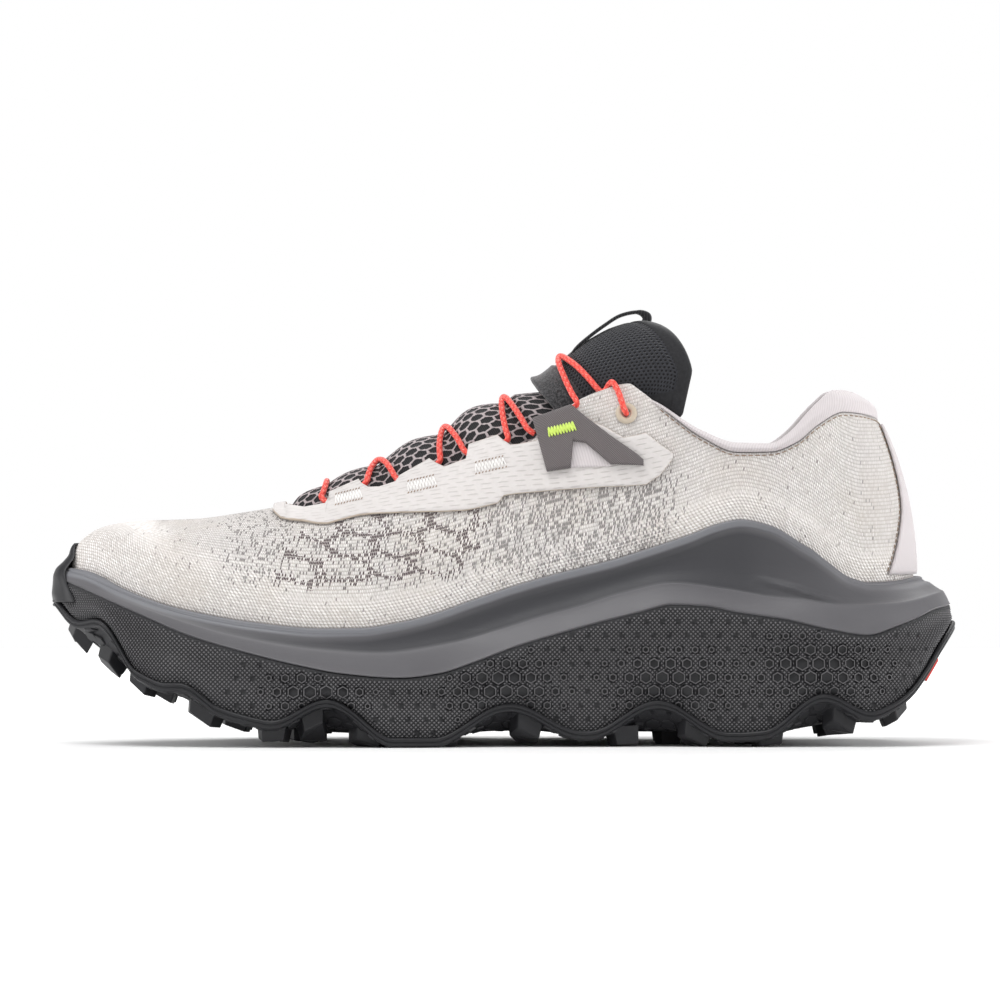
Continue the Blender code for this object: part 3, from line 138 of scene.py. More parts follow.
class Finish:
    """A material under construction."""

    def __init__(self, name, colour, roughness, **sockets):
        self.material = bpy.data.materials.new(name)
        self.material.use_nodes = True
        self.tree = self.material.node_tree
        self.shader = self.tree.nodes["Principled BSDF"]
        self.fill(self.shader, {"Base Color": colour, "Roughness": roughness, **sockets})

    def fill(self, node, values):
        """Sets or links a node's inputs, by name or number."""
        for name, value in values.items():
            socket = node.inputs[name]
            if isinstance(value, bpy.types.NodeSocket):
                self.tree.links.new(value, socket)
            elif isinstance(value, tuple) and socket.type == "RGBA":
                socket.default_value = (*value, 1)
            else:
                socket.default_value = value

    def add(self, kind, values=None, out=0, **settings):
        """A new node with its inputs filled, as the output with that number or name."""
        node = self.tree.nodes.new("ShaderNode" + kind)
        for name, value in settings.items():
            setattr(node, name, value)
        self.fill(node, values or {})
        return node.outputs[out]

    def sum(self, operation, *values):
        return self.add("Math", dict(enumerate(values)), operation=operation)

    def plus(self, first, second):
        return self.sum("ADD", first, second)

    def minus(self, first, second):
        return self.sum("SUBTRACT", first, second)

    def times(self, first, second):
        return self.sum("MULTIPLY", first, second)

    def over(self, first, second):
        return self.sum("DIVIDE", first, second)

    def wave(self, value, period):
        """A sine from 0 to 1 that repeats after each period."""
        swing = self.sum("SINE", self.times(value, 2 * math.pi / period))
        return self.sum("MULTIPLY_ADD", swing, 0.5, 0.5)

    def blend(self, share, first, second):
        return self.add("Mix", {0: share, 6: first, 7: second}, **COLOUR_MIX)

    def mark(self, name):
        """What the mesh carries under that name, at each point."""
        return self.add("Attribute", out="Vector", attribute_name=name)

    def parts(self, vector):
        node = self.tree.nodes.new("ShaderNodeSeparateXYZ")
        self.tree.links.new(vector, node.inputs[0])
        return node.outputs[0], node.outputs[1], node.outputs[2]

    def join(self, x, y, z):
        return self.add("CombineXYZ", {0: x, 1: y, 2: z})

    def place(self):
        return self.add("TexCoord", out="Object")

    def noise(self, vector, scale, detail=2.0, rough=0.5):
        values = {"Vector": vector, "Scale": scale, "Detail": detail, "Roughness": rough}
        return self.add("TexNoise", values)

    def range(self, value, low, high, to_low=0.0, to_high=1.0):
        values = {0: value, 1: low, 2: high, 3: to_low, 4: to_high}
        return self.add("MapRange", values)

    def relief(self, height, distance, strength=1.0):
        values = {"Height": height, "Distance": distance, "Strength": strength}
        self.tree.links.new(self.add("Bump", values), self.shader.inputs["Normal"])

    def paint(self, colour, rough=None):
        self.fill(self.shader, {"Base Color": colour})
        if rough is not None:
            self.fill(self.shader, {"Roughness": rough})


print("Finish has", len([n for n in vars(Finish) if n[0] != "_"]), "ways to add nodes")

# %% Floor finish
floor_finish = Finish("pale floor", (0.97, 0.97, 0.97), 0.6)
dust = floor_finish.noise(floor_finish.place(), 6.0)
floor_finish.paint(floor_finish.blend(dust, (0.96, 0.96, 0.96), (0.98, 0.98, 0.98)))
flat = floor_finish.add("Mapping", {"Vector": floor_finish.place(), "Scale": (1.0, 1.0, 0.0)})
far = floor_finish.add("VectorMath", {0: flat}, out=1, operation="LENGTH")
glow = floor_finish.range(far, 0.28, 0.75, 0.0, 0.58)
white = (1.0, 1.0, 1.0)
floor_finish.fill(floor_finish.shader, {"Emission Color": white, "Emission Strength": glow})
floor.data.materials.append(floor_finish.material)
print("floor painted")

# %% [markdown]
# ## The last and the sole
# A shoe grows round its last. Every line of the shoe is kept in short tables as shares of
# a few driving sizes, the same ones that the solids came from, and a smooth curve reads
# them. Reading a mesh instead would carry the solids' flat facets into the picture.

# %% Driving sizes
# Driving sizes in plan
SOLE_LENGTH = 297 * MM
SOLE_WIDTH = 112 * MM
LAST_WIDTH = 93 * MM
HEEL_FLARE = 13.7 * MM
TOE_OVERHANG = 4.7 * MM
TOE_CENTRE_IN = 32 * MM
HEEL_CENTRE_IN = 34 * MM
SPINE_SHIFT = -1.2 * MM
# Driving heights above the floor
SIDEWALL_HEIGHT = 74.5 * MM
FOOTBED_HEIGHT = 36.5 * MM
TOE_BOX_HEIGHT = 74.2 * MM
COLLAR_HEIGHT = 109.6 * MM
COLLAR_WIDTH = 60 * MM
BUMPER_HEIGHT = 66.5 * MM
TREAD_HEIGHT = 5 * MM
SCALLOP_HEIGHT = 10.4 * MM
TOE_X = -SOLE_LENGTH / 2
HEEL_X = SOLE_LENGTH / 2
LAST_HEEL_X = HEEL_X - HEEL_FLARE
LAST_TOE_X = TOE_X + TOE_OVERHANG
LAST_LENGTH = LAST_HEEL_X - LAST_TOE_X
TOE_CENTRE_X = LAST_TOE_X + TOE_CENTRE_IN
HEEL_CENTRE_X = LAST_HEEL_X - HEEL_CENTRE_IN
print("sole and last in mm:", round(SOLE_LENGTH / MM), round(LAST_LENGTH / MM, 1))

# %% Tables and how they are read
SLOPES = {}


def table(names, *rows):
    """A short table as a dictionary of columns. The first column is the place along."""
    return dict(zip(names.split(), np.array(rows, float).T))


def read(tab, column, at):
    """Reads a table's column by a smooth curve that never overshoots its rows."""
    along, values = tab["along"], tab[column]
    steps = np.diff(along)
    key = (id(tab), column)
    if key not in SLOPES:
        slopes = np.diff(values) / steps
        tangents = np.zeros(len(values))
        tangents[0], tangents[-1] = slopes[0], slopes[-1]
        for j in range(1, len(slopes)):
            before, after = slopes[j - 1], slopes[j]
            if before * after > 0:
                near, far = 2 * steps[j] + steps[j - 1], steps[j] + 2 * steps[j - 1]
                tangents[j] = (near + far) / (near / before + far / after)
        SLOPES[key] = tangents
    tangents = SLOPES[key]
    at = np.clip(np.asarray(at, float), along[0], along[-1])
    j = np.clip(np.searchsorted(along, at, side="right") - 1, 0, len(steps) - 1)
    share = (at - along[j]) / steps[j]
    rest = 1 - share
    return (
        values[j] * (1 + 2 * share) * rest**2
        + values[j + 1] * (3 - 2 * share) * share**2
        + steps[j] * share * rest * (tangents[j] * rest - tangents[j + 1] * share)
    )


def way_along(points):
    """How far along a run of points each one lies."""
    return np.concatenate([[0], np.cumsum(np.linalg.norm(np.diff(points, axis=0), axis=1))])


def smooth_loop(points, per_span):
    """A closed curve with no kinks through the points, as a dense ring of points."""
    points = np.array(points, float)
    count = len(points)
    ahead = np.roll(points, -1, 0)
    chord = np.linalg.norm(ahead - points, axis=1)
    behind = np.roll(chord, 1)
    rise = (ahead - points) / chord[:, None]
    system = np.zeros((count, count))
    for j in range(count):
        system[j, j - 1] += behind[j]
        system[j, j] += 2 * (behind[j] + chord[j])
        system[j, (j + 1) % count] += chord[j]
    bend = np.linalg.solve(system, 6 * (rise - np.roll(rise, 1, 0)))
    ring = []
    for j in range(count):
        k = (j + 1) % count
        for share in np.arange(per_span) / per_span:
            rest = 1 - share
            ring.append(
                points[j] * rest
                + points[k] * share
                + chord[j] ** 2 / 6 * ((rest**3 - rest) * bend[j] + (share**3 - share) * bend[k])
            )
    return np.array(ring)


def plan_outline(rows, toe_x, length, half_width, tip_side):
    """The closed plan outline of a sole or last from its table of half widths."""
    tip = [(toe_x, SPINE_SHIFT - tip_side * half_width)]
    medial = [
        (toe_x + along * length, SPINE_SHIFT - share * half_width)
        for along, share in zip(rows["along"], rows["medial"])
    ]
    heel = [(toe_x + length, SPINE_SHIFT)]
    lateral = [
        (toe_x + along * length, SPINE_SHIFT + share * half_width)
        for along, share in zip(rows["along"], rows["lateral"])
    ]
    return smooth_loop(tip + medial + heel + lateral[::-1], 24)


def reach(loop, start, direction):
    """How far a level ray from start travels before it leaves the loop."""
    away = loop - start
    side = direction[0] * away[:, 1] - direction[1] * away[:, 0]
    ahead = away @ direction
    next_side, next_ahead = np.roll(side, -1), np.roll(ahead, -1)
    crossing = (side * next_side <= 0) & (ahead + next_ahead > 0) & (side != next_side)
    j = np.flatnonzero(crossing)[0]
    share = side[j] / (side[j] - next_side[j])
    return ahead[j] + share * (next_ahead[j] - ahead[j])


print("tables are read by", read.__name__)

# %% Outlines in plan
# Plan outline of the sole at its widest. Along is a share of the sole's length from the
# toe, and the two sides are shares of half its width.
SOLE_OUTLINE = table(
    "along medial lateral",
    (0.02, 0.43, -0.08), (0.05, 0.62, 0.28), (0.10, 0.78, 0.52), (0.18, 0.91, 0.76),
    (0.28, 0.98, 0.93), (0.36, 0.975, 1.01), (0.45, 0.90, 1.02), (0.55, 0.82, 0.97),
    (0.65, 0.80, 0.90), (0.76, 0.84, 0.865), (0.86, 0.845, 0.85), (0.93, 0.75, 0.75),
    (0.975, 0.52, 0.53),
)
SOLE_TIP_SIDE = 0.16
# Plan outline of the last where the upper meets the footbed, in shares of its own sizes.
LAST_OUTLINE = table(
    "along medial lateral",
    (0.02, 0.44, 0.01), (0.05, 0.62, 0.32), (0.10, 0.80, 0.58), (0.18, 0.93, 0.84),
    (0.28, 0.985, 1.00), (0.37, 0.955, 1.06), (0.48, 0.83, 1.03), (0.60, 0.71, 0.92),
    (0.72, 0.68, 0.80), (0.84, 0.72, 0.745), (0.92, 0.64, 0.65), (0.97, 0.44, 0.45),
)
LAST_TIP_SIDE = 0.20
# How far the spine lies to the medial side, as a share of half the last's width.
SPINE = table("along side", (0.0, 0.17), (0.12, 0.15), (0.3, 0.06), (0.5, 0.0), (1.0, 0.0))
SOLE_LOOP = plan_outline(SOLE_OUTLINE, TOE_X, SOLE_LENGTH, SOLE_WIDTH / 2, SOLE_TIP_SIDE)
LAST_LOOP = plan_outline(LAST_OUTLINE, LAST_TOE_X, LAST_LENGTH, LAST_WIDTH / 2, LAST_TIP_SIDE)
print("points on the sole's outline:", len(SOLE_LOOP))

# %% Lines up the side
# Lines that run round the sidewall, as shares of its height. The crest is the edge under
# the channel, out is how far it stands out from the rim towards the sole's edge.
RIM = table(
    "along height",
    (0.0, 0.785), (0.022, 0.772), (0.066, 0.70), (0.106, 0.646), (0.161, 0.59),
    (0.22, 0.55), (0.30, 0.522), (0.34, 0.524), (0.383, 0.548), (0.417, 0.58),
    (0.464, 0.645), (0.513, 0.711), (0.56, 0.764), (0.619, 0.822), (0.655, 0.867),
    (0.705, 0.934), (0.735, 0.98), (0.76, 1.0), (0.791, 0.975), (0.831, 0.884),
    (0.869, 0.798), (0.895, 0.747), (0.93, 0.722), (0.97, 0.727), (1.0, 0.745),
)
PARTING = table(
    "along height",
    (0.0, 0.735), (0.016, 0.712), (0.044, 0.668), (0.10, 0.575), (0.152, 0.489),
    (0.207, 0.424), (0.274, 0.358), (0.321, 0.323), (0.385, 0.304), (0.427, 0.323),
    (0.464, 0.370), (0.513, 0.443), (0.56, 0.499), (0.608, 0.552), (0.648, 0.592),
    (0.685, 0.626), (0.72, 0.619), (0.755, 0.592), (0.806, 0.562), (0.856, 0.517),
    (0.90, 0.491), (0.931, 0.526), (0.956, 0.562), (0.981, 0.603), (1.0, 0.617),
)
CREST = table(
    "along height out channel",
    (0.0, 0.757, 0.55, 0.0), (0.1, 0.61, 0.55, 0.0), (0.2, 0.49, 0.5, 0.1),
    (0.3, 0.425, 0.45, 0.2), (0.36, 0.412, 0.4, 0.4), (0.441, 0.456, 0.3, 0.75),
    (0.488, 0.507, 0.25, 0.9), (0.536, 0.565, 0.22, 1.0), (0.584, 0.617, 0.2, 1.0),
    (0.629, 0.672, 0.18, 1.0), (0.685, 0.715, 0.18, 1.0), (0.745, 0.687, 0.24, 0.9),
    (0.79, 0.656, 0.36, 0.7), (0.83, 0.64, 0.5, 0.4), (0.88, 0.62, 0.6, 0.1),
    (0.94, 0.63, 0.65, 0.0), (1.0, 0.68, 0.7, 0.0),
)
# The footbed's height as a share of its height at the heel.
FOOTBED = table(
    "along height",
    (0.0, 1.43), (0.05, 1.33), (0.1, 1.205), (0.16, 1.08), (0.22, 0.985), (0.3, 0.90),
    (0.4, 0.86), (0.5, 0.885), (0.65, 0.955), (0.8, 1.0), (1.0, 1.01),
)
# The outsole's underside along the spine, in shares of its height under the waist.
UNDERSIDE = table(
    "along height",
    (0.0, 8.6), (0.025, 7.3), (0.05, 6.35), (0.085, 5.0), (0.124, 3.9), (0.153, 3.05),
    (0.195, 2.1), (0.225, 1.62), (0.273, 1.15), (0.32, 0.95), (0.37, 0.86), (0.46, 1.0),
    (0.54, 1.05), (0.6, 0.98), (0.72, 0.96), (0.76, 0.9), (0.80, 1.02), (0.833, 1.28),
    (0.866, 1.62), (0.903, 1.9), (0.93, 2.6), (0.955, 3.7), (0.98, 5.6), (1.0, 7.4),
)
# The rubber's edge runs up and down: a low line, in shares of the same height, and the
# scallops that rise from it.
LOW_EDGE = table(
    "along height",
    (0.0, 9.6), (0.03, 7.4), (0.06, 6.2), (0.1, 4.7), (0.15, 3.45), (0.2, 2.3), (0.25, 1.6),
    (0.32, 0.9), (0.39, 0.52), (0.48, 0.72), (0.585, 1.0), (0.67, 0.96), (0.757, 0.94),
    (0.83, 1.5), (0.90, 2.15), (0.931, 2.9), (0.949, 3.7), (0.967, 5.05), (0.98, 6.3),
    (1.0, 8.1),
)
SCALLOPS = table(
    "along reach height",
    (0.052, 0.042, 0.80), (0.150, 0.036, 0.28), (0.308, 0.072, 1.02), (0.502, 0.084, 0.97),
    (0.668, 0.078, 0.98), (0.848, 0.064, 0.86),
)
print("rows in the rim's table:", len(RIM["along"]))

# %% Lines of the upper
# The upper's wall at each place along the last. It leaves the footbed with a bulge, as a
# share of its distance from the spine, and comes over a shoulder to its top edge.
WALL_FORM = table(
    "along bulge rise shoulder shoulder_rise",
    (0.0, 0.045, 0.80, 0.84, 1.0), (0.06, 0.06, 0.74, 0.86, 1.0),
    (0.115, 0.075, 0.66, 0.86, 1.0), (0.19, 0.085, 0.60, 0.78, 1.0),
    (0.255, 0.075, 0.56, 0.70, 1.0), (0.31, 0.065, 0.54, 0.62, 0.96),
    (0.40, 0.06, 0.52, 0.58, 0.87), (0.50, 0.06, 0.50, 0.55, 0.82),
    (0.60, 0.08, 0.48, 0.55, 0.76), (0.70, 0.09, 0.42, 0.52, 0.72),
    (0.80, 0.09, 0.40, 0.55, 0.70), (0.878, 0.08, 0.38, 0.65, 0.70),
    (1.0, 0.09, 0.36, 0.91, 0.73),
)
# The closed toe box's ridge as a share of its height, up to the front of the throat.
RIDGE = table(
    "along height",
    (0.0, 0.90), (0.115, 1.0), (0.151, 1.006), (0.19, 1.026), (0.23, 1.05), (0.255, 1.066),
)
THROAT_FRONT = 0.255
# The top edge of the throat and the collar, in shares of the collar's height and of half
# its width.
EDGE = table(
    "along height half",
    (0.255, 0.721, 0.0), (0.262, 0.714, 0.25), (0.275, 0.709, 0.37), (0.292, 0.716, 0.45),
    (0.357, 0.767, 0.567), (0.444, 0.83, 0.667), (0.523, 0.897, 0.733), (0.557, 0.93, 0.75),
    (0.576, 0.978, 0.735), (0.595, 1.026, 0.72), (0.628, 1.066, 0.733), (0.662, 1.088, 0.767),
    (0.675, 1.068, 0.79), (0.712, 0.99, 0.86), (0.748, 0.924, 0.91), (0.791, 0.879, 0.96),
    (0.829, 0.88, 0.985), (0.861, 0.91, 1.0), (0.884, 0.958, 1.0), (0.92, 1.0, 0.967),
    (0.964, 0.99, 0.883), (1.0, 0.975, 0.767),
)
print("rows in the collar's table:", len(EDGE["along"]))

# %% [markdown]
# ## Stations
# A station is one upright cut through the shoe: a point on its spine, a level direction
# out, and how far the last and the sole reach that way. Stations run straight across the
# middle and fan out round the toe and the heel, so a ring of them covers the whole shoe
# with no seam. A grid over stations and heights is then a finished surface.

# %% A station
def along_sole(x):
    return (x - TOE_X) / SOLE_LENGTH


def along_last(x):
    return (x - LAST_TOE_X) / LAST_LENGTH


def at_share(along, height):
    """The x and z at shares of the last's length and of the collar's height."""
    return LAST_TOE_X + along * LAST_LENGTH, height * COLLAR_HEIGHT


def spine_y(x):
    return SPINE_SHIFT - read(SPINE, "side", along_last(x)) * LAST_WIDTH / 2


def footbed_height(x):
    return read(FOOTBED, "height", along_sole(x)) * FOOTBED_HEIGHT


def underside_height(x):
    return read(UNDERSIDE, "height", along_sole(x)) * TREAD_HEIGHT


def rubber_edge_height(along):
    """The rubber's wavy top edge: the low line with its scallops."""
    rise = 0.0
    for centre, width, height in zip(*(SCALLOPS[c] for c in ("along", "reach", "height"))):
        off = abs(along - centre) / width
        rise += height * math.cos(min(off, 1.0) * math.pi / 2) ** 2
    return read(LOW_EDGE, "height", along) * TREAD_HEIGHT + rise * SCALLOP_HEIGHT


class Station:
    """One upright cut through the shoe, from its spine outwards."""

    def __init__(self, x, direction):
        self.start = np.array([x, spine_y(x)])
        self.out = np.array(direction, float)
        self.last = reach(LAST_LOOP, self.start, self.out)
        self.sole = reach(SOLE_LOOP, self.start, self.out)
        self.along = along_sole(self.start[0] + self.out[0] * self.sole)
        self.along_last = along_last(self.start[0] + self.out[0] * self.last)
        self.rim = read(RIM, "height", self.along) * SIDEWALL_HEIGHT
        self.parting = read(PARTING, "height", self.along) * SIDEWALL_HEIGHT
        self.crest = read(CREST, "height", self.along) * SIDEWALL_HEIGHT
        self.wall = self.wall_curve()

    def points(self, radii, heights):
        """Points at distances from the spine and heights, as an array."""
        radii, heights = np.asarray(radii, float), np.asarray(heights, float)
        plan = self.start + self.out * radii[:, None]
        return np.column_stack([plan, heights])

    def x_at(self, radius):
        return self.start[0] + self.out[0] * radius

    def is_open(self):
        return self.along_last > THROAT_FRONT and self.start[0] > TOE_CENTRE_X

    def top_edge(self):
        """Distance from the spine and height of the upper's top edge or ridge."""
        if self.is_open():
            half = read(EDGE, "half", self.along_last) * COLLAR_WIDTH / 2
            return half, read(EDGE, "height", self.along_last) * COLLAR_HEIGHT
        at = along_last(self.start[0])
        return 0.0, read(RIDGE, "height", at) * TOE_BOX_HEIGHT

    def wall_curve(self):
        """The upper's outer wall as a dense run of (distance, height) up to its top edge."""
        form = {c: read(WALL_FORM, c, self.along_last) for c in WALL_FORM if c != "along"}
        base = footbed_height(self.x_at(self.last)) + 0.3 * MM
        edge, top = self.top_edge()
        rise = top - base
        corners = np.array([
            (self.last, base),
            (self.last * (1 + form["bulge"]), base + form["rise"] * rise),
            (edge + (self.last - edge) * form["shoulder"], base + form["shoulder_rise"] * rise),
            (edge, top),
        ])
        t = np.linspace(0, 1, 81)[:, None]
        return (
            corners[0] * (1 - t) ** 3
            + corners[1] * 3 * t * (1 - t) ** 2
            + corners[2] * 3 * t**2 * (1 - t)
            + corners[3] * t**3
        )

    def wall_at(self, z):
        """The wall's distance from the spine at heights. Above its edge it runs straight on."""
        heights = np.maximum.accumulate(self.wall[:, 1])
        slope = self.wall[-1] - self.wall[-8]
        lean = max(slope[0] / max(slope[1], 1e-6), -1.25)
        beyond = np.maximum(np.asarray(z, float) - heights[-1], 0)
        return np.interp(z, heights, self.wall[:, 0]) + lean * beyond

    def on_wall(self, z, lift):
        """Points over the wall at heights, lifted off square to it."""
        z = np.atleast_1d(np.asarray(z, float))
        step = 0.5 * MM
        slope = (self.wall_at(z + step) - self.wall_at(z - step)) / (2 * step)
        long = np.sqrt(1 + slope**2)
        return self.points(self.wall_at(z) + lift / long, z - lift * slope / long)


print("a station at the waist reaches", round(Station(0, (0, -1)).sole / MM, 1), "mm")

# %% A ring of stations
def side_station(x, side):
    """The cut straight across the shoe at x. Side is -1 for medial and 1 for lateral."""
    return Station(x, (0, side))


def heel_station(angle):
    """A station of the fan round the heel, at an angle from the way back."""
    return Station(HEEL_CENTRE_X, (math.cos(angle), math.sin(angle)))


def ring_of(side_count, toe_count, heel_count):
    """Stations at the same places on both sides, so that both halves meet at the spine."""
    side_x = np.linspace(HEEL_CENTRE_X, TOE_CENTRE_X, side_count)
    quarter = np.linspace(0, math.pi / 2, heel_count + 1)[:-1]
    half = np.linspace(0, math.pi, toe_count + 2)[1:-1]
    ring = [heel_station(-a) for a in quarter]
    ring += [Station(x, (0, -1)) for x in side_x]
    ring += [Station(TOE_CENTRE_X, (-math.sin(a), -math.cos(a))) for a in half]
    ring += [Station(x, (0, 1)) for x in side_x[::-1]]
    return ring + [heel_station(a) for a in quarter[:0:-1]]


def run_round(ring, reach_of):
    """How far along a line round the shoe each station lies, and the whole way round."""
    line = np.array([st.start + st.out * reach_of(st) for st in ring])
    run = way_along(np.vstack([line, line[:1]]))
    return run[:-1], run[-1]


print("stations in a coarse ring:", len(ring_of(4, 2, 2)))

# %% [markdown]
# ## Making a mesh from a grid
# Nearly every piece is a grid of points that was worked out with numpy, closed round the
# shoe or closed along its profile. One helper turns such a grid into an object, hangs
# named values on its points for the finishes, and smooths it where it should be smooth.

# %% Grid helpers
def skin(name, grid, around=False, closed=False, keep=None, caps=False, smooth=True, marks=None):
    """An object from points shaped (columns, rows, 3). Marks are named values per point."""
    columns, rows = grid.shape[:2]
    index = np.arange(columns * rows).reshape(columns, rows)
    if around:
        index = np.vstack([index, index[:1]])
    if closed:
        index = np.hstack([index, index[:, :1]])
    quads = np.stack([index[:-1, :-1], index[1:, :-1], index[1:, 1:], index[:-1, 1:]], -1)
    quads = quads.reshape(-1, 4)
    if keep is not None:
        quads = quads[keep.ravel()]
    faces = quads.tolist()
    if caps:
        faces += [index[0, :rows].tolist(), index[-1, :rows].tolist()[::-1]]
    return finish_mesh(name, grid.reshape(-1, 3), faces, smooth, marks)


def finish_mesh(name, points, faces, smooth=True, marks=None):
    """An object from points and faces, turned outward, with its loose points dropped."""
    mesh = bpy.data.meshes.new(name)
    mesh.from_pydata(np.asarray(points).tolist(), [], faces)
    for title, values in (marks or {}).items():
        mark = mesh.attributes.new(title, "FLOAT_VECTOR", "POINT")
        mark.data.foreach_set("vector", np.asarray(values, np.float32).ravel())
    bm = bmesh.new()
    bm.from_mesh(mesh)
    bmesh.ops.remove_doubles(bm, verts=bm.verts, dist=1e-7)
    bmesh.ops.dissolve_degenerate(bm, edges=bm.edges, dist=1e-7)
    bmesh.ops.delete(bm, geom=[v for v in bm.verts if not v.link_faces], context="VERTS")
    bmesh.ops.recalc_face_normals(bm, faces=bm.faces)
    bm.to_mesh(mesh)
    bm.free()
    mesh.polygons.foreach_set("use_smooth", [smooth] * len(mesh.polygons))
    piece = bpy.data.objects.new(name, mesh)
    scene.collection.objects.link(piece)
    return piece


def wear(piece, finish, slot, *nodes, pad=None):
    """Gives a piece its finish, its body and the solids that it stands for."""
    piece.data.materials.clear()
    piece.data.materials.append(finish.material)
    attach(piece, "root")
    if nodes:
        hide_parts(*nodes)
    triangles = sum(len(f.vertices) - 2 for f in piece.data.polygons)
    print(piece.name, "has", triangles, "triangles")


def sweep(ring, profiles):
    """A grid of points from one profile of (distance, height) for each station."""
    return np.array([st.points(p[:, 0], p[:, 1]) for st, p in zip(ring, profiles)])


def mark_of(*values):
    """Three values for each point, spread to one shape."""
    return np.stack(np.broadcast_arrays(*values), -1)


print("grid helpers are ready")

# %% [markdown]
# ## Smooth upper foam
# The carrier is the grey foam that holds the upper: a footbed, a cup wall with a rounded
# lip, a scooped channel under it, a crest and a band. It could be subdivided from the
# solid, but that would round the crest away, so each station gets its own profile, with
# small arcs where the mould has them.

# %% Foam sizes
UPPER_WALL = 2.2 * MM
GAP = 0.3 * MM
RIM_THICKNESS = 2.8 * MM
CHANNEL_DEPTH = 1.5 * MM
CARRIER_FLOOR = 8 * MM
RUBBER_THICKNESS = 3 * MM
LIP_HEIGHT = 1.4 * MM
LIP_THICKNESS = 1.5 * MM
LIP_GAP = 0.55 * MM
FIN_FRONT, FIN_BACK = 82.5 * MM, 110 * MM


def through(points, per_span=6):
    """An open curve with no kinks through the points."""
    points = np.array(points, float)
    ends = np.vstack([2 * points[0] - points[1], points, 2 * points[-1] - points[-2]])
    run = []
    for a, b, c, d in zip(ends, ends[1:], ends[2:], ends[3:]):
        for t in np.arange(per_span) / per_span:
            run.append(
                0.5 * (2 * b + (c - a) * t + (2 * a - 5 * b + 4 * c - d) * t**2
                       + (3 * b - a - 3 * c + d) * t**3)
            )
    run.append(points[-1])
    return np.array(run)


def rim_radius(st):
    return float(st.wall_at(st.rim)) + GAP + RIM_THICKNESS


def crest_radius(st):
    rim = rim_radius(st)
    return rim + (st.sole - rim) * read(CREST, "out", st.along)


def corner_height(st):
    """Where the core's side ends and its underside starts, never lower than 1.6 mm."""
    return max(rubber_edge_height(st.along) - LIP_HEIGHT, 1.6 * MM)


def tuck(st):
    """How far the core's lower corner lies inside its widest line."""
    low = read(LOW_EDGE, "height", st.along) * TREAD_HEIGHT
    scallop = (rubber_edge_height(st.along) - low) / SCALLOP_HEIGHT
    return (2.2 + 2.6 * scallop) * MM


def carrier_underside(st, drop):
    """The face between carrier and core, from inside the parting line to the spine."""
    inner = st.last - 3 * MM
    level = footbed_height(st.x_at(inner)) - CARRIER_FLOOR
    half_way = (st.sole + inner) / 2
    run = [(half_way, st.parting + (level - st.parting) * 0.85), (inner, level)]
    for share in (0.45, 0.0):
        radius = inner * share
        run.append((radius, footbed_height(st.x_at(radius)) - CARRIER_FLOOR))
    return [(r, z - drop) for r, z in run]


print("rim at the waist in mm:", round(rim_radius(Station(0, (0, -1))) / MM, 1))

# %% The carrier's profile
def fin(x, z):
    """The small ledge that runs out of the channel near the heel."""
    share = (x - FIN_FRONT) / (FIN_BACK - FIN_FRONT)
    if not 0 < share < 1:
        return 0.0
    top = 56.0 * MM - share * 7.6 * MM
    off = (z - top + 1.1 * MM) / (1.25 * MM)
    return 1.5 * MM * math.sin(math.pi * share) ** 0.6 * max(0.0, 1 - abs(off)) ** 0.8


def carrier_profile(st):
    rim, crest = rim_radius(st), crest_radius(st)
    cup = float(st.wall_at(st.rim)) + GAP
    depth = CHANNEL_DEPTH * read(CREST, "channel", st.along)
    base = st.wall[0, 1]
    inner = [(st.last * s, footbed_height(st.x_at(st.last * s))) for s in (0.0, 0.3, 0.6, 0.85)]
    inner.append((st.last + GAP, base - GAP))
    low = [(float(st.wall_at(z)) + GAP, z) for z in np.linspace(base, st.rim - 1.2 * MM, 5)]
    lip = through([
        (cup, st.rim - 1.2 * MM), (cup + 0.35 * MM, st.rim - 0.3 * MM),
        ((cup + rim) / 2, st.rim), (rim - 0.35 * MM, st.rim - 0.35 * MM),
        (rim, st.rim - 1.2 * MM),
    ], 4)
    lean, drop = crest - rim, st.crest - st.rim
    shelf = 2.6 * MM * read(CREST, "channel", st.along)
    side = through([
        (rim, st.rim - 1.2 * MM),
        (rim + 0.04 * lean - 0.1 * depth, st.rim - 1.2 * MM - shelf * 0.5),
        (rim + 0.12 * lean - 0.75 * depth, st.rim - 1.6 * MM - shelf),
        (rim + 0.34 * lean - 1.15 * depth, st.rim + 0.42 * drop - shelf * 0.3),
        (rim + 0.62 * lean - 0.9 * depth, st.rim + 0.7 * drop),
        (crest - 0.12 * lean - 0.15 * depth, st.crest - 0.08 * drop),
        (crest, st.crest - 0.01 * drop),
    ], 6)
    side = [(r + fin(st.x_at(r), z), z) for r, z in side]
    fall = st.parting - st.crest
    outward = st.sole - 0.5 * MM - crest
    band = through([
        (crest, st.crest - 0.01 * drop),
        (crest + 0.2 * outward, st.crest + 0.12 * fall),
        (crest + 0.6 * outward, st.crest + 0.5 * fall),
        (crest + 0.92 * outward, st.crest + 0.86 * fall),
        (st.sole - 0.45 * MM, st.parting + 0.5 * MM),
        (st.sole - 0.8 * MM, st.parting + GAP / 2),
    ], 3)
    under = carrier_underside(st, 0)
    return np.array(inner + low + list(lip)[1:] + list(side)[1:] + list(band)[1:] + under, float)


print("points in the carrier's profile:", len(carrier_profile(Station(0, (0, -1)))))


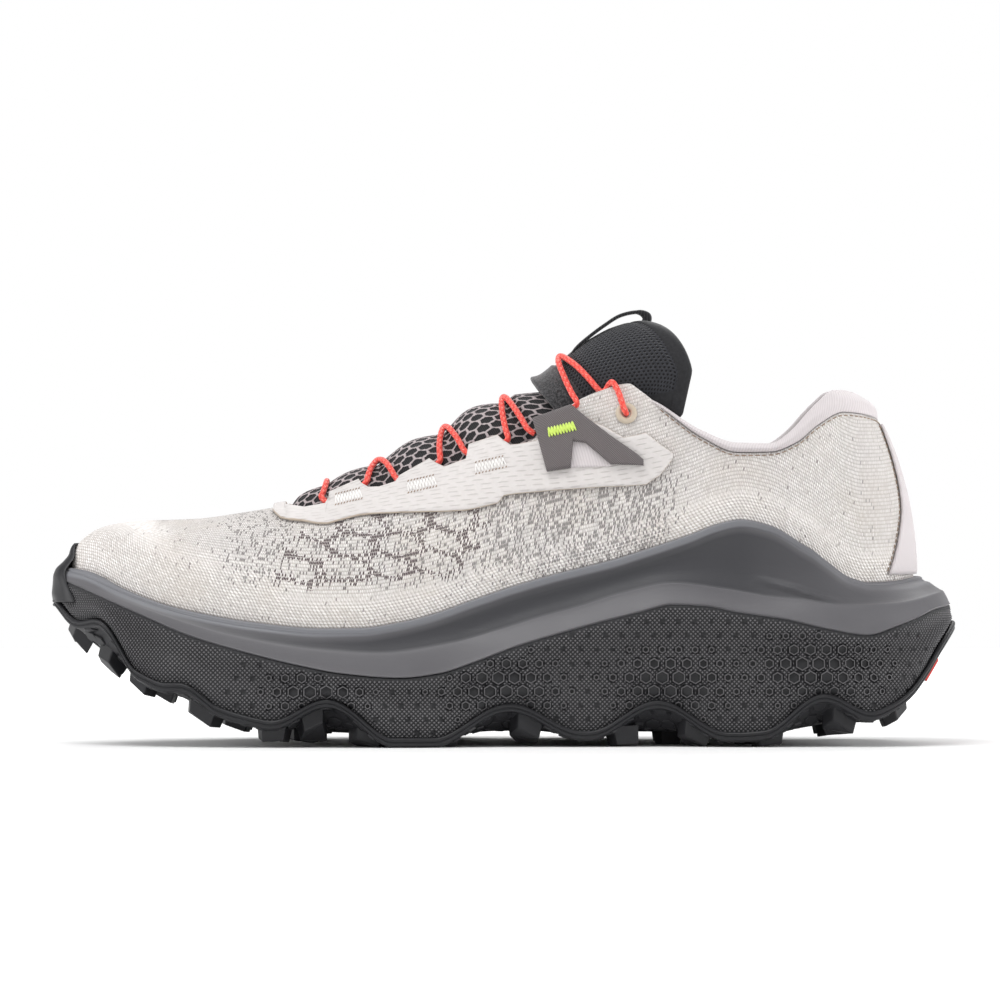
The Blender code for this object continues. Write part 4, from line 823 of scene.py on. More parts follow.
# %% Build the carrier
foam_ring = ring_of(180, 90, 60)
foam_run, _ = run_round(foam_ring, lambda st: st.sole)
profiles = [carrier_profile(st) for st in foam_ring]
below_rim = np.array([st.rim - p[:, 1] for st, p in zip(foam_ring, profiles)])
over_crest = np.array([p[:, 1] - st.crest for st, p in zip(foam_ring, profiles)])
marks = {"foam": mark_of(foam_run[:, None], below_rim, over_crest)}
carrier = skin("midsole_carrier_foam", sweep(foam_ring, profiles), around=True, marks=marks)
print("profiles round the carrier:", len(profiles))

# %% [markdown]
# ## Its finish
# Moulded foam is matt and nearly even, with faint drag lines where it was pressed and soft
# mottling. A painted highlight lightens the lip, and painted shade darkens the channel. The
# heights under the rim and over the crest were hung on the mesh, so the nodes can keep to lip
# and channel.

# %% Carrier finish
foam_grey = Finish("smooth grey foam", (0.115, 0.115, 0.128), 0.52)
_, below, over_crest = foam_grey.parts(foam_grey.mark("foam"))
spot = foam_grey.place()
mottle = foam_grey.noise(spot, 60.0, 4.0, 0.6)
grain = foam_grey.noise(spot, 900.0, 2.0)
drag = foam_grey.add("Mapping", {"Vector": spot, "Scale": (60.0, 60.0, 420.0)})
drag = foam_grey.noise(drag, 1.0, 5.0, 0.65)
lip_share = foam_grey.range(below, 3.0 * MM, 2.2 * MM)
base = foam_grey.blend(mottle, (0.086, 0.084, 0.091), (0.112, 0.109, 0.117))
x_at = foam_grey.parts(spot)[0]
# Painted shade darkens the channel between rim and crest, and fades out towards the toe and the
# heel.
over, under = foam_grey.range(over_crest, 0.0, 1.1 * MM), foam_grey.range(below, 2.4 * MM, 5 * MM)
painted_channel_shade = foam_grey.times(over, under)
painted_channel_shade = foam_grey.times(painted_channel_shade, foam_grey.range(x_at, -125 * MM, -45 * MM, 0.25, 1.0))
painted_channel_shade = foam_grey.times(painted_channel_shade, foam_grey.range(x_at, 122 * MM, 78 * MM, 0.3, 1.0))
base = foam_grey.blend(painted_channel_shade, base, (0.034, 0.034, 0.039))
# A painted highlight lightens the rounded lip, weaker towards the heel.
painted_lip_highlight = foam_grey.times(lip_share, foam_grey.range(x_at, 110 * MM, 60 * MM, 0.3, 0.9))
base = foam_grey.blend(painted_lip_highlight, base, (0.165, 0.168, 0.183))
foam_grey.paint(base, foam_grey.range(mottle, 0.3, 0.7, 0.46, 0.58))
foam_grey.relief(foam_grey.plus(foam_grey.times(grain, 0.35), drag), 0.25 * MM, 0.35)
wear(carrier, foam_grey, "carrier_foam", "midsole_carrier")

# %% [markdown]
# ## Textured lower foam
# The core's side is moulded with small pyramids, and dishes with six sides fade in and out
# of them. A bump map would leave the outline and the shadows flat. A grid of square
# cells whose corners are high and low by turns gives every pyramid with two triangles a
# cell, as long as each cell is cut between its low corners.

# %% The core's side as a surface
core_ring = ring_of(287, 189, 102)
core_run, CORE_ROUND = run_round(core_ring, lambda st: st.sole)
LEVELS = np.linspace(0, 60 * MM, 241)


def core_side(st):
    """The core's side from the parting line down to its lower corner."""
    low = corner_height(st)
    rise = st.parting - low
    waist = min(2.4 * MM, 0.09 * rise)
    return through([
        (st.sole - 0.8 * MM, st.parting - GAP / 2),
        (st.sole - 0.6 * MM, st.parting - 0.06 * rise),
        (st.sole - waist, low + 0.66 * rise),
        (st.sole - 0.3 * waist, low + 0.34 * rise),
        (st.sole - tuck(st), low),
    ], 6)


core_top = np.array([st.parting - GAP / 2 for st in core_ring])
core_low = np.array([corner_height(st) for st in core_ring])
core_radius = np.array([np.interp(LEVELS, *core_side(st)[::-1, ::-1].T) for st in core_ring])
core_start = np.array([st.start for st in core_ring])
core_out = np.array([st.out for st in core_ring])


def core_point(where, z, lift):
    """A point on the core's side at a run round the shoe and a height, as an array."""
    where = np.mod(where, CORE_ROUND)
    j = np.searchsorted(core_run, where, side="right") - 1
    k = (j + 1) % len(core_run)
    ahead = np.where(k == 0, CORE_ROUND, core_run[k])
    share = (where - core_run[j]) / (ahead - core_run[j])
    found = []
    for i in (j, k):
        cell = np.clip(z / LEVELS[1], 0, len(LEVELS) - 1.001)
        low = cell.astype(int)
        radius = core_radius[i, low] * (1 - cell + low) + core_radius[i, low + 1] * (cell - low)
        found.append(core_start[i] + core_out[i] * (radius + lift)[:, None])
    plan = found[0] * (1 - share)[:, None] + found[1] * share[:, None]
    return np.column_stack([plan, z])


def core_limits(where):
    """The core's lowest and highest level at runs round the shoe."""
    pick = np.searchsorted(core_run, np.mod(where, CORE_ROUND), side="right") - 1
    return core_low[pick], core_top[pick]


print("round the core in mm:", round(CORE_ROUND / MM))

# %% Where the dishes lie and how large they are
DISH_COUNT = int(round(CORE_ROUND / (5.4 * MM)))
DISH_STEP = CORE_ROUND / DISH_COUNT
DISH_ROW = 4.55 * MM
# The clusters of large dishes as x, z and their reach along and up, in millimetres.
CLUSTERS = (
    (-61.8, 18.0, 15, 7.0), (-1.3, 20.0, 19, 10.0), (54.0, 21.0, 19, 10.0), (101.4, 25.5, 20, 10.5),
)


def dish_size(x, z):
    """A dish's radius: large inside four clusters, and a mere dot between them."""
    full = np.zeros_like(x)
    for cx, cz, rx, rz in CLUSTERS:
        off = ((x - cx * MM) / (rx * MM)) ** 2 + ((z - cz * MM) / (rz * MM)) ** 2
        full = np.maximum(full, np.exp(-off * 0.8))
    return (0.45 + 1.85 * full) * MM


def nearest_dish(where, z):
    """The nearest dish's place, height and radius."""
    row = np.round(z / DISH_ROW)
    shift = np.mod(row, 2) * DISH_STEP / 2
    centre = np.round((where - shift) / DISH_STEP) * DISH_STEP + shift
    level = row * DISH_ROW
    x = core_point(centre, level, 0 * level)[:, 0]
    low, top = core_limits(centre)
    room = np.minimum(level - low, top - level) - 1.1 * MM
    radius = np.minimum(dish_size(x, level), room)
    radius = np.where(radius < 0.5 * MM, 0.0, radius)
    return centre, level, radius


print("dishes in a row:", DISH_COUNT)

# %% Build the pyramids
CELL = 0.74 * MM
PEAK = 0.38 * MM
rows = int(58 * MM / CELL)
columns = len(core_ring)
level = np.clip(np.arange(rows)[None, :] * CELL, core_low[:, None], core_top[:, None])
where = np.repeat(core_run[:, None], rows, 1)
flat_level, flat_where = level.ravel(), where.ravel()
even = (np.arange(columns)[:, None] + np.arange(rows)[None, :]) % 2 == 0
edge_room = np.minimum(level - core_low[:, None], core_top[:, None] - level)
fade = np.clip((edge_room - 0.3 * MM) / (0.9 * MM), 0, 1)
lift = np.where(even, PEAK, 0.0) * fade
centre, dish_level, radius = nearest_dish(flat_where, flat_level)
off = np.hypot(
    np.mod(flat_where - centre + CORE_ROUND / 2, CORE_ROUND) - CORE_ROUND / 2,
    flat_level - dish_level,
).reshape(level.shape)
radius = radius.reshape(level.shape)
sunk = (radius > 0.9 * MM) & (off < radius + 0.12 * MM)
pit = (radius > 0) & (radius <= 0.9 * MM) & (off < 0.75 * MM)
lift = np.where(sunk, -0.5 * MM, np.where(pit, -0.3 * MM, lift))
side = core_point(flat_where, flat_level, lift.ravel()).reshape(columns, rows, 3)
top_rings, low_rings = [], []
for st in core_ring:
    under = carrier_underside(st, GAP)
    top_rings.append(st.points(*np.array(under).T)[::-1])
    low = corner_height(st)
    run = []
    for share, rise in ((0.84, 0.24), (0.62, 0.0), (0.3, 0.0), (0.0, 0.0)):
        radius_in = (st.sole - tuck(st)) * share
        base = underside_height(st.x_at(radius_in)) + RUBBER_THICKNESS
        run.append((radius_in, base + (low - base) * rise))
    low_rings.append(st.points(*np.array(run).T)[::-1])
grid = np.concatenate([np.array(low_rings), side, np.array(top_rings)[:, ::-1]], 1)
tall = np.zeros(grid.shape[:2])
UNDER_ROWS = len(run)
tall[:, UNDER_ROWS:UNDER_ROWS + rows] = lift / MM
count = grid.shape[1]
index = np.arange(columns * count).reshape(columns, count)
index = np.vstack([index, index[:1]])
# Rows that were pressed together at the core's edges have no height and get no faces.
empty = np.zeros((columns + 1, count), bool)
empty[:-1, UNDER_ROWS:UNDER_ROWS + rows - 1] = level[:, 1:] == level[:, :-1]
empty[-1] = empty[0]
faces = []
for i in range(columns):
    first, second = index[i].tolist(), index[i + 1].tolist()
    for j in range(count - 1):
        a, b, c, d = first[j], second[j], second[j + 1], first[j + 1]
        if empty[i, j] and empty[i + 1, j]:
            continue
        if (i + j) % 2 == 0:
            faces += [(a, b, d), (b, c, d)]
        else:
            faces += [(a, b, c), (a, c, d)]
marks = {"core": mark_of(tall, 0.0, 0.0)}
core = finish_mesh("midsole_core_foam", grid.reshape(-1, 3), faces, smooth=False, marks=marks)
print("faces of the core:", len(faces))

# %% Build the dishes
steps = np.arange(DISH_COUNT) * DISH_STEP
dish_points, dish_faces, dish_marks = [], [], []
for row in range(1, 13):
    shift = (row % 2) * DISH_STEP / 2
    centre, level_of, radius = nearest_dish(steps + shift, np.full(DISH_COUNT, row * DISH_ROW))
    for c, z, r in zip(centre, level_of, radius):
        if r <= 0.9 * MM:
            continue
        first = len(dish_points)
        turns = np.arange(6) * math.pi / 3 + math.pi / 6
        for out, up in ((0.3, -0.15), (0.06, 0.42), (-0.22, 0.42), (-0.36, -0.3)):
            plan, rise = c + np.cos(turns) * (r + out * MM), z + np.sin(turns) * (r + out * MM)
            ring = core_point(plan, rise, np.full(6, up * MM))
            dish_points.extend(ring)
            dish_marks.extend([(up, 1, 0)] * 6)
        dish_points.extend(core_point(np.array([c]), np.array([z]), np.array([-0.3 * MM])))
        dish_marks.append((-0.3, 1, 0))
        for ring in range(3):
            for j in range(6):
                k = (j + 1) % 6
                a, b = first + ring * 6, first + ring * 6 + 6
                dish_faces.append((a + j, a + k, b + k, b + j))
        dish_faces += [(first + 18 + j, first + 18 + (j + 1) % 6, first + 24) for j in range(6)]
marks = {"core": dish_marks}
dishes = finish_mesh("midsole_core_dishes", dish_points, dish_faces, smooth=False, marks=marks)
print("dishes:", len(dish_points) // 25)

# %% [markdown]
# ## Its finish
# The core is charcoal foam. Rubbed peaks are paler than the valleys, so the colour follows
# the height that was hung on the mesh, and the dishes' rims are held back by half.

# %% Core finish
foam_dark = Finish("charcoal foam", (0.03, 0.03, 0.034), 0.5)
tall, in_dish, _ = foam_dark.parts(foam_dark.mark("core"))
worn = foam_dark.range(tall, 0.1, 0.42)
worn = foam_dark.times(worn, foam_dark.range(in_dish, 0.0, 1.0, 1.0, 0.5))
patch = foam_dark.noise(foam_dark.place(), 45.0, 3.0)
tone = foam_dark.blend(worn, (0.010, 0.010, 0.012), (0.205, 0.198, 0.206))
cloudy = foam_dark.range(patch, 0.4, 0.8, 0.0, 0.22)
tone = foam_dark.blend(cloudy, tone, (0.05, 0.05, 0.055))
foam_dark.paint(tone, foam_dark.range(worn, 0.0, 1.0, 0.6, 0.42))
foam_dark.relief(foam_dark.noise(foam_dark.place(), 1400.0), 0.08 * MM, 0.4)
wear(core, foam_dark, "core_foam", "midsole_core")
wear(dishes, foam_dark, "core_foam")

# %% [markdown]
# ## Outsole sheet
# The rubber is a thin sheet under the core with a rounded lip whose edge runs up and down
# in scallops. The solid has the right path but a square lip, so the sheet is made
# again with a lip that is rounded and has the fine groove of the mould's edge.

# %% Rubber sheet
def outsole_profile(st):
    """The rubber sheet: its top, foot, lip and underside, from the spine and back."""
    low = corner_height(st)
    corner = st.sole - tuck(st)
    top, bottom = [], []
    for share, lift in ((0.0, 0.0), (0.3, 0.0), (0.62, 0.0), (0.84, 0.24)):
        radius = corner * share
        level = underside_height(st.x_at(radius)) + RUBBER_THICKNESS
        level += (low - level) * lift
        top.append((radius, level - GAP))
        bottom.append((radius, level - RUBBER_THICKNESS))
    side = core_side(st)[::-1]
    inner = float(np.interp(low + LIP_HEIGHT, side[:, 1], side[:, 0])) + LIP_GAP
    inner_low = max(inner, corner + LIP_GAP)
    thick = LIP_THICKNESS
    lip = through([
        (corner + GAP, low - GAP), (inner_low - 0.1 * MM, low + 0.5 * LIP_HEIGHT),
        (inner, low + LIP_HEIGHT), (inner + 0.5 * thick, low + LIP_HEIGHT + 0.25 * MM),
        (inner + 0.95 * thick, low + 0.82 * LIP_HEIGHT),
        (inner + 0.98 * thick, low + 0.35 * LIP_HEIGHT),
        (inner + 0.72 * thick, low + 0.12 * LIP_HEIGHT), (inner + 0.9 * thick, low - 0.25 * MM),
        (inner + 0.75 * thick, low - 0.95 * MM), (corner + 0.1 * thick, low - 1.7 * MM),
    ], 3)
    under = through([tuple(lip[-1])] + bottom[::-1], 4)
    return np.array(top + [tuple(p) for p in lip] + [tuple(p) for p in under[1:]])


rubber_ring = ring_of(200, 100, 70)
grid = sweep(rubber_ring, [outsole_profile(st) for st in rubber_ring])
sheet_piece = skin("outsole_sheet", grid, around=True)
sheet_tree = BVHTree.FromPolygons(
    [v.co for v in sheet_piece.data.vertices], [p.vertices for p in sheet_piece.data.polygons]
)
print("points in the lip's profile:", grid.shape[1])

# %% [markdown]
# ## Lugs
# Each lug is a block with five corners and its point forward. A cube with a bevel would
# lose the point, so a block is drawn from its outline, tapered to its foot and bevelled.
# The lugs that touch the floor end at exactly Z = 0.

# %% Lug tables
LUG_SIZE = 12 * MM
LUG_DEPTH = 4.6 * MM
LUG_TAPER = 0.82
LUG_SUNK = 1.6 * MM
# The lugs of one side: place along the sole, share across it, length and width in shares
# of a lug's size, and turn in degrees. The other side is its mirror image.
EDGE_LUGS = table(
    "along across length width turn",
    (0.063, 0.5, 0.62, 0.67, 40), (0.099, 0.66, 0.75, 0.83, 30), (0.168, 0.76, 1, 1, 22),
    (0.244, 0.82, 0.96, 1, 12), (0.286, 0.83, 0.83, 1, 8), (0.346, 0.79, 1, 1.08, 0),
    (0.428, 0.76, 1, 1.08, -4), (0.521, 0.83, 0.96, 0.92, -4), (0.628, 0.83, 0.96, 0.83, 0),
    (0.708, 0.83, 0.96, 0.83, 0), (0.787, 0.83, 1, 0.92, 0), (0.866, 0.8, 0.96, 0.92, -14),
    (0.925, 0.7, 0.67, 0.83, -36),
)
INNER_LUGS = table(
    "along across length width turn",
    (0.12, 0.24, 0.75, 0.83, 6), (0.2, 0.3, 0.92, 1.08, 8), (0.275, 0.31, 0.92, 1.17, 6),
    (0.35, 0.31, 0.92, 1.17, 0), (0.43, 0.31, 0.92, 1.08, 0), (0.68, 0.3, 0.83, 0.92, 0),
    (0.77, 0.32, 0.92, 1, 0), (0.86, 0.3, 0.83, 1, -6),
)
TOE_LUG = (0.028, 0.001, 0.67, 1.33, 0)
ACCENT_IN = 8.5 * MM
ACCENT_LENGTH = 5 * MM
ACCENT_WIDTH = 14 * MM
ACCENT_DEPTH = 4.2 * MM


def lug_places():
    """Every lug as its place along the sole, share across, length, width and turn."""
    places = []
    for side in (-1, 1):
        for rows in (EDGE_LUGS, INNER_LUGS):
            for along, across, length, width, turn in zip(*rows.values()):
                places.append((along, side * across, length, width, side * turn))
    places.append(TOE_LUG)
    return places


def across_sole(x, share):
    """A point across the sole: -1 is its medial edge and 1 its lateral edge."""
    start = np.array([x, spine_y(x)])
    out = np.array([0.0, math.copysign(1, share)])
    return start[1] + share * reach(SOLE_LOOP, start, out)


def lug_outline(length, width, turn):
    """A five-cornered lug with its point to the front."""
    c, s = math.cos(math.radians(turn)), math.sin(math.radians(turn))
    shape = ((-0.5, 0.0), (-0.22, 0.5), (0.5, 0.42), (0.5, -0.42), (-0.22, -0.5))
    return [(a * length * c - b * width * s, a * length * s + b * width * c) for a, b in shape]


print("lugs:", len(lug_places()))

# %% Lugs
def sheet_under(x, y):
    """The underside of the rubber sheet above a point, and the way out of it."""
    hit, normal = sheet_tree.ray_cast(Vector((x, y, -0.01)), Vector((0, 0, 1)))[:2]
    if hit is None:
        return None, None
    return hit, (normal if normal.z < 0 else -normal)


def add_block(bm, centre, outline, sunk, depth, floor):
    """A bevelled block that hangs from the rubber sheet, and whether its foot is flat."""
    hit, normal = sheet_under(*centre)
    normal = (normal - Vector((0, 0, 1))).normalized()
    top, low = [], []
    for dx, dy in outline:
        high = sheet_under(centre[0] + dx, centre[1] + dy)[0]
        if high is None or high.z > hit.z + 5 * MM:
            high = Vector((centre[0] + dx, centre[1] + dy, hit.z))
        top.append(high - normal * sunk)
        foot = Vector((centre[0] + dx * LUG_TAPER, centre[1] + dy * LUG_TAPER, high.z))
        foot += normal * depth
        if floor and foot.z < 0.45 * MM:
            foot.z = 0.0
        low.append(foot)
    ring_top = [bm.verts.new(p) for p in top]
    ring_low = [bm.verts.new(p) for p in low]
    sides = []
    for j in range(len(outline)):
        k = (j + 1) % len(outline)
        bm.faces.new((ring_top[j], ring_top[k], ring_low[k], ring_low[j]))
        sides.append(bm.edges.get((ring_top[j], ring_low[j])))
        sides.append(bm.edges.get((ring_low[j], ring_low[k])))
    bm.faces.new(ring_low[::-1])
    bm.faces.new(ring_top)
    flat = all(abs(v.co.z) < 1e-9 for v in ring_low)
    bmesh.ops.bevel(bm, geom=sides, offset=0.45 * MM, segments=2, affect="EDGES", profile=0.6)
    return flat


bm = bmesh.new()
flat_feet = 0
for along, share, length, width, turn in lug_places():
    x = TOE_X + along * SOLE_LENGTH
    outline = lug_outline(length * LUG_SIZE, width * LUG_SIZE, turn)
    flat_feet += add_block(bm, (x, across_sole(x, share)), outline, LUG_SUNK, LUG_DEPTH, True)
bmesh.ops.recalc_face_normals(bm, faces=bm.faces)
lugs = object_from("outsole_lugs", bm)
print("lugs with a flat foot on the floor:", flat_feet)

# %% [markdown]
# ## Six-sided plates under the scallops
# Where the sheet climbs in a scallop its underside shows a field of shallow plates with
# six sides. They are thin raised tiles, dropped onto the sheet from below.

# %% Tiles
tile_points, tile_faces = [], []
pitch = 5.2 * MM
for side in (-1, 1):
    for row in range(7):
        for x in np.arange(TOE_X + 12 * MM, HEEL_X - 10 * MM, pitch) + (row % 2) * pitch / 2:
            start = np.array([x, spine_y(x)])
            if x > HEEL_X - 12 * MM:
                continue
            edge = reach(SOLE_LOOP, start, np.array([0.0, side]))
            y = start[1] + side * (edge - 4.6 * MM - row * pitch * 0.866)
            hit, normal = sheet_under(x, y)
            if hit is None or hit.z < 1.5 * MM:
                continue
            right = normal.cross(Vector((0, 1, 0))).normalized()
            ahead = normal.cross(right)
            first = len(tile_points)
            for wide, up in ((2.75, -0.4), (2.5, 0.32), (2.3, 0.42)):
                for turn in np.arange(6) * math.pi / 3 + math.pi / 6:
                    arm = right * math.cos(turn) + ahead * math.sin(turn)
                    tile_points.append(hit + arm * wide * MM + normal * up * MM)
            tile_points.append(hit + normal * 0.42 * MM)
            for ring in range(2):
                for k in range(6):
                    a, b, n = first + ring * 6, first + ring * 6 + 6, (k + 1) % 6
                    tile_faces.append((a + k, a + n, b + n, b + k))
            tile_faces += [(first + 12 + k, first + 12 + (k + 1) % 6, first + 18) for k in range(6)]
tiles = finish_mesh("outsole_tiles", tile_points, tile_faces, smooth=False)
print("tiles:", len(tile_points) // 19)

# %% [markdown]
# ## Toe bumper
# In front the rubber climbs over the toe as a tongue, wide below and narrow above. It
# follows the side of the shoe at a hair's gap, and its free edges are rounded. The side is
# read once for a fan of directions, and the tongue's grid takes its points between them.

# %% Toe bumper
# Its directions from the toe's centre, and its rows from the core's corner to its top.
FAN = np.radians(np.linspace(-34, 34, 35))


def outside_profile(st):
    """The outside of core, carrier and upper, from the core's corner up."""
    rim = rim_radius(st)
    heights = np.linspace(st.rim, st.wall[-1, 1] - 0.5 * MM, 12)[1:]
    return np.vstack([
        core_side(st)[::-1], (st.sole - 0.5 * MM, st.parting), (crest_radius(st), st.crest),
        (rim, st.rim - 0.8 * MM), (rim, st.rim), np.column_stack([st.wall_at(heights), heights]),
    ])


fan = [Station(TOE_CENTRE_X, (-math.cos(angle), math.sin(angle))) for angle in FAN]
low = max(corner_height(st) for st in fan[10:-10]) + 0.3 * LIP_HEIGHT
BUMPER_ROWS = 34
levels = np.linspace(low, BUMPER_HEIGHT, BUMPER_ROWS)
reaches = []
for st in fan:
    side = outside_profile(st)
    radius = np.array([
        np.interp(np.linspace(z - 1.2 * MM, z + 1.2 * MM, 7), side[:, 1], side[:, 0]).max()
        for z in levels
    ])
    reaches.append(np.convolve(np.pad(radius, 3, mode="edge"), np.ones(7) / 7, "valid") + 0.3 * MM)
reaches = np.array(reaches)

runs = []
for share in np.linspace(-1, 1, 45):
    off = abs(share)
    high = BUMPER_HEIGHT - 5.0 * MM * max(0.0, (off - 0.45) / 0.55) ** 2
    heights = np.linspace(low, high, BUMPER_ROWS)
    rise = (heights - low) / (BUMPER_HEIGHT - low)
    angle = np.radians(13 + 17 * (1 - rise) ** 1.6) * share
    radius = np.array([
        np.interp(a, FAN, [np.interp(z, levels, reach) for reach in reaches])
        for a, z in zip(angle, heights)
    ])
    thick = 1.15 * MM * (1 - 0.78 * max(0.0, (off - 0.78) / 0.22) ** 2) * np.ones(BUMPER_ROWS)
    thick[-4:] *= (0.97, 0.88, 0.68, 0.32)
    loop = []
    for r in (radius, radius + thick):
        loop.append(np.column_stack([
            TOE_CENTRE_X - np.cos(angle) * r, fan[0].start[1] + np.sin(angle) * r, heights,
        ]))
    runs.append(np.concatenate([loop[0], loop[1][::-1]]))
bumper = skin("outsole_toe_bumper", np.array(runs), closed=True, caps=True)
print("toe bumper's grid:", np.array(runs).shape)

# %% [markdown]
# ## Rubber finish
# New rubber is a deep charcoal with a satin face, a fine cloudy bloom and small mould
# grain. Its gloss is a little low all over, and only the roughness changes over it.

# %% Rubber finish
rubber = Finish("black rubber", (0.012, 0.012, 0.014), 0.42)
rubber.fill(rubber.shader, {"Specular IOR Level": 0.35})
bloom = rubber.noise(rubber.place(), 55.0, 4.0, 0.6)
rubber.paint(
    rubber.blend(bloom, (0.008, 0.008, 0.0095), (0.021, 0.021, 0.024)),
    rubber.range(bloom, 0.3, 0.7, 0.34, 0.52),
)
rubber.relief(rubber.noise(rubber.place(), 1100.0, 3.0), 0.08 * MM, 0.35)
wear(sheet_piece, rubber, "outsole_rubber", "outsole")
for piece in (lugs, tiles, bumper):
    wear(piece, rubber, "outsole_rubber")

# %% [markdown]
# ## Red heel accent
# One small red block shows behind the heel. It hangs from the sheet as a lug does, so the
# same helper draws it from a plain outline, and it wears a matt red rubber.

# %% Heel accent
bm = bmesh.new()
signs = ((-1, -1), (-1, 1), (1, 1), (1, -1))
outline = [(a * ACCENT_LENGTH / 2, b * ACCENT_WIDTH / 2) for a, b in signs]
add_block(bm, (HEEL_X - ACCENT_IN, SPINE_SHIFT), outline, -GAP, ACCENT_DEPTH, False)
bmesh.ops.recalc_face_normals(bm, faces=bm.faces)
accent = object_from("heel_accent", bm)
red_rubber = Finish("red rubber", (0.62, 0.035, 0.025), 0.5)
shade = red_rubber.noise(red_rubber.place(), 80.0, 3.0)
red_rubber.paint(red_rubber.blend(shade, (0.55, 0.03, 0.02), (0.68, 0.045, 0.03)))
red_rubber.relief(red_rubber.noise(red_rubber.place(), 900.0), 0.08 * MM, 0.3)
wear(accent, red_rubber, "accent_rubber", "heel_bumper_accent")

# %% [markdown]
# ## Insole
# Inside lies a thin footbed with a textile face, dished a little towards its edge. It is a
# plain polar grid, and its weave comes from the finish.

# %% Insole
runs = []
for st in foam_ring:
    edge = st.last - UPPER_WALL - 0.9 * MM
    shares = np.array([0, 0.25, 0.5, 0.7, 0.85, 0.94, 0.985])
    level = np.array([float(footbed_height(st.x_at(edge * s))) for s in shares]) + GAP
    dish = 1.4 * MM * shares**4
    top = st.points(edge * shares, level + 4.0 * MM + dish * 0.36)
    rim_edge = st.points([edge], [level[-1] + 3.2 * MM])
    low = st.points(edge * shares[::-1], level[::-1])
    runs.append(np.concatenate([top, rim_edge, low]))
insole = skin("insole_board", np.array(runs), around=True)
lining_dark = Finish("dark textile", (0.035, 0.035, 0.04), 0.85)
lining_dark.fill(lining_dark.shader, {"Sheen Weight": 0.25, "Sheen Roughness": 0.5})
twist = {"Vector": lining_dark.place(), "Scale": 420.0, "Distortion": 0.6}
weave = lining_dark.add("TexWave", twist)
fuzz = lining_dark.noise(lining_dark.place(), 500.0, 3.0)
both = lining_dark.times(weave, fuzz)
lining_dark.paint(lining_dark.blend(both, (0.018, 0.018, 0.021), (0.075, 0.073, 0.08)))
lining_dark.relief(both, 0.25 * MM, 0.6)
wear(insole, lining_dark, "insole_foam", "insole")

# %% [markdown]
# ## Knitted upper
# The upper is one knitted wall, about 2 mm thick, with a dark lining inside. Cloth
# simulation would not help here, since the knit is stretched over a last and holds its
# shape. So the wall is drawn from the stations, outer face and inner face, and the way
# round and the way up are hung on every point for the stitches to follow.

# %% The wall's rows
knit_ring = ring_of(236, 120, 76)
knit_run, _ = run_round(knit_ring, lambda st: st.last)
OUTER_ROWS, INNER_ROWS = 74, 22


def wall_run(st, count, start):
    """Evenly spaced (distance, height) along the outer wall from a height up."""
    wall = st.wall[st.wall[:, 1] > start]
    wall = np.vstack([[float(st.wall_at(start)), start], wall])
    run = way_along(wall)
    steps = np.linspace(0, run[-1], count)
    return np.column_stack([np.interp(steps, run, wall[:, k]) for k in (0, 1)]), steps


def inward_run(points, depth):
    """The same run moved into the wall, square to it."""
    ahead = np.gradient(points, axis=0)
    ahead /= np.maximum(np.linalg.norm(ahead, axis=1), 1e-9)[:, None]
    moved = points - np.column_stack([ahead[:, 1], -ahead[:, 0]]) * depth
    moved[:, 0] = np.maximum(moved[:, 0], 0)
    return moved


def honeycomb(u, v, pitch):
    """How far points are from the centre of their six-sided cell, 0 to 0.5 at its edge."""
    p = np.stack([np.asarray(u) / pitch, np.asarray(v) / pitch], -1)
    repeat = np.array([1.0, 3**0.5])
    a = np.mod(p, repeat) - repeat / 2
    b = np.mod(p + repeat / 2, repeat) - repeat / 2
    near = np.where((a**2).sum(-1, keepdims=True) < (b**2).sum(-1, keepdims=True), a, b)
    near = np.abs(near)
    return np.maximum(near[..., 0], near[..., 0] * 0.5 + near[..., 1] * 3**0.5 / 2)


def window(value, low, high, soft):
    """1 between low and high, fading to 0 over soft beyond each."""
    up = np.clip((value - low) / soft + 1, 0, 1)
    down = np.clip((high - value) / soft + 1, 0, 1)
    up, down = up * up * (3 - 2 * up), down * down * (3 - 2 * down)
    return up * down


print("stations round the upper:", len(knit_ring))

# %% Build the upper
BACK_ROWS = np.linspace(OUTER_ROWS - 1, 0, INNER_ROWS).astype(int)
outer, inner, way_up = [], [], []
for st in knit_ring:
    base = min(st.wall[0, 1] + 1.0 * MM, st.rim - 3 * MM)
    run, steps = wall_run(st, OUTER_ROWS, base)
    outer.append(st.points(run[:, 0], run[:, 1]))
    way_up.append(steps - (st.rim - base))
    moved = inward_run(run, UPPER_WALL)[BACK_ROWS]
    inner.append(st.points(moved[:, 0], moved[:, 1]))
outer, inner, way_up = np.array(outer), np.array(inner), np.array(way_up)
x, y, z = outer[..., 0], outer[..., 1], outer[..., 2]

lean = 0.065 * (x + 50 * MM)
drop = z - 65.6 * MM - lean + 0.5 * MM * np.sin(x / (3.4 * MM))
shift = x + 64.9 * MM + 0.66 * drop + 0.7 * MM * np.sin(z / (2.3 * MM) + x / (6 * MM))
cell = honeycomb(shift * 0.54, drop + 200 * 8 * MM * 3**0.5, 8.0 * MM)
rings = np.clip((cell - 0.34) / 0.11, 0, 1)
field = window(x, -71 * MM, -9 * MM, 7 * MM) * window(z - lean * 1.4, 55 * MM, 75 * MM, 3.5 * MM)
corner = window(x - (z - 65 * MM) * 0.9, -68 * MM, -12 * MM, 8 * MM)
rings *= field * corner
stray = window(x, -84 * MM, -6 * MM, 14 * MM) * window(z, 56 * MM, 82 * MM, 6 * MM)
grey = window(x, -2 * MM, 46 * MM, 16 * MM) * window(z, 62 * MM, 86 * MM, 9 * MM)
grey = np.maximum(grey, 0.55 * stray)
low_zone = 1 - np.clip((way_up - 5 * MM) / (7 * MM), 0, 1)
low_zone = np.maximum(low_zone * np.clip((x + 160 * MM) / (20 * MM), 0, 1), 0)
toe_zone = window(x, -160 * MM, -80 * MM, 22 * MM)
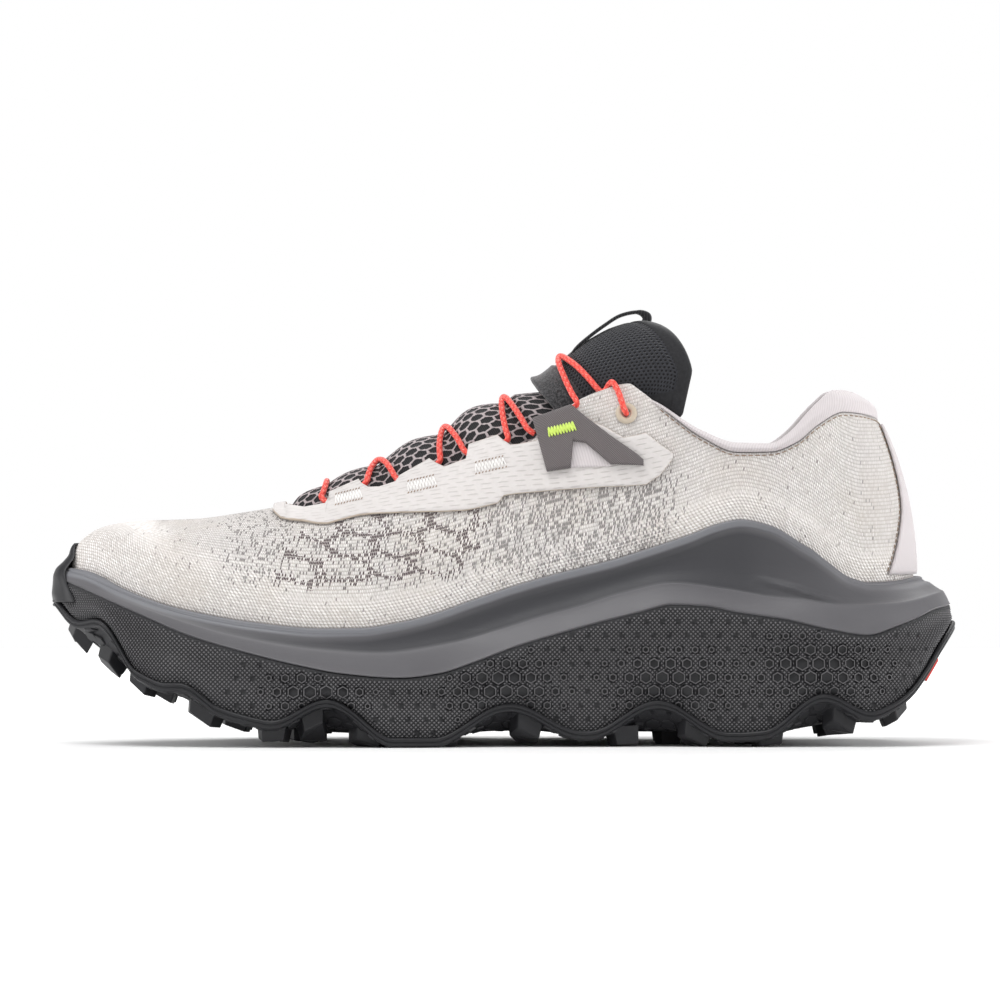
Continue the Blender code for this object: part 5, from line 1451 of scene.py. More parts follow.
toe_zone *= 1 - np.clip((way_up - 14 * MM) / (10 * MM), 0, 1)
coarse = np.maximum(low_zone, toe_zone)
cap = np.clip((TOE_CENTRE_X + 4 * MM - x) / (10 * MM), 0, 1)
cap *= np.clip((way_up - 16 * MM) / (8 * MM), 0, 1)

grid = np.concatenate([outer, inner], 1)
way_marks = mark_of(knit_run[:, None], way_up, coarse)
back_marks = mark_of(knit_run[:, None], inner[..., 2], 0.0)
marks = {
    "knit": np.concatenate([way_marks, back_marks], 1),
    "tone": np.concatenate([mark_of(rings, grey, cap), np.zeros(inner.shape)], 1),
}
keep = np.ones((len(knit_ring), grid.shape[1]), bool)
for i, st in enumerate(knit_ring):
    if not (st.is_open() and knit_ring[(i + 1) % len(knit_ring)].is_open()):
        keep[i, OUTER_ROWS - 1] = False
upper = skin("upper_knit", grid, around=True, closed=True, keep=keep, marks=marks)
bm = bmesh.new()
bm.from_mesh(upper.data)
crown = [
    v for v in bm.verts
    if -141 * MM < v.co.x < -70 * MM and v.co.z > 44 * MM
    and abs(v.co.y - spine_y(v.co.x)) < 26 * MM and not v.is_boundary
]
axes = {"use_axis_x": True, "use_axis_y": True, "use_axis_z": True}
for _ in range(24):
    bmesh.ops.smooth_vert(bm, verts=crown, factor=0.5, **axes)
bm.to_mesh(upper.data)
bm.free()
print("crown smoothed over", len(crown), "points")
print("upper spans", [round(float(c) / MM) for c in (x.min(), x.max(), z.max())], "mm")

# %% [markdown]
# ## Knit finish
# A knit is a brick pattern of small slanted stitches. Each stitch is a bright ellipse
# with a shaded gap round it, a little lighter or darker than its neighbours, and the yarn
# gives it sheen. Rings of dark yarn show as single stitches near the toe. The nodes
# build two such brick patterns, a fine one and a coarse one along the midsole.

# %% Knit finish
knit = Finish("off-white knit", (0.7, 0.67, 0.63), 0.8)
knit.fill(knit.shader, {"Sheen Weight": 0.25, "Sheen Roughness": 0.4})
along, up, coarse_share = knit.parts(knit.mark("knit"))
ring_share, grey_share, cap_share = knit.parts(knit.mark("tone"))


def stitches(finish, u, v, wide, high, slant):
    """Height of a stitch from 0 to 1, and a random number of its own."""
    row_at = finish.over(v, high)
    row = finish.sum("FLOOR", row_at)
    off_v = finish.minus(finish.minus(row_at, row), 0.5)
    push = finish.times(finish.sum("FLOORED_MODULO", row, 2.0), 0.5)
    column_at = finish.plus(finish.over(u, wide), push)
    column_at = finish.sum("MULTIPLY_ADD", off_v, slant, column_at)
    column = finish.sum("FLOOR", column_at)
    off_u = finish.minus(finish.minus(column_at, column), 0.5)
    square = finish.plus(
        finish.times(finish.times(off_u, off_u), 4.2),
        finish.times(finish.times(off_v, off_v), 3.0),
    )
    height = finish.sum("MAXIMUM", finish.minus(1.0, square), 0.0)
    own = finish.add("TexWhiteNoise", {"Vector": finish.join(column, row, slant)})
    return height, own


spot = knit.place()
drift = knit.noise(spot, 130.0, 2.0)
wobble = knit.times(knit.minus(drift, 0.5), 1.6 * MM)
fine, fine_own = stitches(knit, knit.plus(along, wobble), up, 0.54 * MM, 1.25 * MM, 0.35)
bold, bold_own = stitches(knit, knit.plus(along, wobble), up, 1.2 * MM, 1.05 * MM, -0.55)
height = knit.add("Mix", {0: coarse_share, 2: fine, 3: bold})
own = knit.add("Mix", {0: coarse_share, 2: fine_own, 3: bold_own})
soft = knit.noise(spot, 850.0, 3.0)
height = knit.add("Mix", {0: cap_share, 2: height, 3: soft})
cloud = knit.noise(spot, 28.0, 3.0, 0.55)
stretched = knit.add("Mapping", {"Vector": spot, "Scale": (520.0, 520.0, 150.0)})
streak = knit.noise(stretched, 1.0, 3.0, 0.6)

gap = knit.blend(knit.range(cloud, 0.35, 0.7), (0.45, 0.415, 0.40), (0.55, 0.50, 0.45))
yarn = knit.blend(own, (0.71, 0.672, 0.652), (0.91, 0.88, 0.862))
colour = knit.blend(knit.range(height, 0.05, 0.65), gap, yarn)
beige = knit.range(knit.noise(spot, 42.0, 3.0, 0.6), 0.5, 0.72, 0.0, 0.28)
colour = knit.blend(beige, colour, (0.57, 0.50, 0.44))
shade = knit.times(grey_share, knit.range(streak, 0.42, 0.68, 0.0, 0.4))
colour = knit.blend(shade, colour, (0.30, 0.29, 0.285))


def dark_stitches(share, odds, colour, tone):
    """Turns that share of the fine stitches dark, each one whole."""
    picked = knit.range(knit.minus(knit.times(share, odds), fine_own), -0.02, 0.02)
    return knit.blend(knit.times(picked, knit.range(fine, 0.12, 0.5)), colour, tone)


colour = dark_stitches(grey_share, 0.42, colour, (0.22, 0.205, 0.20))
colour = dark_stitches(ring_share, 0.78, colour, (0.060, 0.032, 0.038))
knit.paint(colour, knit.range(height, 0.0, 1.0, 0.9, 0.62))
knit.relief(knit.sum("MULTIPLY_ADD", soft, 0.2, height), 0.42 * MM, 0.75)
wear(upper, knit, "knit", "upper")

# %% The lining inside the wall
mesh = upper.data
mesh.materials.append(lining_dark.material)
centres = np.empty(len(mesh.polygons) * 3)
normals = np.empty(len(mesh.polygons) * 3)
mesh.polygons.foreach_get("center", centres)
mesh.polygons.foreach_get("normal", normals)
centres, normals = centres.reshape(-1, 3), normals.reshape(-1, 3)
spine_x = np.linspace(LAST_TOE_X, LAST_HEEL_X, 60)
spine = np.column_stack([
    np.clip(centres[:, 0], TOE_CENTRE_X, HEEL_CENTRE_X),
    np.interp(centres[:, 0], spine_x, [float(spine_y(x)) for x in spine_x]),
    np.full(len(centres), 48 * MM),
])
facing_in = ((centres - spine) * normals).sum(1) < 0
mesh.polygons.foreach_set("material_index", facing_in.astype(np.int32))
print("faces of the lining:", int(facing_in.sum()))

# %% [markdown]
# ## Padded collar
# The cuff is foam wrapped in a smooth pinkish textile. It rises over the wall's edge and
# hangs down inside, thickest round the heel. Its fine ribs run across the roll.

# %% Collar cuff
CUFF_DEPTH = 26 * MM
CUFF_GAP = 0.25 * MM
# The collar's cuff: how far it rises over the upper's edge as a share of the collar's
# height, how thick its padding is as a share of half the collar's width, and its lean.
CUFF = table(
    "along rise pad lean",
    (0.66, 0.013, 0.107, 0.2), (0.7, 0.012, 0.147, 0.2), (0.75, 0.022, 0.173, 0.1),
    (0.79, 0.029, 0.187, 0.1), (0.83, 0.026, 0.2, 0.2), (0.85, 0.04, 0.22, 0.3),
    (0.875, 0.064, 0.247, 0.4), (0.91, 0.066, 0.267, 0.6), (1, 0.079, 0.28, 0.75),
)
CUFF_FRONT_X = LAST_TOE_X + 0.681 * LAST_LENGTH


def cuff_profile(st):
    """The padded collar: over the upper's edge and down inside its wall."""
    edge, level = st.top_edge()
    rise = read(CUFF, "rise", st.along_last) * COLLAR_HEIGHT
    pad = read(CUFF, "pad", st.along_last) * COLLAR_WIDTH / 2
    lean = read(CUFF, "lean", st.along_last)
    inside = UPPER_WALL + CUFF_GAP

    def inward(z, depth):
        step = 0.5 * MM
        slope = (st.wall_at(z) - st.wall_at(z - step)) / step
        long = math.hypot(1, slope)
        return float(st.wall_at(z)) - depth / long, z + depth * slope / long

    crown = [(edge + 0.1 * MM, level + CUFF_GAP)]
    for out, up in ((0.3, 0.5), (0.0, 0.85), (-0.35, 1.0), (-0.75, 0.9), (-1.0, 0.45)):
        crown.append((edge + out * pad - lean * up * rise, level + up * (rise + CUFF_GAP)))
    for drop, thick in ((0.2, 1.0), (0.45, 0.95), (0.75, 0.75), (1.0, 0.4)):
        crown.append(inward(level - CUFF_DEPTH * drop, inside + pad * thick))
    crown = through(crown, 5)
    low_levels = (level - CUFF_DEPTH, level - CUFF_DEPTH * 0.45, level - 0.5 * MM)
    back = [inward(z, inside) for z in low_levels]
    back.append((min(back[-1][0], edge - inside), level + CUFF_GAP))
    return np.array([tuple(p) for p in crown] + back)


def cuff_stations():
    """Stations from the collar's front on the lateral side, round the heel, to the other."""
    side_x = np.linspace(CUFF_FRONT_X, HEEL_CENTRE_X, 40)
    turns = np.linspace(math.pi / 2, -math.pi / 2, 90)[1:-1]
    ring = [side_station(x, 1) for x in side_x]
    ring += [heel_station(a) for a in turns]
    return ring + [side_station(x, -1) for x in side_x[::-1]]


collar = cuff_stations()
grid = sweep(collar, [cuff_profile(st) for st in collar])
ends = np.minimum(np.arange(len(grid)), np.arange(len(grid))[::-1])
for i in np.flatnonzero(ends < 6):
    centre = grid[i].mean(0)
    shrink = math.sin((ends[i] + 0.6) / 6.6 * math.pi / 2)
    grid[i] = centre + (grid[i] - centre) * (0.55 + 0.45 * shrink)
collar_run = way_along(grid[:, 10])
steps = np.linalg.norm(np.diff(grid, axis=1), axis=2)
across = np.concatenate([np.zeros((len(grid), 1)), np.cumsum(steps, 1)], 1)
marks = {"cuff": mark_of(collar_run[:, None], across, 0.0)}
cuff = skin("collar_cuff_pad", grid, closed=True, caps=True, marks=marks)
print("collar runs", round(collar_run[-1] / MM), "mm round the ankle")

# %% Collar finish
blush = Finish("pinkish smooth textile", (0.72, 0.655, 0.645), 0.72)
blush.fill(blush.shader, {"Sheen Weight": 0.3, "Sheen Roughness": 0.35})
along, across, _ = blush.parts(blush.mark("cuff"))
rib = blush.wave(blush.sum("MULTIPLY_ADD", across, 0.25, along), 0.95 * MM)
fuzz = blush.noise(blush.place(), 700.0, 3.0)
blush.paint(blush.blend(blush.times(rib, 0.8), (0.54, 0.495, 0.502), (0.63, 0.588, 0.596)))
blush.relief(blush.sum("MULTIPLY_ADD", fuzz, 0.3, rib), 0.12 * MM, 0.5)
wear(cuff, blush, "cuff_textile", "collar_cuff", pad=0.85)

# %% [markdown]
# ## Overlays
# Film and webbing lie on the knit. They follow the same wall, lifted by fractions of a
# millimetre, so a helper draws a patch between a lower and an upper line, gives it a
# thickness and rounds its edges.

# %% Patches on the wall
OVERLAY_LIFT = 0.55 * MM
OVERLAY_THICKNESS = 0.9 * MM
WEBBING_LIFT = 0.85 * MM
WEBBING_THICKNESS = 1.1 * MM


def slab(name, grid, thickness, marks, edge=0.3 * MM):
    """A closed sheet from a grid of points: its face, its back and rounded edges."""
    du, dv = np.gradient(grid, axis=0), np.gradient(grid, axis=1)
    square = np.cross(du, dv)
    square /= np.maximum(np.linalg.norm(square, axis=2), 1e-12)[..., None]
    out = np.sign(grid - np.array([grid[..., 0].mean(), SPINE_SHIFT, 60 * MM]))
    if (square[..., :2] * out[..., :2]).sum() < 0:
        square = -square
    face = grid + square * thickness
    edge = min(edge, thickness * 0.6)
    on_edge = np.ones(grid.shape[:2], bool)
    on_edge[1:-1, 1:-1] = False
    face[on_edge] -= square[on_edge] * edge
    count = on_edge.size
    index = np.arange(count).reshape(on_edge.shape)
    quads = np.stack([index[:-1, :-1], index[1:, :-1], index[1:, 1:], index[:-1, 1:]], -1)
    quads = quads.reshape(-1, 4)
    rim = np.concatenate([index[:, 0], index[-1, 1:], index[-2::-1, -1], index[0, -2:0:-1]])
    sides = np.stack([rim, np.roll(rim, -1), np.roll(rim, -1) + count, rim + count], -1)
    faces = (quads + count).tolist() + quads[:, ::-1].tolist() + sides.tolist()
    points = np.concatenate([grid.reshape(-1, 3), face.reshape(-1, 3)])
    marks = {key: np.tile(v.reshape(-1, 3), (2, 1)) for key, v in marks.items()}
    length = np.linalg.norm(np.diff(grid, axis=0), axis=2).sum(0).max()
    breadth = np.linalg.norm(np.diff(grid, axis=1), axis=2).sum(1).max()
    print(f"{name} laid flat: {length / MM:.0f} x {breadth / MM:.0f} x {thickness / MM:.1f} mm")
    return finish_mesh(name, points, faces, marks=marks)


print("overlays lie", OVERLAY_LIFT / MM, "mm off the knit")

# %% Eyestay outline
# The overlays on each side of the throat: the heights of their lower and upper lines, as
# shares of the collar's height.
EYESTAY = table(
    "along low high",
    (0.24, 0.699, 0.717), (0.25, 0.677, 0.72), (0.261, 0.672, 0.712),
    (0.278, 0.668, 0.706), (0.294, 0.661, 0.714), (0.304, 0.661, 0.719),
    (0.306, 0.661, 0.754), (0.342, 0.686, 0.794), (0.346, 0.687, 0.781), (0.355, 0.69, 0.768),
    (0.367, 0.692, 0.769), (0.386, 0.694, 0.785), (0.391, 0.695, 0.805),
    (0.426, 0.698, 0.856), (0.434, 0.698, 0.843), (0.444, 0.699, 0.831),
    (0.47, 0.703, 0.856), (0.473, 0.704, 0.9), (0.507, 0.725, 0.929), (0.514, 0.747, 0.913),
    (0.523, 0.751, 0.899), (0.531, 0.754, 0.901), (0.553, 0.759, 0.913),
    (0.572, 0.764, 0.945), (0.593, 0.768, 0.991), (0.632, 0.775, 0.958),
    (0.656, 0.777, 0.923), (0.682, 0.782, 0.938), (0.699, 0.811, 0.903),
    (0.714, 0.86, 0.876),
)


def dense_rows(tab, names, step):
    """A table's rows at fine steps, straight between its rows."""
    fine = np.arange(tab["along"][0], tab["along"][-1], step)
    fine = fine[np.abs(fine[:, None] - tab["along"][None, :]).min(1) > 0.3 * step]
    along = np.sort(np.concatenate([tab["along"], fine]))
    return along, [np.interp(along, tab["along"], tab[name]) for name in names]


def over_wall(tab, side, lift, upright, step=0.0016, crown=False):
    """A grid over the wall between a table's lower and upper lines, with marks in metres."""
    along, (low, high) = dense_rows(tab, ("low", "high"), step)
    grid, marks = [], []
    for a, lo, hi in zip(along, low, high):
        st = side_station(at_share(a, 0)[0], side)
        levels = np.linspace(lo, hi, upright) * COLLAR_HEIGHT
        points = st.on_wall(levels, lift)
        if crown and not st.is_open():
            top = st.top_edge()[1]
            middle = np.array([st.start[0], st.start[1], top + lift])
            share = np.clip((levels - levels[-1]) / (2.5 * MM) + 1, 0, 1)[:, None] ** 2
            points = points * (1 - share) + middle * share
        grid.append(points)
        rim_off = np.minimum(levels - levels[0], levels[-1] - levels)
        up = levels[0] + way_along(points)
        marks.append(np.stack([points[:, 0], up, rim_off], -1))
    return np.array(grid), np.array(marks)


SIDES = ((-1, "medial"), (1, "lateral"))
stays = []
for side, name in SIDES:
    grid, mark = over_wall(EYESTAY, side, OVERLAY_LIFT, 26, crown=True)
    stays.append(slab("eyestay_" + name, grid, OVERLAY_THICKNESS, {"film": mark}))

# %% [markdown]
# ## Film finish
# The film is off-white with embossed grey dashes in wavy rows, and its cut edge shows tan.
# The dashes are drawn by nodes: rows that bend with a slow wave, each chopped into dashes of
# its own length.

# %% Film finish
film = Finish("off-white film", (0.76, 0.735, 0.705), 0.55)
film.fill(film.shader, {"Sheen Weight": 0.1})
x_at, z_at, off = film.parts(film.mark("film"))
bend = film.times(film.sum("SINE", film.times(x_at, 62.0)), 1.2 * MM)
tilt = film.sum("MULTIPLY_ADD", x_at, -0.13, z_at)
row_at = film.over(film.plus(tilt, bend), 1.75 * MM)
row = film.sum("FLOOR", row_at)
off_row = film.sum("ABSOLUTE", film.minus(film.sum("FRACT", row_at), 0.5))
start = film.add("TexWhiteNoise", {"Vector": film.join(row, 3.0, 7.0)})
piece_at = film.sum("FRACT", film.plus(film.over(x_at, 5.6 * MM), start))
dash = film.times(film.range(off_row, 0.16, 0.08), film.range(piece_at, 0.74, 0.6))
dash = film.times(dash, film.range(piece_at, 0.02, 0.2))
skin_noise = film.noise(film.place(), 900.0, 2.0)
base = film.blend(skin_noise, (0.57, 0.537, 0.522), (0.645, 0.615, 0.602))
base = film.blend(film.times(dash, 0.48), base, (0.42, 0.385, 0.375))
base = film.blend(film.range(off, 0.16 * MM, 0.06 * MM, 0.0, 0.65), base, (0.42, 0.32, 0.21))
film.paint(base, film.range(dash, 0.0, 1.0, 0.6, 0.42))
film.relief(film.sum("MULTIPLY_ADD", dash, -1.0, film.times(skin_noise, 0.25)), 0.22 * MM, 0.6)
wear(stays[0], film, "eyestay_film", "eyestay")
wear(stays[1], film, "eyestay_film")

# %% [markdown]
# ## Webbing
# A forked tape of grey twill pulls the wall towards the laces. Its outline is a table
# again, laid over the film. The twill is two waves that cross, since its threads are too
# fine to model one by one.

# %% Webbing
WEBBING = table(
    "along low high",
    (0.549, 0.966, 0.974), (0.565, 0.815, 0.989), (0.593, 0.827, 1.016),
    (0.596, 0.907, 1.013), (0.611, 0.902, 0.981), (0.64, 0.84, 0.926), (0.671, 0.838, 0.872),
    (0.679, 0.837, 0.854),
)
webbing_lift = OVERLAY_LIFT + OVERLAY_THICKNESS + WEBBING_LIFT
twill = Finish("grey twill webbing", (0.105, 0.092, 0.095), 0.7)
twill.fill(twill.shader, {"Sheen Weight": 0.2, "Sheen Roughness": 0.4})
x_at, z_at, _ = twill.parts(twill.mark("film"))
ribs = twill.wave(twill.plus(x_at, z_at), 0.62 * MM)
knots = twill.wave(twill.minus(x_at, twill.times(z_at, 1.35)), 0.8 * MM)
cloth = twill.times(ribs, knots)
twill.paint(twill.blend(cloth, (0.068, 0.057, 0.058), (0.28, 0.25, 0.252)))
twill.relief(cloth, 0.2 * MM, 0.7)
for side, name in SIDES:
    grid, mark = over_wall(WEBBING, side, webbing_lift, 16, step=0.0012)
    piece = slab("webbing_" + name + "_strap", grid, WEBBING_THICKNESS, marks={"film": mark})
    wear(piece, twill, "webbing", "webbing_" + name)

# %% [markdown]
# ## Heel strip
# A pinkish strip runs up the heel and narrows on its way. Its spread is given in degrees
# round the heel, so it is the same on both sides, and it shares the collar's finish.

# %% Heel strip
# The strip up the heel: places along it as shares of the way from the midsole's rim up to the
# collar, and half its spread in degrees.
HEEL_STRIP = table(
    "along half",
    (0.013, 41.5), (0.127, 36), (0.283, 29), (0.437, 22.5), (0.601, 20), (0.767, 19.5),
    (0.927, 20),
)
rows = np.linspace(HEEL_STRIP["along"][0], HEEL_STRIP["along"][-1], 40)
half = read(HEEL_STRIP, "half", rows)
rim = heel_station(0.0).rim
columns = []
for share in np.linspace(-1, 1, 61):
    column = []
    for height, spread in zip(rows, half):
        st = heel_station(math.radians(spread) * share)
        column.append(st.on_wall(rim + height * (COLLAR_HEIGHT - rim), OVERLAY_LIFT)[0])
    columns.append(column)
columns = np.array(columns)
run = np.linspace(-30, 30, 61)[:, None] * MM
marks = {"cuff": mark_of(run, columns[..., 2], 0.0)}
strip = slab("heel_strip_textile", columns, OVERLAY_THICKNESS, marks=marks)
wear(strip, blush, "heel_textile", "heel_strip")

# %% [markdown]
# ## Tongue
# The tongue's lower part is a stretchy gusset: black cells with six sides on a pinkish
# net, and it swells between the laces that hold it down. Inflating it with cloth would
# blur the cells, so the swelling and the raised net are added to its grid directly.

# %% The tongue's line
# The tongue's centre line in shares of the collar's height, half its width and how deep
# it wraps in shares of half the collar's width, and its sections' tilt in degrees.
TONGUE = table(
    "along height half drop tilt",
    (0.234, 0.67, 0.333, 0.4, 14), (0.252, 0.688, 0.4, 0.5, 30),
    (0.264, 0.721, 0.40, 0.567, 38), (0.274, 0.746, 0.42, 0.583, 32),
    (0.294, 0.772, 0.517, 0.633, 24), (0.321, 0.799, 0.583, 0.667, 21),
    (0.353, 0.83, 0.6, 0.7, 22), (0.378, 0.858, 0.6, 0.733, 25),
    (0.407, 0.9, 0.6, 0.767, 27), (0.443, 0.938, 0.6, 0.8, 29),
    (0.478, 0.998, 0.6, 0.833, 31), (0.521, 1.038, 0.617, 0.867, 34),
    (0.547, 1.077, 0.627, 0.867, 38), (0.572, 1.124, 0.633, 0.867, 40),
    (0.601, 1.19, 0.647, 0.867, 41), (0.633, 1.241, 0.68, 0.867, 42),
    (0.661, 1.272, 0.72, 0.867, 42), (0.682, 1.283, 0.747, 0.867, 41),
)
TONGUE_TURN = 84
PAD_START_X = LAST_TOE_X + 0.565 * LAST_LENGTH
GUSSET_THICKNESS = 1.6 * MM
PAD_THICKNESS = 5 * MM
LACE_LINES = (0.255, 0.303, 0.364, 0.443, 0.513, 0.58)


class TongueLine:
    """The tongue's centre line in the spine's plane, with its section at each place."""

    def __init__(self):
        x, z = at_share(TONGUE["along"], TONGUE["height"])
        self.points = through(np.column_stack([x, z]), 8)
        self.run = way_along(self.points)
        self.length = self.run[-1]

    def share(self, x):
        """The distance along the line at which it passes x."""
        return float(np.interp(x, self.points[:, 0], self.run))

    def section(self, s, turns, depth):
        """Points across the tongue, depth under its surface. Turns are in degrees."""
        x, z = (np.interp(s, self.run, self.points[:, k]) for k in (0, 1))
        at = along_last(x)
        tilt = math.radians(read(TONGUE, "tilt", at))
        half = read(TONGUE, "half", at) * COLLAR_WIDTH / 2 - depth
        drop = read(TONGUE, "drop", at) * COLLAR_WIDTH / 2 - depth
        turn = np.radians(turns)
        down = depth + drop * (1 - np.cos(turn))
        y = spine_y(x) + half * np.sin(turn)
        return np.column_stack([x + math.sin(tilt) * down, y, z - math.cos(tilt) * down])


tongue_line = TongueLine()
pad_start = tongue_line.share(PAD_START_X)
print("tongue is", round(tongue_line.length / MM), "mm long, pad starts at", round(pad_start / MM))

# %% Gusset
lace_at = np.array([tongue_line.share(at_share(a, 0)[0]) for a in LACE_LINES])


def swell(s, turns):
    """How far the gusset swells between the laces."""
    k = int(np.clip(np.searchsorted(lace_at, s) - 1, 0, len(lace_at) - 2))
    share = np.clip((s - lace_at[k]) / (lace_at[k + 1] - lace_at[k]), 0, 1)
    wave = math.sin(math.pi * share) ** 0.8
    size = (0.7, 1.5, 2.0, 2.0, 1.5)[k] if s > lace_at[0] else 0.0
    return size * MM * wave * np.cos(np.radians(turns) * 0.8) - 0.25 * MM * (1 - wave)


NET_PITCH = 4.9 * MM
NET_SQUASH = 1 / 0.62
turns = np.linspace(-TONGUE_TURN, TONGUE_TURN, 111)
tops, lows, net = [], [], []
fade = 12 * MM
for s in np.linspace(0, tongue_line.length - 8 * MM, 250):
    under = float(np.clip((s - pad_start + fade) / fade, 0, 1)) * (PAD_THICKNESS + 0.6 * MM)
    base = tongue_line.section(s, turns, under)
    steps = np.linalg.norm(np.diff(base, axis=0), axis=1)
    across = np.concatenate([[0], np.cumsum(steps)])
    across -= across[-1] / 2
    cell = honeycomb(np.full(111, s + 1.0), across * NET_SQUASH + 1.0, NET_PITCH)
    ridge = np.clip((cell - 0.36) / 0.07, 0, 1) * 0.32 * MM
    free = 1 - np.clip((s - pad_start + fade) / fade, 0, 1)
    depth = under - swell(s, turns) * free - ridge * free
    tops.append(tongue_line.section(s, turns, depth))
    lows.append(tongue_line.section(s, turns, under + GUSSET_THICKNESS))
    net.append(np.stack([np.full(111, s + 1.0), across * NET_SQUASH + 1.0, cell], -1))
grid = np.concatenate([np.array(tops), np.array(lows)[:, ::-1]], 1)
net = np.array(net)
marks = {"net": np.concatenate([net, net[:, ::-1] * (1, 1, 0)], 1)}
gusset = skin("tongue_gusset", grid, closed=True, caps=True, marks=marks)
print("gusset grid:", grid.shape)

# %% Gusset finish
def comb(finish, u, v, pitch):
    """The six-sided cells again, as nodes: 0 in a cell's middle and 0.5 at its edge."""
    p = finish.join(finish.over(u, pitch), finish.over(v, pitch), 0.0)
    repeat, half = (1.0, 3**0.5, 1.0), (0.5, 3**0.5 / 2, 0.0)

    def vector(operation, *values, out=0):
        return finish.add("VectorMath", dict(enumerate(values)), out=out, operation=operation)

    a = vector("SUBTRACT", vector("MODULO", p, repeat), half)
    b = vector("SUBTRACT", vector("MODULO", vector("ADD", p, half), repeat), half)
    nearer = finish.sum("LESS_THAN", vector("LENGTH", a, out=1), vector("LENGTH", b, out=1))
    near = vector("ABSOLUTE", finish.add("Mix", {0: nearer, 4: b, 5: a}, out=1, data_type="VECTOR"))
    x, y, _ = finish.parts(near)
    slope = finish.sum("MULTIPLY_ADD", y, 3**0.5 / 2, finish.times(x, 0.5))
    return finish.sum("MAXIMUM", x, slope)


celled = Finish("black cells on a pinkish net", (0.02, 0.02, 0.02), 0.8)
celled.fill(celled.shader, {"Sheen Weight": 0.2, "Sheen Roughness": 0.4})
celled.fill(celled.shader, {"Specular IOR Level": 0.25})
u, v, _ = celled.parts(celled.mark("net"))
cell = comb(celled, u, v, NET_PITCH)
fray = celled.noise(celled.place(), 900.0, 3.0)
cell = celled.sum("MULTIPLY_ADD", celled.minus(fray, 0.5), 0.12, cell)
line = celled.range(cell, 0.395, 0.43)
rows = celled.wave(u, 0.62 * MM)
black = celled.blend(rows, (0.008, 0.008, 0.009), (0.028, 0.027, 0.029))
pale = celled.blend(fray, (0.30, 0.255, 0.262), (0.52, 0.455, 0.46))
celled.paint(celled.blend(line, black, pale))
celled.relief(celled.sum("MULTIPLY_ADD", rows, 0.5, celled.times(line, 0.6)), 0.2 * MM, 0.6)
wear(gusset, celled, "tongue_mesh", "tongue")

# %% [markdown]
# ## Tongue pad
# The pad is foam in spacer mesh, with a bound edge round its top. It is drawn as a closed
# cushion with full round edges and a crown, and a groove where the binding is sewn on.

# %% Tongue pad
PAD_REACH = TONGUE_TURN + 26


def pad_point(s, turn, depth):
    """A point of the pad. Past the tongue's side edge it hangs down inside the collar."""
    at_end = float(np.clip((s - tongue_line.length + 24 * MM) / (24 * MM), 0, 1))
    at_end = at_end * at_end * (3 - 2 * at_end)
    inside = min(abs(turn), TONGUE_TURN)
    x, y, z = tongue_line.section(s, np.array([math.copysign(inside, turn)]), depth)[0]
    hang = max(0.0, abs(turn) - TONGUE_TURN) / 26 * (5 + 8 * at_end) * MM
    bulge = 4.6 * MM * at_end * math.sin(math.pi * inside / TONGUE_TURN) ** 0.8
    return np.array([x + bulge - 0.22 * hang * at_end, y, z - hang + 0.25 * bulge])


def pad_loop(s):
    """One closed section of the pad, rounded at both sides."""
    start_off = s - pad_start
    end_off = tongue_line.length - s
    round_end = math.sqrt(max(0.0, 1 - (1 - min(end_off / (3.2 * MM), 1)) ** 2))
    round_start = math.sqrt(max(0.0, 1 - (1 - min(start_off / (3.0 * MM), 1)) ** 2))
    full = max(0.06, min(round_end, round_start))
    top_turns = np.linspace(-PAD_REACH, PAD_REACH, 71)
    bend = np.linspace(0, math.pi, 9)[1:-1]
    side_off = PAD_REACH - np.abs(top_turns)
    groove_end = math.exp(-((end_off - 5.2 * MM) / (0.55 * MM)) ** 2)
    groove_side = np.exp(-((side_off - 13) / 1.6) ** 2)
    crown = 0.9 * MM * np.cos(np.radians(top_turns) * 0.9)
    crown = crown * min(1, end_off / (12 * MM)) * min(1, start_off / (10 * MM))
    dent = 0.45 * MM * np.maximum(groove_end, groove_side * min(1, start_off / (6 * MM)))
    middle, half = PAD_THICKNESS / 2, PAD_THICKNESS / 2 * full
    loop = [pad_point(s, t, middle - half - c + d) for t, c, d in zip(top_turns, crown, dent)]
    for a in bend:
        loop.append(pad_point(s, PAD_REACH + 5 * full * math.sin(a), middle - half * math.cos(a)))
    for t in top_turns[::-1]:
        loop.append(pad_point(s, t, middle + half))
    for a in bend:
        loop.append(pad_point(s, -PAD_REACH - 5 * full * math.sin(a), middle + half * math.cos(a)))
    edge = np.concatenate([
        np.minimum(end_off, side_off * 0.34 * MM), np.zeros(7), np.full(71, 1 * MM), np.zeros(7),
    ])
    return np.array(loop), edge


stops = np.concatenate([
    pad_start + 3 * MM * (1 - np.cos(np.linspace(0.12, math.pi / 2, 7))),
    np.linspace(pad_start + 3.4 * MM, tongue_line.length - 3.6 * MM, 58),
    tongue_line.length - 3.2 * MM * (1 - np.sin(np.linspace(0.05, math.pi / 2 - 0.1, 9))),
])
loops = [pad_loop(s) for s in stops]
grid = np.array([loop for loop, _ in loops])
edge = np.array([e for _, e in loops])
steps = np.linalg.norm(np.diff(grid, axis=1), axis=2)
around = np.concatenate([np.zeros((len(grid), 1)), np.cumsum(steps, 1)], 1)
around -= around[:, 35:36] - 1.0
marks = {"net": mark_of(stops[:, None] + 1.0, around, edge)}
pad = skin("tongue_cushion", grid, closed=True, caps=True, marks=marks)
print("sections of the pad:", len(stops))

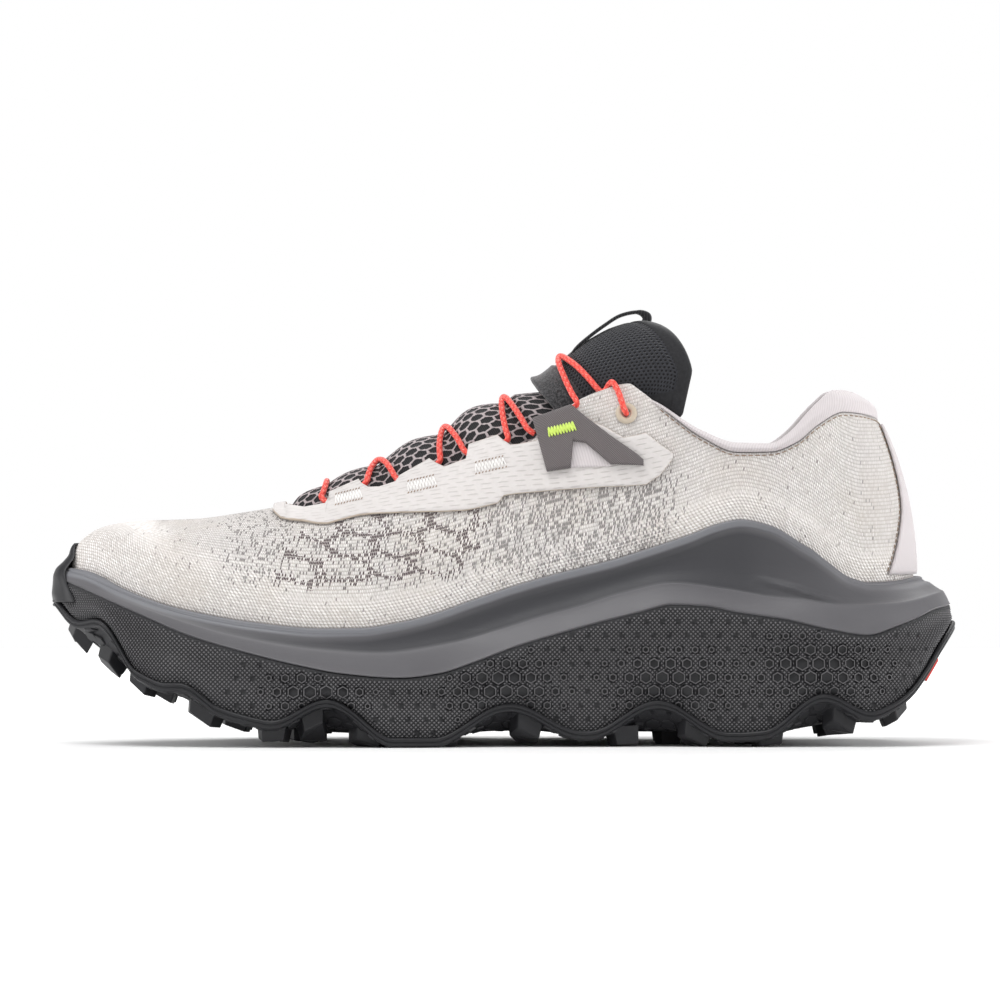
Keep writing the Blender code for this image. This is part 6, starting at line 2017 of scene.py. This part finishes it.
# %% Pad finish
spacer = Finish("black spacer mesh", (0.03, 0.03, 0.033), 0.75)
spacer.fill(spacer.shader, {"Sheen Weight": 0.3, "Sheen Roughness": 0.35})
spacer.fill(spacer.shader, {"Specular IOR Level": 0.25})
u, v, edge = spacer.parts(spacer.mark("net"))
cell = comb(spacer, v, u, 1.35 * MM)
bound = spacer.range(edge, 5.2 * MM, 4.6 * MM)
hole = spacer.times(spacer.range(cell, 0.34, 0.24), spacer.minus(1.0, bound))
thread = spacer.noise(spacer.place(), 1200.0, 3.0)
yarn = spacer.blend(thread, (0.010, 0.0105, 0.013), (0.046, 0.047, 0.055))
tape = spacer.blend(thread, (0.008, 0.008, 0.009), (0.026, 0.026, 0.029))
tone = spacer.blend(bound, yarn, tape)
spacer.paint(spacer.blend(hole, tone, (0.004, 0.004, 0.005)))
spacer.relief(spacer.sum("MULTIPLY_ADD", hole, -1.0, spacer.times(thread, 0.3)), 0.35 * MM, 0.8)
wear(pad, spacer, "tongue_padding", "tongue_pad", pad=0.9)

# %% [markdown]
# ## Lace pocket and pull loop
# A felt pocket on the tongue takes the ends of the lace, and a loop of woven tape pulls the
# tongue up. The pocket is a second skin over the tongue's own sections, thick at its
# mouth. The loop is a flat section carried along a curve, thicker where its end is sewn.

# %% Lace pocket and pull loop
POCKET_SPAN = (0.539, 0.59)
LOOP = table(
    "along height",
    (0.602, 1.202), (0.617, 1.235), (0.634, 1.267), (0.653, 1.297), (0.674, 1.308),
    (0.685, 1.294),
)
POCKET_LIFT = 0.45 * MM
POCKET_THICKNESS = 1.1 * MM
LOOP_WIDTH = 9 * MM
LOOP_THICKNESS = 1.2 * MM
tape = Finish("black woven tape", (0.016, 0.016, 0.018), 0.78)
tape.fill(tape.shader, {"Sheen Weight": 0.3, "Sheen Roughness": 0.4, "Specular IOR Level": 0.25})
threads = {"Vector": tape.place(), "Scale": 330.0, "Distortion": 1.5, "Detail": 2.0}
threads = tape.add("TexWave", threads)
fuzz = tape.noise(tape.place(), 900.0, 3.0)
cloth = tape.times(threads, fuzz)
tape.paint(tape.blend(cloth, (0.007, 0.007, 0.008), (0.045, 0.044, 0.048)))
tape.relief(cloth, 0.2 * MM, 0.7)

tops, lows = [], []
ends = (POCKET_SPAN[0] + 0.012, POCKET_SPAN[1] - 0.008)
first, last = (tongue_line.share(at_share(a, 0)[0]) for a in ends)
turns = np.linspace(-62, 62, 61)
for s in np.linspace(first, last, 40):
    front = math.exp(-((s - first) / (2.4 * MM)) ** 2)
    side = np.clip((62 - np.abs(turns)) / 22, 0, 1)
    bulge = (0.5 * MM + 1.3 * MM * front) * np.cos(np.radians(turns)) ** 2
    reach_up = POCKET_LIFT + POCKET_THICKNESS * np.sqrt(side) + bulge
    end = min(1.0, (last - s) / (3 * MM) + 0.25)
    cap_in = math.sqrt(max(0.0, 1 - (1 - min((s - first) / (1.2 * MM), 1)) ** 2))
    lift = -0.9 * MM + (reach_up + 0.9 * MM) * end * (0.55 + 0.45 * cap_in)
    tops.append(tongue_line.section(s, turns, -lift))
    lows.append(tongue_line.section(s, turns, 0.9 * MM))
grid = np.concatenate([np.array(tops), np.array(lows)[:, ::-1]], 1)
pocket = skin("tongue_pocket", grid, closed=True, caps=True)
felt = Finish("black felt", (0.02, 0.02, 0.022), 0.85)
felt.fill(felt.shader, {"Sheen Weight": 0.4, "Sheen Roughness": 0.5, "Specular IOR Level": 0.2})
speck = felt.noise(felt.place(), 1500.0, 3.0, 0.7)
felt.paint(felt.blend(felt.range(speck, 0.4, 0.66), (0.008, 0.008, 0.009), (0.075, 0.074, 0.078)))
felt.relief(speck, 0.2 * MM, 0.7)
wear(pocket, felt, "pocket_textile", "lace_pocket")

x, z = at_share(LOOP["along"], LOOP["height"])
path = np.column_stack([x, z])
path = np.vstack([path[0] + (-2.6 * MM, -3.6 * MM), path, path[-1] + (-0.4 * MM, -2.6 * MM)])
path = through(path, 10)
ahead = np.gradient(path, axis=0)
ahead /= np.linalg.norm(ahead, axis=1)[:, None]
section = []
for turn in np.linspace(0, 2 * math.pi, 24, endpoint=False):
    a, b = math.cos(turn), math.sin(turn)
    section.append((math.copysign(abs(a) ** 0.35, a) / 2, math.copysign(abs(b) ** 0.6, b) / 2))
runs = []
for j, ((px, pz), (ax, az)) in enumerate(zip(path, ahead)):
    thick = LOOP_THICKNESS * (1.0 + 1.6 * float(np.clip((j - len(path) + 22) / 10, 0, 1)))
    runs.append([
        (px - az * b * thick, spine_y(px) + a * LOOP_WIDTH, pz + ax * b * thick) for a, b in section
    ])
loop = skin("tongue_pull_loop", np.array(runs), closed=True, caps=True)
wear(loop, tape, "loop_webbing", "pull_loop")

# %% [markdown]
# ## Eyelets
# The top lace hole has a moulded ring, domed outside with a rolled inner edge. It is a
# turned profile, set square to the wall.

# %% Eyelets
# The top eyelet's place on the wall.
EYELET_X = LAST_TOE_X + 0.659 * LAST_LENGTH
EYELET_Z = 0.997 * COLLAR_HEIGHT
eyelet_finish = Finish("beige moulded ring", (0.50, 0.425, 0.33), 0.42)
haze = eyelet_finish.noise(eyelet_finish.place(), 160.0, 3.0)
eyelet_finish.paint(eyelet_finish.blend(haze, (0.46, 0.39, 0.30), (0.56, 0.48, 0.38)))
eyelet_finish.relief(eyelet_finish.noise(eyelet_finish.place(), 1200.0), 0.05 * MM, 0.3)
ring_profile = through([
    (2.3 * MM, -2.2 * MM), (2.35 * MM, 0.3 * MM), (3.3 * MM, 0.35 * MM), (3.55 * MM, 0.7 * MM),
    (3.1 * MM, 1.15 * MM), (2.4 * MM, 1.3 * MM), (1.7 * MM, 1.0 * MM), (1.4 * MM, 0.4 * MM),
    (1.4 * MM, -1.2 * MM), (1.45 * MM, -2.2 * MM),
], 4)


def eyelet_frame(side):
    """Where the top eyelet sits on the wall, the way out, and two level directions."""
    st = side_station(EYELET_X, side)
    foot, above = (Vector(st.on_wall(EYELET_Z, lift)[0]) for lift in (0, MM))
    out = (above - foot).normalized()
    across = Vector((1, 0, 0)).cross(out).normalized()
    return foot, out, across, out.cross(across)


for side, name in SIDES:
    foot, out, across, ahead = eyelet_frame(side)
    turned = []
    for turn in np.linspace(0, 2 * math.pi, 48, endpoint=False):
        arm = ahead * math.cos(turn) + across * math.sin(turn)
        turned.append([foot + arm * r + out * h for r, h in ring_profile])
    piece = skin("eyelet_ring_" + name, np.array(turned), around=True, closed=True)
    wear(piece, eyelet_finish, "eyelet", "eyelet_" + name)

# %% [markdown]
# ## Laces
# The lace is a round braided cord. It comes out from behind one lobe of the eyestay,
# crosses the tongue and goes behind the next lobe on the other side. Each strand is a tube
# round a smooth curve, pushed clear of the tongue wherever it would sink in, and its last
# stretch goes over the collar's edge into the eyelet from outside.

# %% What the lace rests on
LACE_RADIUS = 1.0 * MM
LACE_BAR = ((0.298, 0.743), (0.303, 0.796))
LACE_CROSSINGS = (
    ((0.351, 0.788), (0.364, 0.857), (0.386, 0.806)),
    ((0.438, 0.855), (0.443, 0.958), (0.467, 0.889)),
    ((0.519, 0.921), (0.513, 1.049), (0.542, 0.954)),
    ((0.601, 1.027), (0.58, 1.173), (0.628, 1.073)),
)
under_points, under_faces = [], []
for piece in (gusset, pad, pocket):
    first = len(under_points)
    under_points += [v.co.copy() for v in piece.data.vertices]
    under_faces += [[first + i for i in p.vertices] for p in piece.data.polygons]
rest_on = BVHTree.FromPolygons(under_points, under_faces)


def clear_of_tongue(point, room):
    """The point, moved up until it is room away from the tongue."""
    hit = rest_on.ray_cast(Vector((point.x, point.y, 0.3)), Vector((0, 0, -1)))[0]
    if hit is not None and point.z < hit.z + room and abs(point.y - spine_y(point.x)) < 14 * MM:
        point = Vector((point.x, point.y, hit.z + room))
    near, normal = rest_on.find_nearest(point)[:2]
    if near is not None and (point - near).length < room:
        away = point - near
        inside = away.dot(normal) < 0
        point = near + (normal if inside else away.normalized()) * room
    return point


def cord_points(stops, per_span=10):
    return [Vector(p) for p in through(np.array([tuple(p) for p in stops]), per_span)]


def over_point(along, height, side, lift):
    x, z = at_share(along, height)
    return Vector(side_station(x, side).on_wall(z, lift)[0])


def strand(start, apex, end, side, lift_end):
    """A strand from one side over the tongue to the other, clear of what is under it."""
    a = over_point(*start, side, -0.2 * MM)
    b = over_point(*end, -side, lift_end)
    top_x, top_z = at_share(*apex)
    top = Vector((top_x, float(spine_y(top_x)), top_z))
    points = []
    for t in np.linspace(0, 1, 15):
        bend = 4 * t * (1 - t)
        point = a.lerp(b, t) + (top - (a + b) / 2) * bend
        over = 0.35 * MM if abs(t - 0.5) < 0.2 and side > 0 else 0.0
        points.append(clear_of_tongue(point, LACE_RADIUS * 1.02) + Vector((0, 0, over)))
    for _ in range(2):
        smoothed = [p.copy() for p in points]
        for j in range(1, len(points) - 1):
            smoothed[j] = (points[j - 1] + points[j] * 2 + points[j + 1]) / 4
        freed = [clear_of_tongue(p, LACE_RADIUS * 0.95) for p in smoothed[1:-1]]
        points = [smoothed[0], *freed, smoothed[-1]]
    return points


def tuck_in(start, side, back):
    """Where a strand's end lies behind its lobe."""
    x, z = at_share(*start)
    return Vector(side_station(x + back, side).on_wall(z - 1.6 * MM, -0.9 * MM)[0])


def cord_mesh(name, points, sides=14):
    """A round cord along points, with the way along and round it hung on the mesh."""
    points = np.array([tuple(p) for p in points])
    ahead = np.gradient(points, axis=0)
    ahead /= np.maximum(np.linalg.norm(ahead, axis=1), 1e-9)[:, None]
    up = np.array([0.0, 0.0, 1.0])
    grid, mark = [], []
    run = way_along(points)
    print(f"{name} is {run[-1] / MM:.1f} mm long")
    side = np.cross(ahead[0], up)
    for j, (p, a) in enumerate(zip(points, ahead)):
        side = side - a * (side @ a)
        side /= max(np.linalg.norm(side), 1e-9)
        over = np.cross(a, side)
        turns = np.linspace(0, 2 * math.pi, sides, endpoint=False)
        round_it = np.cos(turns)[:, None] * side + np.sin(turns)[:, None] * over
        grid.append(p + LACE_RADIUS * round_it)
        mark.append(np.stack([np.full(sides, run[j]), np.cos(turns), np.sin(turns)], -1))
    return skin(name, np.array(grid), closed=True, caps=True, marks={"cord": np.array(mark)})


print("laces rest on", len(under_faces), "faces")

# %% Cord finish
cord_red = Finish("coral red cord", (0.80, 0.10, 0.07), 0.6)
cord_red.fill(cord_red.shader, {"Sheen Weight": 0.25, "Sheen Roughness": 0.4})
way, c, s = cord_red.parts(cord_red.mark("cord"))
turn = cord_red.over(cord_red.sum("ARCTAN2", s, c), 2 * math.pi)
plait, lean = cord_red.over(way, 2.6 * MM), cord_red.times(turn, 3.0)
first = cord_red.sum("FRACT", cord_red.plus(plait, lean))
second = cord_red.sum("FRACT", cord_red.minus(plait, lean))
weft = cord_red.times(cord_red.sum("PINGPONG", first, 0.5), cord_red.sum("PINGPONG", second, 0.5))
strands = cord_red.range(weft, 0.02, 0.16)
fleck = cord_red.times(cord_red.range(first, 0.72, 0.8), cord_red.range(second, 0.35, 0.45))
shine = cord_red.noise(cord_red.place(), 900.0, 2.0)
red = cord_red.blend(strands, (0.66, 0.036, 0.026), (0.98, 0.115, 0.075))
red = cord_red.blend(cord_red.times(fleck, 0.4), red, (0.93, 0.42, 0.36))
cord_red.paint(cord_red.blend(cord_red.range(shine, 0.55, 0.8, 0.0, 0.3), red, (0.95, 0.3, 0.22)))
cord_red.relief(strands, 0.22 * MM, 0.7)

# %% Build the laces
bar_start, bar_apex = LACE_BAR
points = strand(bar_start, bar_apex, bar_start, -1, -0.2 * MM)
points = [tuck_in(bar_start, -1, 2.5 * MM)] + points + [tuck_in(bar_start, 1, 2.5 * MM)]
wear(cord_mesh("lace_strand_bar", cord_points(points, 4)), cord_red, "lace", "lace_bar")
for number, (start, apex, end) in enumerate(LACE_CROSSINGS, 1):
    for side, name in SIDES:
        top_one = number == len(LACE_CROSSINGS)
        points = strand(start, apex, end, side, -2.9 * MM if top_one else -0.2 * MM)
        points = [tuck_in(start, side, -2.5 * MM)] + points
        if top_one:
            over = [(33.0, 0.2, -2.6), (34.2, 1.35, -1.0), (35.4, 1.1, 0.75), (37.2, -2.6, 1.35)]
            for x, rise, lift in over:
                st = side_station(x * MM, -side)
                points.append(Vector(st.on_wall(st.top_edge()[1] + rise * MM, lift * MM)[0]))
            foot, out, _, _ = eyelet_frame(-side)
            points.append(foot + out * 1.75 * MM + Vector((-0.9 * MM, 0, 1.6 * MM)))
            points.append(foot + out * 0.4 * MM)
            points.append(foot - out * 3.2 * MM)
        else:
            points.append(tuck_in(end, -side, 2.5 * MM))
        piece = cord_mesh("lace_strand_%d_%s" % (number, name), cord_points(points, 5))
        if side < 0:
            wear(piece, cord_red, "lace", "lace_cross_%d" % number)
        else:
            wear(piece, cord_red, "lace")

# %% [markdown]
# ## Stitches
# Seams are rows of separate threads that sink in at both ends. Each stitch is a short
# capsule, and all stitches of one colour make one piece. The bar tacks on the eyestay are
# tight zigzags of white thread with brown dots above and below, and one on the webbing is
# lime.

# %% Threads
def thread_mesh(name, paths, radius, sides=6):
    """Many short threads as one mesh. Each path is a list of points."""
    points, faces = [], []
    for path in paths:
        path = np.array([tuple(p) for p in path])
        ahead = np.gradient(path, axis=0)
        ahead /= np.maximum(np.linalg.norm(ahead, axis=1), 1e-9)[:, None]
        first = len(points)
        for j, (p, a) in enumerate(zip(path, ahead)):
            side = np.cross(a, (0.31, 0.17, 0.93))
            side /= np.linalg.norm(side)
            over = np.cross(a, side)
            size = radius * (0.45 if j in (0, len(path) - 1) else 1.0)
            for turn in np.linspace(0, 2 * math.pi, sides, endpoint=False):
                points.append(p + size * (math.cos(turn) * side + math.sin(turn) * over))
        for j in range(len(path) - 1):
            for k in range(sides):
                n = (k + 1) % sides
                a, b = first + j * sides, first + (j + 1) * sides
                faces.append((a + k, a + n, b + n, b + k))
        faces.append([first + k for k in range(sides)][::-1])
        faces.append([first + (len(path) - 1) * sides + k for k in range(sides)])
    return finish_mesh(name, points, faces)


def stitch_row(line, length, gap, sink):
    """Short threads along a dense line of (point, way out) pairs."""
    spots = np.array([tuple(p) for p, _ in line])
    outs = np.array([tuple(o) for _, o in line])
    run = way_along(spots)
    paths = []
    for start in np.arange(0, run[-1] - length, length + gap):
        path = []
        for share, lift in ((0, -sink), (0.18, 0.0), (0.5, 0.12 * MM), (0.82, 0.0), (1, -sink)):
            at = start + share * length
            p = np.array([np.interp(at, run, spots[:, k]) for k in range(3)])
            o = np.array([np.interp(at, run, outs[:, k]) for k in range(3)])
            path.append(p + o * lift)
        paths.append(path)
    return paths


def thread_finish(name, dark, light):
    finish = Finish(name, light, 0.6)
    finish.fill(finish.shader, {"Sheen Weight": 0.2})
    scaled = finish.add("Mapping", {"Vector": finish.place(), "Scale": (900.0, 900.0, 900.0)})
    twist = finish.noise(scaled, 1.0, 2.0)
    finish.paint(finish.blend(twist, dark, light))
    finish.relief(twist, 0.06 * MM, 0.5)
    return finish


brown_thread = thread_finish("brown thread", (0.20, 0.13, 0.085), (0.36, 0.26, 0.18))
white_thread = thread_finish("white thread", (0.70, 0.68, 0.66), (0.92, 0.91, 0.90))
lime_thread = thread_finish("lime thread", (0.42, 0.60, 0.06), (0.72, 0.88, 0.20))


def wall_spot(st, z, lift):
    """A point over the wall and the way out there."""
    low, high = st.on_wall(z, lift)[0], st.on_wall(z, lift + MM)[0]
    return low, (high - low) / MM


# %% Seam round the collar and down the heel strip
paths = []
line = [wall_spot(st, st.top_edge()[1] - 0.9 * MM, 0.12 * MM) for st in collar[3:-3]]
paths += stitch_row(line, 1.7 * MM, 0.55 * MM, 0.3 * MM)
for sign in (-1, 1):
    line = []
    for height in np.linspace(HEEL_STRIP["along"][0] + 0.02, HEEL_STRIP["along"][-1], 60):
        spread = float(read(HEEL_STRIP, "half", height))
        st = heel_station(math.radians(spread + 1.1) * sign)
        line.append(wall_spot(st, rim + height * (COLLAR_HEIGHT - rim), 0.15 * MM))
    paths += stitch_row(line, 1.5 * MM, 0.6 * MM, 0.3 * MM)
seam = thread_mesh("seam_threads", paths, 0.19 * MM)
wear(seam, brown_thread, "knit")

# %% Bar tacks
film_top = OVERLAY_LIFT + OVERLAY_THICKNESS
webbing_top = webbing_lift + WEBBING_THICKNESS
TACK_TURNS = 9
# Each tack on the film in pixels of the photograph: its middle and its length. The middle of
# the picture lies at x = -2.3 mm and z = 80.8 mm, and 3.05 pixels there make a millimetre.
FILM_TACKS = ((348.5, 500, 27), (422.5, 487, 29), (491.5, 467, 31))
PIXELS_PER_MM = 3.05


def tack(centre_x, centre_z, long, high, tilt, side, lift):
    """A zigzag thread over the wall, and the ends of its stitches above and below."""
    points, ends = [], []
    for j in range(TACK_TURNS * 2 + 1):
        along = (j / (TACK_TURNS * 2) - 0.5) * long
        up = high / 2 * (1 if j % 2 else -1)
        x = centre_x + along * math.cos(tilt) - up * math.sin(tilt)
        z = centre_z + along * math.sin(tilt) + up
        spot, out = wall_spot(side_station(x, side), z, lift)
        points.append(spot)
        z_end = z + math.copysign(0.45 * MM, up)
        a, o = wall_spot(side_station(x - 0.2 * MM, side), z_end - 0.3 * MM, lift)
        b, _ = wall_spot(side_station(x + 0.2 * MM, side), z_end + 0.3 * MM, lift)
        ends.append([a, (a + b) / 2 + o * 0.06 * MM, b])
    threads = []
    for k, (a, b) in enumerate(zip(points, points[1:])):
        up = (out if k % 2 else out * 0.4) * 0.12 * MM
        way, sunk = b - a, out * 0.15 * MM
        threads.append([a - sunk, a + way * 0.15 + up, a + way * 0.85 + up, b - sunk])
    return threads, ends


white, brown, lime = [], [], []
for px, py, pixels in FILM_TACKS:
    x = (-2.3 + (px - 500) / PIXELS_PER_MM) * MM
    z = (80.8 - (py - 500) / PIXELS_PER_MM) * MM
    long = pixels / PIXELS_PER_MM * MM
    for side in (-1, 1):
        path, ends = tack(x, z, long, 2.7 * MM, 0.24, side, film_top + 0.08 * MM)
        white += path
        brown += ends
for side in (-1, 1):
    lift = webbing_top + 0.15 * MM
    lime += tack(18.4 * MM, 103.0 * MM, 9.0 * MM, 3.1 * MM, 0.27, side, lift)[0]
wear(thread_mesh("tack_threads_white", white, 0.21 * MM), white_thread, "eyestay_film")
wear(thread_mesh("tack_ends_brown", brown, 0.2 * MM), brown_thread, "eyestay_film")
wear(thread_mesh("tack_threads_lime", lime, 0.34 * MM), lime_thread, "webbing")

# %% [markdown]
# ## Window under the webbing
# A pale smooth patch shows through the webbing's fork. It is a thin slab on the film, in
# the collar's own finish.

# %% Window under the webbing
WINDOW = table(
    "along low high",
    (0.583, 0.829, 0.86), (0.592, 0.830, 0.905), (0.60, 0.831, 0.925), (0.61, 0.832, 0.915),
    (0.63, 0.835, 0.875), (0.642, 0.836, 0.85),
)
for side, name in SIDES:
    grid, mark = over_wall(WINDOW, side, film_top + 0.12 * MM, 12)
    piece = slab("window_" + name, grid, 0.4 * MM, marks={"cuff": mark}, edge=0.1 * MM)
    wear(piece, blush, "eyestay_film")
